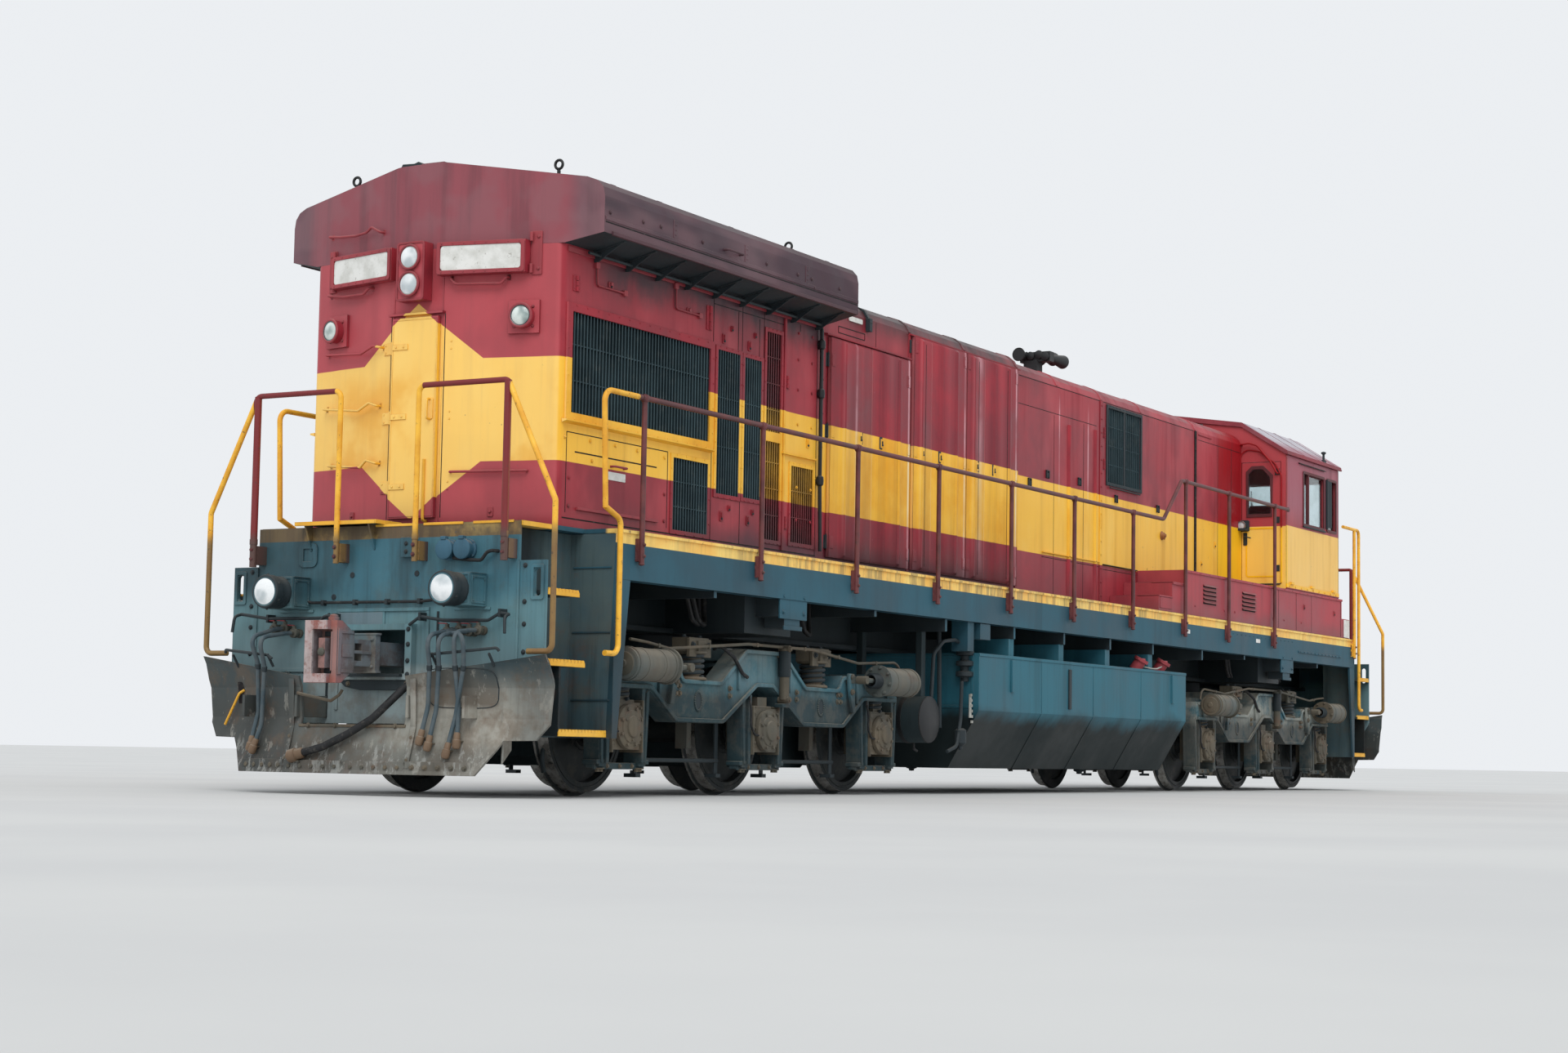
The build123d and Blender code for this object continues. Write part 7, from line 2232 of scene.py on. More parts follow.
# ------------------------------------------------------------------ below the deck
p = P("underframe_pipes", ["dark", "blackpipe", "frame", "lagging", "rubber"], slot="frame_paint")
for s in (-1, 1):
    for y, z, r, m in ((1.36, 1.86, 0.030, "dark"), (1.27, 1.80, 0.022, "frame"), (1.18, 1.87, 0.026, "dark"), (0.98, 1.74, 0.034, "dark")):
        p.use(m)
        p.tube([(-8.4, s * y, z), (-2.9, s * y, z), (-2.6, s * y, z + 0.02), (8.2, s * y, z + 0.02)], r, 0.2, 10)
        for k in range(20):
            x = -8.2 + 0.85 * k
            p.use("dark")
            p.box(x - 0.015, x + 0.015, s * (y - r - 0.012), s * (y + r + 0.012), z - r - 0.006, 1.957)
    # cable loop from deck to the rear bogie's traction motors, sagging, both bogies
    for cx in (-6.185, 6.185):
        p.use("rubber")
        for d in (-0.95, -0.86, 0.90):
            p.tube([(cx + d, s * 1.02, 1.80), (cx + d + 0.02, s * 1.03, 1.60), (cx + d + 0.12, s * 1.02, 1.42),
                    (cx + d + 0.30, s * 0.98, 1.38), (cx + d + 0.42, s * 0.90, 1.48), (cx + d + 0.44, s * 0.88, 1.72)], 0.021, 0.10, 8)
        # jacking bracket faces: plates, stacked pads, bolts
        p.use("frame")
        p.box(cx - 0.225, cx + 0.225, s * 1.480, s * 1.494, 1.455, 1.700)
        p.box(cx - 0.15, cx + 0.15, s * 1.480, s * 1.492, 1.365, 1.400)
        for a in (-0.17, 0.17):
            for z in (1.51, 1.64):
                p.bolt((cx + a, s * 1.494, z), (0, s, 0), 0.014, 0.014)
    # air filters and valves between rear bogie and tank
    p.use("frame")
    p.box(-2.83, -2.70, s * 1.30, s * 1.47, 1.34, 1.955)
    p.box(-2.60, -2.38, s * 1.38, s * 1.49, 1.46, 1.61)
    p.use("dark")
    for z in (1.10, 1.20, 1.30):
        p.lathe((-2.66, s * 1.36, z), (0, 0, 1), [(0, 0.04), (0.01, 0.085), (0.05, 0.085), (0.06, 0.04)], 20)
    p.cyl((-2.66, s * 1.36, 1.06), (-2.66, s * 1.36, 1.50), 0.040, 14)
    p.tube([(-2.66, s * 1.36, 1.40), (-2.92, s * 1.38, 1.44), (-3.12, s * 1.36, 1.42), (-3.20, s * 1.30, 1.30), (-3.20, s * 1.28, 0.90)],
           0.018, 0.08, 8)
    p.tube([(-2.76, s * 1.38, 1.06), (-2.78, s * 1.38, 0.70), (-2.86, s * 1.38, 0.45), (-3.02, s * 1.36, 0.40)], 0.018, 0.08, 8)
    p.lathe((-2.78, s * 1.38, 0.62), (0, 0, -1), [(0, 0.03), (0.02, 0.055), (0.14, 0.055), (0.17, 0.02), (0.20, 0.018), (0.21, 0)], 18)
    p.tube([(-2.90, s * 1.20, 1.95), (-2.90, s * 1.22, 0.62)], 0.022, 0, 8)
    p.use("lagging")
    p.tube([(-2.68, s * 1.43, 0.94), (-2.68, s * 1.43, 0.72)], 0.014, 0, 8)
    for k in range(6):
        p.box(-2.70 + 0.004 * k, -2.675 + 0.004 * k, s * 1.435, s * 1.450, 0.92 - 0.05 * k, 0.945 - 0.05 * k)
    p.use("blackpipe")
    # drum end: domed cover, drain cock
    p.lathe((-3.290, s * 1.300, 0.690), (0, s, 0), [(0, 0.216), (0.010, 0.214), (0.030, 0.16), (0.038, 0.06), (0.040, 0.0)], 32)
    for y in (0.70, 1.10):
        p.cyl((-3.290, s * (y - 0.02), 0.690), (-3.290, s * (y + 0.02), 0.690), 0.221, 32)
    p.tube([(-3.29, s * 1.15, 0.48), (-3.29, s * 1.15, 0.42), (-3.22, s * 1.15, 0.40)], 0.012, 0.02, 8)
p.done()

p = P("fuel_tank_fittings", ["tank", "dark", "redfit", "lagging", "seam"], slot="frame_paint", bevel=0.003)
for s in (-1, 1):
    p.use("tank")
    # edge flange, two ribs and baffle welds
    p.box(-2.64, 2.72, s * 1.500, s * 1.506, 1.300, 1.330)
    for x in (-1.905, 2.30):
        p.box(x - 0.028, x + 0.028, s * 1.500, s * 1.520, 0.98, 1.29)
    for x in (-1.2, 0.1, 1.4):
        p.box(x - 0.010, x + 0.010, s * 1.500, s * 1.5035, 0.80, 1.31)
        p.prism([(s * 1.501, 0.79), (s * 1.505, 0.79), (s * 1.185, 0.243), (s * 1.180, 0.246)], "x", x - 0.010, x + 0.010)
    # fillers with their caps and the strap between them
    for x in (1.55, 2.20):
        p.use("redfit")
        p.cyl((x, s * 1.36, 1.325), (x + 0.02, s * 1.42, 1.42), 0.065, 18)
        p.cyl((x + 0.02, s * 1.42, 1.415), (x + 0.026, s * 1.437, 1.447), 0.082, 18)
        p.bar((x - 0.07, s * 1.43, 1.44), (x + 0.12, s * 1.43, 1.44), 0.02, 0.02)
    p.use("lagging")
    p.tube([(1.60, s * 1.44, 1.36), (1.78, s * 1.47, 1.345), (1.95, s * 1.46, 1.35), (2.14, s * 1.44, 1.38)], 0.009, 0.08, 6)
    # level gauge and drain plugs
    p.use("dark")
    p.box(-0.55, -0.49, s * 1.500, s * 1.515, 0.85, 1.25)
    p.lathe((0.9, s * 1.0, 0.245), (0, 0, -1), [(0, 0.06), (0.02, 0.06), (0.03, 0.03), (0.05, 0.028), (0.052, 0)], 16)
for e, x in ((-1, -2.64), (1, 2.72)):
    p.use("tank")
    p.frame((x, 0, 1.06), (0, -e, 0), (0, 0, 1), 2.9, 0.50, -0.006 if e > 0 else -0.006, 0.03, 0.02)
p.done()


# ------------------------------------------------------------------ end plates, ploughs, stairs (both ends)
def ends(t):
    """t = -1: radiator end.  Written for the radiator end's view; the cab end is the same set turned about."""
    name = "rear" if t < 0 else "front"
    m = t  # y sign: what is at +y on the radiator end is at -y on the cab end

    def X(d):
        """d metres in front of the end plate's face (9.68)."""
        return t * (9.680 + d)

    def Y(y):
        return -t * y

    def at(d, y, z):
        return (X(d), Y(y), z)

    out = (t, 0, 0)
    p = P(name + "_end_plate_fittings", ["plate", "dark", "bluefit", "rubber", "bogie"], slot="frame_paint", bevel=0.003)

    def pl(y, z, w, h, th, r=0.01, d=0.0, mat="plate"):
        p.use(mat)
        p.plate(at(d, y, z), (0, 1, 0), (0, 0, 1) if t > 0 else (0, 0, -1), w, h, th, r)

    # welded corner plate with its hole
    p.use("plate")
    p.frame(at(0, 0.725, 1.778), (0, 1, 0), (0, 0, 1) if t > 0 else (0, 0, -1), 0.18, 0.185, 0.012, 0.045, 0.05)
    # multiple-unit sockets with hinged caps
    for y in (-0.602, -0.762):
        p.use("bluefit")
        p.lathe(at(0, y, 1.786), out, [(0, 0.078), (0.018, 0.078), (0.022, 0.066), (0.060, 0.064), (0.066, 0.076), (0.088, 0.076),
                                      (0.096, 0.060), (0.098, 0.0)], 28)
        p.box(X(0.06), X(0.10), Y(y - 0.022), Y(y + 0.022), 1.855, 1.880)
        for a in range(4):
            f = math.radians(45 + 90 * a)
            p.bolt(at(0.018, y + 0.070 * math.cos(f) * 1.0, 1.786 + 0.070 * math.sin(f)), out, 0.008, 0.008)
    p.use("rubber")
    p.tube([at(0.0, -1.033, 1.767), at(0.05, -1.00, 1.770), at(0.05, -0.960, 1.755), at(0.05, -0.916, 1.700), at(0.05, -0.81, 1.706),
            at(0.05, -0.663, 1.722), at(0.0, -0.640, 1.725)], 0.013, 0.04, 8)
    # raised step over the coupler: plate on brackets
    p.use("plate")
    p.box(X(-0.20), X(0.10), Y(0.02), Y(0.78), 2.004, 2.016)
    p.use("yellow")
    p.box(X(0.098), X(0.110), Y(0.02), Y(0.78), 1.990, 2.020)
    p.box(X(-0.20), X(0.11), Y(0.01), Y(0.02), 1.990, 2.020)
    p.use("plate")
    for y in (0.10, 0.70):
        p.prism([(X(0.0), 2.004), (X(0.09), 2.004), (X(0.0), 1.80)], "y", Y(y - 0.008), Y(y + 0.008))
    p.use("yellow")
    for y in (-0.10, -0.55, -1.00):
        p.box(X(0.0), X(0.006), Y(y - 0.16), Y(y + 0.20), 1.972, 1.992)
    p.use("plate")
    p.box(X(0.0), X(0.035), Y(-0.27), Y(-0.17), 1.740, 1.890)
    p.use("dark")
    p.bolt(at(0.035, -0.22, 1.84), out, 0.012, 0.012)
    p.bolt(at(0.035, -0.22, 1.78), out, 0.012, 0.012)
    # ditch lamps: bracket, ring, glass
    for y in (-0.816, 0.816):
        # box behind the lamp: lid seams, corner bolts, gland
        p.use("plate")
        p.frame(at(0.210, y, 1.484), (0, 1, 0), (0, 0, 1) if t > 0 else (0, 0, -1), 0.240, 0.232, 0.005, 0.016, 0.012)
        for sy in (-1, 1):
            p.frame((X(0.105), Y(y) + sy * 0.122, 1.484), (1, 0, 0), (0, 0, -sy), 0.17, 0.20, 0.005, 0.014, 0.01)
            for dx in (0.04, 0.17):
                for z in (1.405, 1.563):
                    p.rivet((X(dx), Y(y) + sy * 0.127, z), (0, sy, 0), 0.008)
        p.box(X(0.02), X(0.20), Y(y - 0.13), Y(y + 0.13), 1.600, 1.607)
        p.box(X(0.0), X(0.014), Y(y - 0.16), Y(y + 0.16), 1.345, 1.366)
        p.use("dark")
        p.use("dark")
        p.lathe(at(0.21, y, 1.484), out, [(0.0, 0.117), (0.01, 0.122), (0.03, 0.122), (0.04, 0.117), (0.09, 0.117), (0.10, 0.126),
                                          (0.150, 0.128), (0.168, 0.122), (0.172, 0.110), (0.162, 0.103)], 36, cap=False)
        for k in range(6):
            f = math.radians(30 + 60 * k)
            p.bolt(at(0.345, y + 0.125 * math.cos(f), 1.484 + 0.125 * math.sin(f)), out, 0.008, 0.010)
        p.use("chrome")
        p.lathe(at(0.372, y, 1.484), out, [(0.006, 0.107), (0.002, 0.104), (-0.004, 0.100), (0.000, 0.098)], 36, cap=False)
        p.use("lens")
        p.lathe(at(0.374, y, 1.484), out, [(0, 0.103), (0.004, 0.102), (0.014, 0.078), (0.022, 0.045), (0.025, 0.0)], 32)
        p.use("dark")
        p.tube([at(0.10, y + 0.122, 1.46), at(0.10, y + 0.17, 1.45), at(0.0, y + 0.19, 1.43)], 0.009, 0.03, 8)
    for y, z in ((0.47, 1.459), (-0.47, 1.459), (0.30, 1.62), (-0.30, 1.62)):
        p.use("dark")
        p.lathe(at(0.0, y, z), out, [(0, 0.022), (0.004, 0.022), (0.005, 0.014), (0.002, 0.0)], 16)
    # lashed cable across, above the coupler
    p.use("rubber")
    p.tube([at(0.02, 0.841, 1.476), at(0.025, 0.666, 1.417), at(0.025, -0.365, 1.413), at(0.025, -0.472, 1.423), at(0.02, -0.70, 1.44)],
           0.011, 0.10, 8)
    for y in (0.55, 0.25, -0.05, -0.35):
        p.use("dark")
        p.box(X(0.0), X(0.042), Y(y - 0.012), Y(y + 0.012), 1.395, 1.435)
    # light panel above the opening, coupler pocket rim and its wear plates
    pl(0.21, 1.285, 0.46, 0.135, 0.008, 0.01)
    pl(0.21, 1.285, 0.42, 0.11, 0.010, 0.006, mat="pale")
    for s in (-1, 1):
        p.use("plate")
        p.box(X(0.0), X(0.010), Y(s * 0.400), Y(s * 0.430), 0.62, 1.345)
        p.use("dark")
        for z in (0.88, 0.98, 1.10, 1.21):
            p.bolt(at(0.062, s * 0.285, z), out, 0.013, 0.013)
        p.box(X(0.0), X(0.012), Y(s * 0.50), Y(s * 0.515), 0.56, 1.34)
        # ear stiffeners: rim around the slot, bolts at the edges
        p.use("plate")
        p.frame(at(0.0, s * 1.380, 1.54), (0, 1, 0), (0, 0, 1) if t > 0 else (0, 0, -1), 0.115, 0.255, 0.010, 0.026, 0.02)
        p.box(X(0.0), X(0.012), Y(s * 1.205), Y(s * 1.225), 0.62, 1.69)
        for z in (1.66, 1.40, 1.24, 1.04, 0.86):
            p.use("dark")
            p.bolt(at(0.0, s * 1.27, z), out, 0.013, 0.014)
        # fish plates between plate and plough
        p.use("plate")
        p.box(X(0.0), X(0.014), Y(s * 0.52), Y(s * 1.18), 0.90, 0.93)
    p.use("plate")
    p.box(X(0.0), X(0.012), -0.43, 0.43, 1.345, 1.372)
    # curved mouth below the opening and the carrier under the shank
    p.use("dark")
    p.prism([(-0.36, 0.838), (0.36, 0.838), (0.30, 0.79), (0.16, 0.765), (-0.16, 0.765), (-0.30, 0.79)], "x", *sorted((X(0.0), X(0.05))))
    p.box(X(0.02), X(0.10), -0.24, 0.24, 0.862, 0.884)
    p.use("axlebox")
    for y in (-0.27, 0.27):
        p.bolt(at(0.05, y, 0.812), out, 0.014, 0.014)
    # uncoupling levers
    p.use("dark")
    for s, pts in ((1, [(1.300, 1.336), (1.036, 1.30), (0.62, 1.298), (0.40, 1.302), (0.30, 1.245)]),
                   (-1, [(-1.190, 1.306), (-1.112, 1.317), (-1.009, 1.265), (-0.612, 1.27), (-0.40, 1.30), (-0.30, 1.24)])):
        p.tube([at(0.075, y, z) for y, z in pts], 0.012, 0.05, 8)
        for y, z in (pts[1], pts[-2]):
            p.box(X(0.0), X(0.09), Y(y - 0.01), Y(y + 0.01), z - 0.03, z + 0.03)
        p.tube([at(0.075, *pts[0]), at(0.14, pts[0][0] + 0.01 * s, pts[0][1] - 0.02), at(0.15, pts[0][0] + 0.02 * s, pts[0][1] - 0.14)],
               0.012, 0.04, 8)
    # angle cocks: bodies, handles and glands
    hoses = ((0.974, 1.225), (0.873, 1.224), (0.785, 1.189), (-0.642, 1.188), (-0.748, 1.198), (-0.841, 1.186), (-0.920, 1.196))
    for y, z in hoses:
        p.use("axlebox")
        p.lathe(at(0.0, y, z), out, [(0, 0.034), (0.02, 0.034), (0.024, 0.024), (0.05, 0.024), (0.055, 0.036), (0.085, 0.036),
                                    (0.09, 0.02), (0.11, 0.019)], 16)
        p.cyl(at(0.070, y, z), at(0.070, y, z + 0.055), 0.016, 10)
        p.use("redfit")
        p.bar(at(0.070, y, z + 0.058), at(0.070, y + 0.075, z + 0.062), 0.016, 0.008)
    p.done()

    # hoses: they leave the cocks, hang in front of the board and are hooked back on it
    h = P(name + "_air_hoses", ["rubber", "brass", "dark", "axlebox"], slot="machine_iron")
    B = 0.430

    def board(z):
        """Distance of the plough's face in front of the end plate at that height (middle part)."""
        sec = ((0.150, 0.0), (0.330, -0.070), (0.560, -0.120), (0.780, -0.110), (0.960, -0.040), (1.060, 0.030))
        z = max(0.15, min(1.06, z))
        for (z0, f0), (z1, f1) in zip(sec, sec[1:]):
            if z <= z1:
                return B + f0 + (f1 - f0) * (z - z0) / (z1 - z0)
        return B + 0.03

    def face(y, z, o=0.03):
        """Point just in front of the plough, which runs back to both sides."""
        back = 0.0 if abs(y) < 0.555 else (abs(y) - 0.555) * 0.247
        return at(board(z) - back + o, y, z)

    runs = (((0.785, 1.189), [(0.762, 1.135), (0.800, 0.93), (0.876, 0.50), (0.925, 0.34)]),
            ((0.873, 1.224), [(0.868, 1.14), (0.872, 0.95), (0.930, 0.60), (0.968, 0.36)]),
            ((-0.841, 1.186), [(-0.862, 1.14), (-0.805, 0.935), (-0.751, 0.619), (-0.722, 0.380)]),
            ((-0.748, 1.198), [(-0.78, 1.14), (-0.735, 0.935), (-0.690, 0.640), (-0.655, 0.420)]),
            ((-0.920, 1.196), [(-0.975, 1.165), (-0.923, 0.934), (-0.921, 0.620), (-0.929, 0.400)]),
            ((-0.642, 1.188), [(-1.05, 1.15), (-0.988, 0.934), (-0.896, 0.578), (-0.865, 0.33)]))
    for (y0, z0), pts in runs:
        q = [at(0.085, y0, z0), at(0.16, y0, z0 - 0.005)]
        for i, (y, z) in enumerate(pts):
            q.append(face(y, z, 0.050 if i else 0.085))
        h.use("hose")
        h.tube(q, 0.0165, 0.16, 10)
        h.use("dark")
        a, b = Vector(q[-2]), Vector(q[-1])
        d = (b - a).normalized()
        h.use("hosefit")
        h.lathe(b - d * 0.06, d, [(0, 0.019), (0.01, 0.024), (0.05, 0.024), (0.055, 0.030), (0.10, 0.031), (0.115, 0.022), (0.12, 0.0)],
                14)
        h.use("axlebox")
        c = face(pts[-1][0], pts[-1][1], 0.0)
        h.box(c[0] - t * 0.02, c[0] + t * 0.060, c[1] - 0.020, c[1] + 0.020, c[2] - 0.008, c[2] + 0.004)
        h.use("dark")
        m2 = Vector(q[3]) if len(q) > 3 else b
        h.lathe(m2, (Vector(q[4]) - m2) if len(q) > 4 else d, [(0, 0.0168), (0.005, 0.021), (0.035, 0.021), (0.04, 0.0168)], 12)
    # main brake hose across the foot of the plough
    h.use("rubber")
    q = [at(0.02, -0.455, 0.86), at(0.10, -0.450, 0.84), at(0.22, -0.417, 0.800), at(0.36, -0.377, 0.68)]
    q += [at(board(0.55) + 0.07, -0.234, 0.552), face(-0.021, 0.440, 0.055), face(0.194, 0.345, 0.05), face(0.400, 0.292, 0.05)]
    h.tube(q, 0.028, 0.20, 12)
    h.use("hosefit")
    a, b = Vector(q[-2]), Vector(q[-1])
    d = (b - a).normalized()
    h.lathe(b - d * 0.04, d, [(0, 0.030), (0.01, 0.040), (0.06, 0.040), (0.065, 0.050), (0.12, 0.050), (0.14, 0.03), (0.145, 0)], 18)
    h.use("axlebox")
    c = face(0.42, 0.285, 0.0)
    h.box(c[0] - t * 0.02, c[0] + t * 0.06, c[1] - 0.025, c[1] + 0.025, c[2] - 0.055, c[2] - 0.042)
    h.done()

    # plough: edge strip, bolt rows, stiffener ribs at the back, grab rails, recess plate
    w = P(name + "_plough_details", ["plough", "dark", "axlebox", "yellow"], slot="frame_paint", bevel=0.002)

    def skin(y, z, o=0.0):
        return face(y, z, o)

    w.use("plough")
    for s in (-1, 1):
        # rolled top rail of each wing on short legs
        pts = [(0.724, 0.985), (0.760, 1.012), (1.175, 1.050), (1.250, 1.058), (1.262, 1.035)]
        w.use("dark")
        w.tube([V(face(s * y, min(z, 1.05), 0.012)) + V(0, 0, z - min(z, 1.05)) for y, z in pts], 0.011, 0.03, 8)
        for y in (0.755, 1.18):
            a = V(face(s * y, 0.93, -0.004))
            b = V(face(s * y, 1.02, 0.012))
            w.tube([a, b], 0.010, 0, 8)
        # wear strip at the foot
        w.use("plough")
        for y0, y1, z0, z1 in ((0.02, 0.55, 0.165, 0.165), (0.56, 1.05, 0.168, 0.168)):
            a, b = V(face(s * y0, z0 + 0.04, 0.004)), V(face(s * y1, z1 + 0.04, 0.004))
            w.bar(a, b, 0.010, 0.085)
            for k in range(5):
                f = (k + 0.5) / 5
                w.use("axlebox")
                w.bolt(a * (1 - f) + b * f, (t, 0, 0), 0.016, 0.016)
            w.use("plough")
        # splice at the bend, vertical
        for z0, z1 in ((0.20, 0.50), (0.50, 0.84)):
            a, b = V(face(s * 0.560, z0, 0.002)), V(face(s * 0.560, z1, 0.002))
            w.bar(a, b, 0.05, 0.008, (t, 0, 0.3))
        for z in (0.26, 0.42, 0.60, 0.76):
            w.use("axlebox")
            w.bolt(face(s * 0.560, z, 0.004), (t, 0, 0), 0.013, 0.013)
        w.use("plough")
        # back ribs
        for y in (0.70, 1.20):
            x0 = 9.680 + board(0.6) - (y - 0.555) * 0.247
            w.prism([(t * (x0 - 0.02), 0.24), (t * (x0 - 0.13), 0.34), (t * (x0 - 0.13), 0.86), (t * (x0 - 0.03), 0.90)], "y",
                    Y(s * y - 0.006), Y(s * y + 0.006))
    # rectangular inspection recess with rounded rim on one wing, bare slot in the other
    w.use("dark")
    for k in range(26):
        f0, f1 = 2 * math.pi * k / 26, 2 * math.pi * (k + 1) / 26

        def rr(f):
            cx, sx = math.cos(f), math.sin(f)
            return (-0.925 + 0.26 * math.copysign(abs(cx) ** 0.4, cx), 0.775 + 0.14 * math.copysign(abs(sx) ** 0.4, sx))
        a, b = rr(f0), rr(f1)
        w.bar(face(a[0], a[1], 0.001), face(b[0], b[1], 0.001), 0.008, 0.006)
    w.use("seam")
    a, b = V(face(1.194, 0.66, 0.002)), V(face(1.194, 0.82, 0.002))
    w.bar(a, b, 0.052, 0.003, (t, 0, 0))
    # bent bar and cross bar in the opening
    w.use("axlebox")
    w.tube([face(0.50, 0.735, 0.02), face(0.475, 0.731, 0.035), face(0.181, 0.678, 0.035), face(0.100, 0.721, 0.035), face(0.085, 0.76, 0.02)],
           0.012, 0.04, 8)
    w.bar(face(-0.49, 0.500, -0.006), face(0.49, 0.500, -0.006), 0.030, 0.022)
    for y in (-0.40, -0.15, 0.15, 0.40):
        w.bolt(face(y, 0.500, 0.006), (t, 0, 0), 0.014, 0.014)
    # signal lever
    w.use("yellow")
    w.tube([face(1.353, 0.50, 0.03), face(1.19, 0.735, 0.03), face(1.16, 0.76, 0.0)], 0.010, 0.03, 8)
    w.done()

    # stairs: serrated yellow nosings, risers, side stiffeners
    st = P(name + "_stair_details", ["yellow", "step", "frame", "dark"], slot="frame_paint", bevel=0.0)
    for s in (-1, 1):
        for z, xo, xi in ((1.480, 9.648, 9.250), (0.975, 9.648, 9.160), (0.475, 9.480, 8.842)):
            # nosings along the open outer edge (towards the side) and the front edge
            st.use("yellow")
            n = max(5, int((xo - xi) / 0.042))
            for k in range(n):
                a = xi + (xo - xi) * k / n
                b = xi + (xo - xi) * (k + 1) / n
                st.prism([(t * a, z + 0.002), (t * b, z + 0.002), (t * (b - 0.013), z + 0.023), (t * (a + 0.013), z + 0.023)], "y",
                         s * 1.432, s * 1.449)
            st.box(t * xi, t * xo, s * 1.440, s * 1.450, z - 0.028, z + 0.003)
            st.use("step")
            for k in range(6):
                y = 1.14 + 0.05 * k
                st.box(t * (xi + 0.02), t * (xo - 0.02), s * y, s * (y + 0.012), z, z + 0.006)
        st.use("frame")
        for z in (0.72, 1.22, 1.70):
            st.box(t * 8.866, t * 8.874, s * 1.13, s * 1.47, z - 0.006, z + 0.006)
        st.use("yellow")
        st.box(t * 9.25, t * 9.655, s * 1.205, s * 1.222, 1.952, 1.988)
    st.done()

    # coupler: rubbed guide edges, lock with its pin, lifting lever and cast ribs
    c = P(name + "_coupler_parts", ["coupler", "dark", "axlebox"], name + "_coupler", "coupler_iron", 0.004)
    zc = 1.028

    def cb(x0, x1, y0, y1, z0, z1, mat="coupler"):
        c.use(mat)
        c.box(*sorted((t * x0, t * x1)), *sorted((-t * y0, -t * y1)), z0, z1)

    # y here is as on the radiator end: + to the left
    cb(10.380, 10.3945, 0.084, 0.1355, 0.812, 1.236)
    cb(10.285, 10.345, 0.070, 0.082, 0.885, 1.165)
    cb(10.285, 10.350, -0.078, -0.066, 0.885, 1.165)
    cb(10.30, 10.340, -0.122, -0.130, 0.86, 1.19)
    cb(10.17, 10.29, -0.119, -0.127, 0.985, 1.075)
    for z in (0.885, 1.165):
        cb(10.16, 10.33, -0.118, -0.126, z - 0.012, z + 0.012)
    c.use("axlebox")
    c.lathe((t * 10.365, 0.0, 1.020), (t, 0, 0), [(0, 0.030), (0.012, 0.030), (0.022, 0.020), (0.026, 0.0)], 18)
    c.use("dark")
    for z in (0.885, 1.150):
        c.box(*sorted((t * 10.286, t * 10.30)), *sorted((-t * -0.03, -t * 0.03)), z - 0.018, z + 0.018)
    c.use("coupler")
    c.cyl((t * 10.24, 0.0, 1.24), (t * 10.24, 0.0, 1.275), 0.040, 18)
    c.lathe((t * 10.24, 0.0, 1.275), (0, 0, 1), [(0, 0.030), (0.014, 0.030), (0.020, 0.012), (0.022, 0)], 16)
    c.use("dark")
    c.tube([(t * 10.24, 0.0, 1.285), (t * 10.26, -t * 0.08, 1.280), (t * 10.22, -t * 0.165, 1.20), (t * 10.22, -t * 0.165, 1.06)],
           0.012, 0.05, 8)
    c.use("coupler")
    for y in (-0.104, 0.104):
        c.box(*sorted((t * 9.94, t * 10.15)), y - 0.006, y + 0.006, zc - 0.012, zc + 0.012)
    c.box(*sorted((t * 9.878, t * 9.938)), -0.150, 0.150, zc - 0.145, zc - 0.130)
    c.box(*sorted((t * 9.878, t * 9.938)), -0.150, 0.150, zc + 0.130, zc + 0.145)
    for y in (-0.11, 0.11):
        for z in (zc - 0.10, zc + 0.10):
            c.bolt((t * 9.937, y, z), (t, 0, 0), 0.012, 0.012)
    c.done()


ends(-1)
ends(1)

# ------------------------------------------------------------------ handrail ball joints and feet
p = P("handrail_fittings", ["rail", "railbrown", "dark"], slot="handrail_paint")
for s in (-1, 1):
    for x, z in ((-8.576, 2.990), (-6.810, 2.990), (-5.180, 2.990), (-3.610, 2.990), (-2.030, 2.990), (-0.510, 2.990), (1.060, 2.990),
                 (2.600, 3.470), (3.990, 3.470), (5.590, 3.470)):
        p.use("rail")
        p.lathe((x, s * 1.540, z), (0, 0, 1), [(-0.034, 0.022), (-0.024, 0.029), (0.0, 0.032), (0.022, 0.028), (0.032, 0.0)], 16)
        p.cyl((x - 0.040, s * 1.540, z), (x + 0.040, s * 1.540, z), 0.0255, 14)
    for t in (-1, 1):
        for y in (0.365, 1.165):
            p.use("railbrown")
            for z in (1.75, 1.82):
                p.bolt((t * 9.822, s * y, z), (t, 0, 0), 0.012, 0.012)
            p.use("rail")
            p.cyl((t * 9.800, s * y, 1.86), (t * 9.800, s * y, 1.90), 0.0255 if y < 1 else 0.031, 14)
p.use("dark")
for s in (-1, 1):
    # end of the raised rail by the cab door, flattened and bolted
    p.bar((6.06, s * 1.540, 3.470), (6.12, s * 1.535, 3.470), 0.020, 0.05)
p.done()

# ------------------------------------------------------------------ horn cluster
p = P("horn_parts", ["blackpipe", "dark"], slot="horn_metal")
for d, y, z, ln in ((-1, -0.312, 4.728, 0.185), (1, -0.400, 4.722, 0.195), (1, -0.500, 4.732, 0.315), (1, -0.575, 4.708, 0.405)):
    x = 0.950 + d * ln
    p.use("blackpipe")
    p.torus((x - d * 0.004, y, z), (1, 0, 0), 0.069, 0.0055, 28, 8)
    p.lathe((x - d * 0.002, y, z), (d, 0, 0), [(0.004, 0.068), (-0.06, 0.046), (-0.12, 0.03)], 24, cap=False)
    p.lathe((0.950 - d * 0.045, y, z), (-d, 0, 0), [(0, 0.040), (0.012, 0.046), (0.030, 0.046), (0.038, 0.026), (0.042, 0)], 20)
for x in (0.91, 0.99):
    for y in (-0.46, -0.34):
        p.bolt((x, y, 4.765), (0, 0, 1), 0.010, 0.008)
p.done()


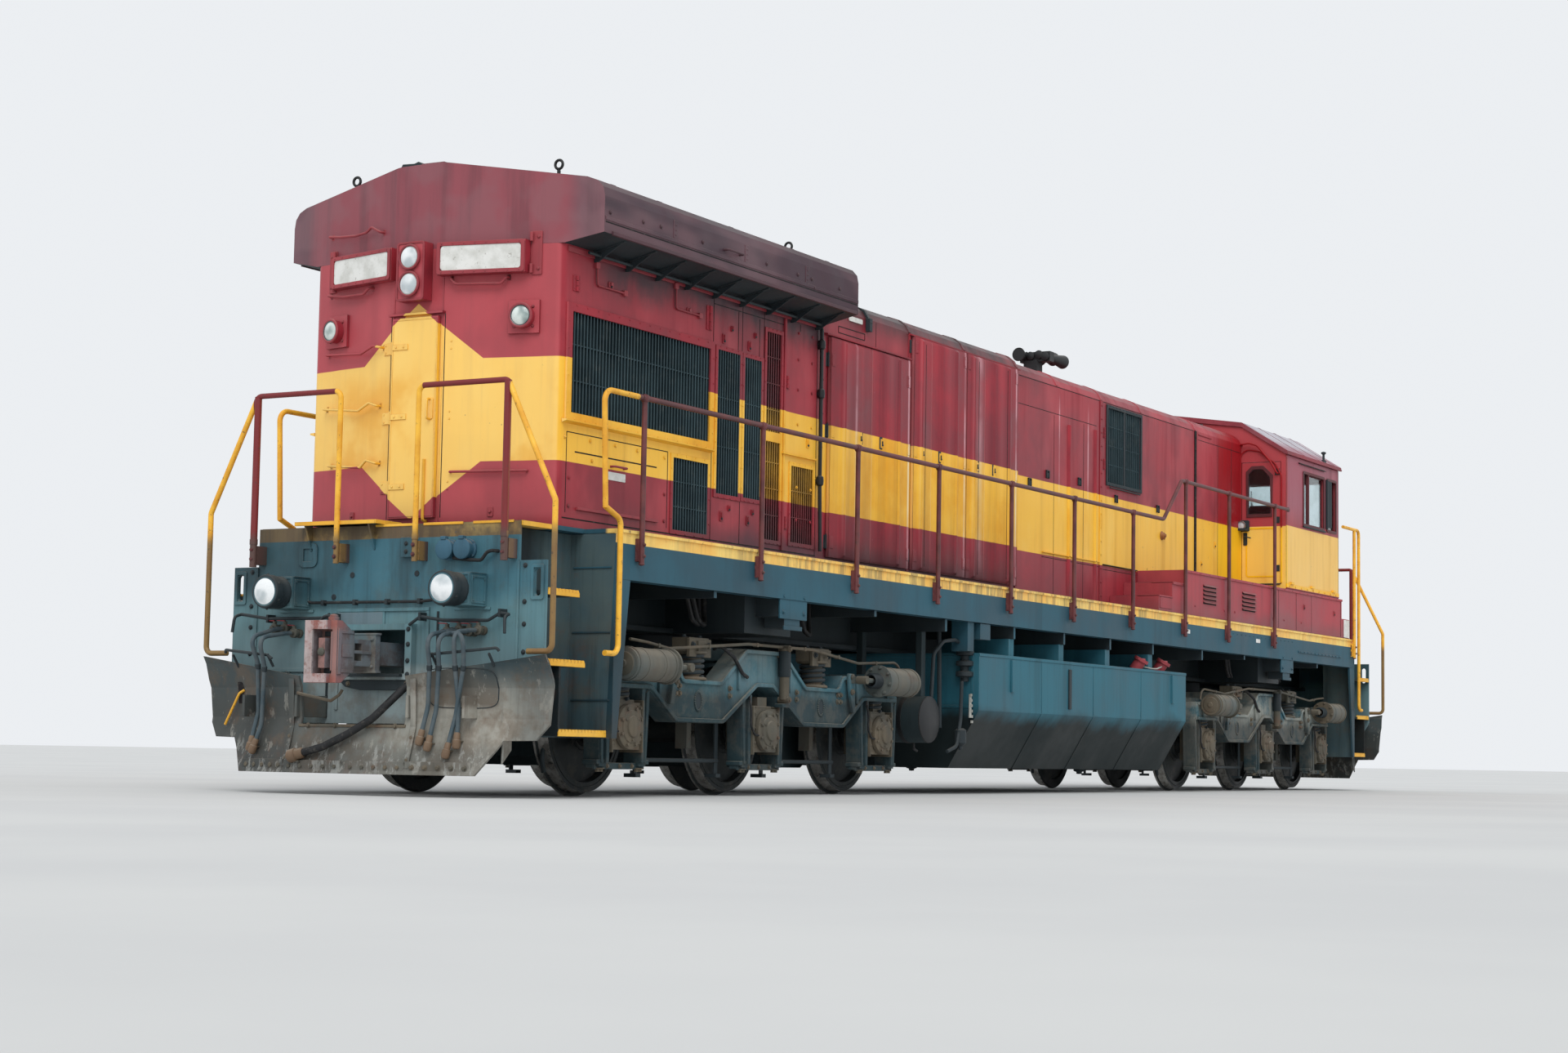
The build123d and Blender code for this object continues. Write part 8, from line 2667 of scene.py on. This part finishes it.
# ------------------------------------------------------------------ floor, light, camera
def floor_mat():
    g = G("pale_floor", Specular_IOR_Level=0.2)
    n = g.noise(0.35, 4)
    return g.done(g.mix(g.ss(n, 0.3, 0.7), lin(196, 197, 197), lin(202, 203, 202)), 0.9, g.bump(g.noise(30, 3), 0.04, 0.004))


me = bpy.data.meshes.new("floor")
me.from_pydata([(-260, -260, 0), (260, -260, 0), (260, 260, 0), (-260, 260, 0)], [], [(0, 1, 2, 3)])
me.materials.append(floor_mat())
floor = bpy.data.objects.new("floor", me)
scene.collection.objects.link(floor)

world = bpy.data.worlds.new("studio") if not scene.world else scene.world
scene.world = world
world.use_nodes = True
wn = world.node_tree.nodes
bg = wn.get("Background") or wn.new("ShaderNodeBackground")
bg.inputs[0].default_value = (0.90, 0.925, 0.955, 1.0)
bg.inputs[1].default_value = 0.93

sun = bpy.data.lights.new("soft_key", "SUN")
sun.energy = 1.35
sun.angle = math.radians(38)
sun.color = (1.0, 0.985, 0.96)
so = bpy.data.objects.new("soft_key", sun)
scene.collection.objects.link(so)
so.rotation_mode = "QUATERNION"
so.rotation_quaternion = Vector((0.80, 0.50, -1.05)).normalized().to_track_quat("-Z", "Y")

cam_data = bpy.data.cameras.new("photo_view")
cam = bpy.data.objects.new("photo_view", cam_data)
scene.collection.objects.link(cam)
yaw, pitch, roll = math.radians(29.8216), math.radians(5.0083), math.radians(0.9634)
f = Vector((math.cos(pitch) * math.cos(yaw), math.cos(pitch) * math.sin(yaw), math.sin(pitch)))
r0 = Vector((math.sin(yaw), -math.cos(yaw), 0))
u0 = r0.cross(f)
r = r0 * math.cos(roll) + u0 * math.sin(roll)
u = u0 * math.cos(roll) - r0 * math.sin(roll)
mat = Matrix((r, u, -f)).transposed().to_4x4()
mat.translation = Vector((-24.909, -12.122, 0.338))
cam.matrix_world = mat
cam_data.lens = 59.95
cam_data.sensor_width = 36.0
cam_data.clip_start, cam_data.clip_end = 0.1, 800
scene.camera = cam
scene.view_settings.view_transform = "Standard"
scene.view_settings.look = "None"

bpy.context.view_layer.update()
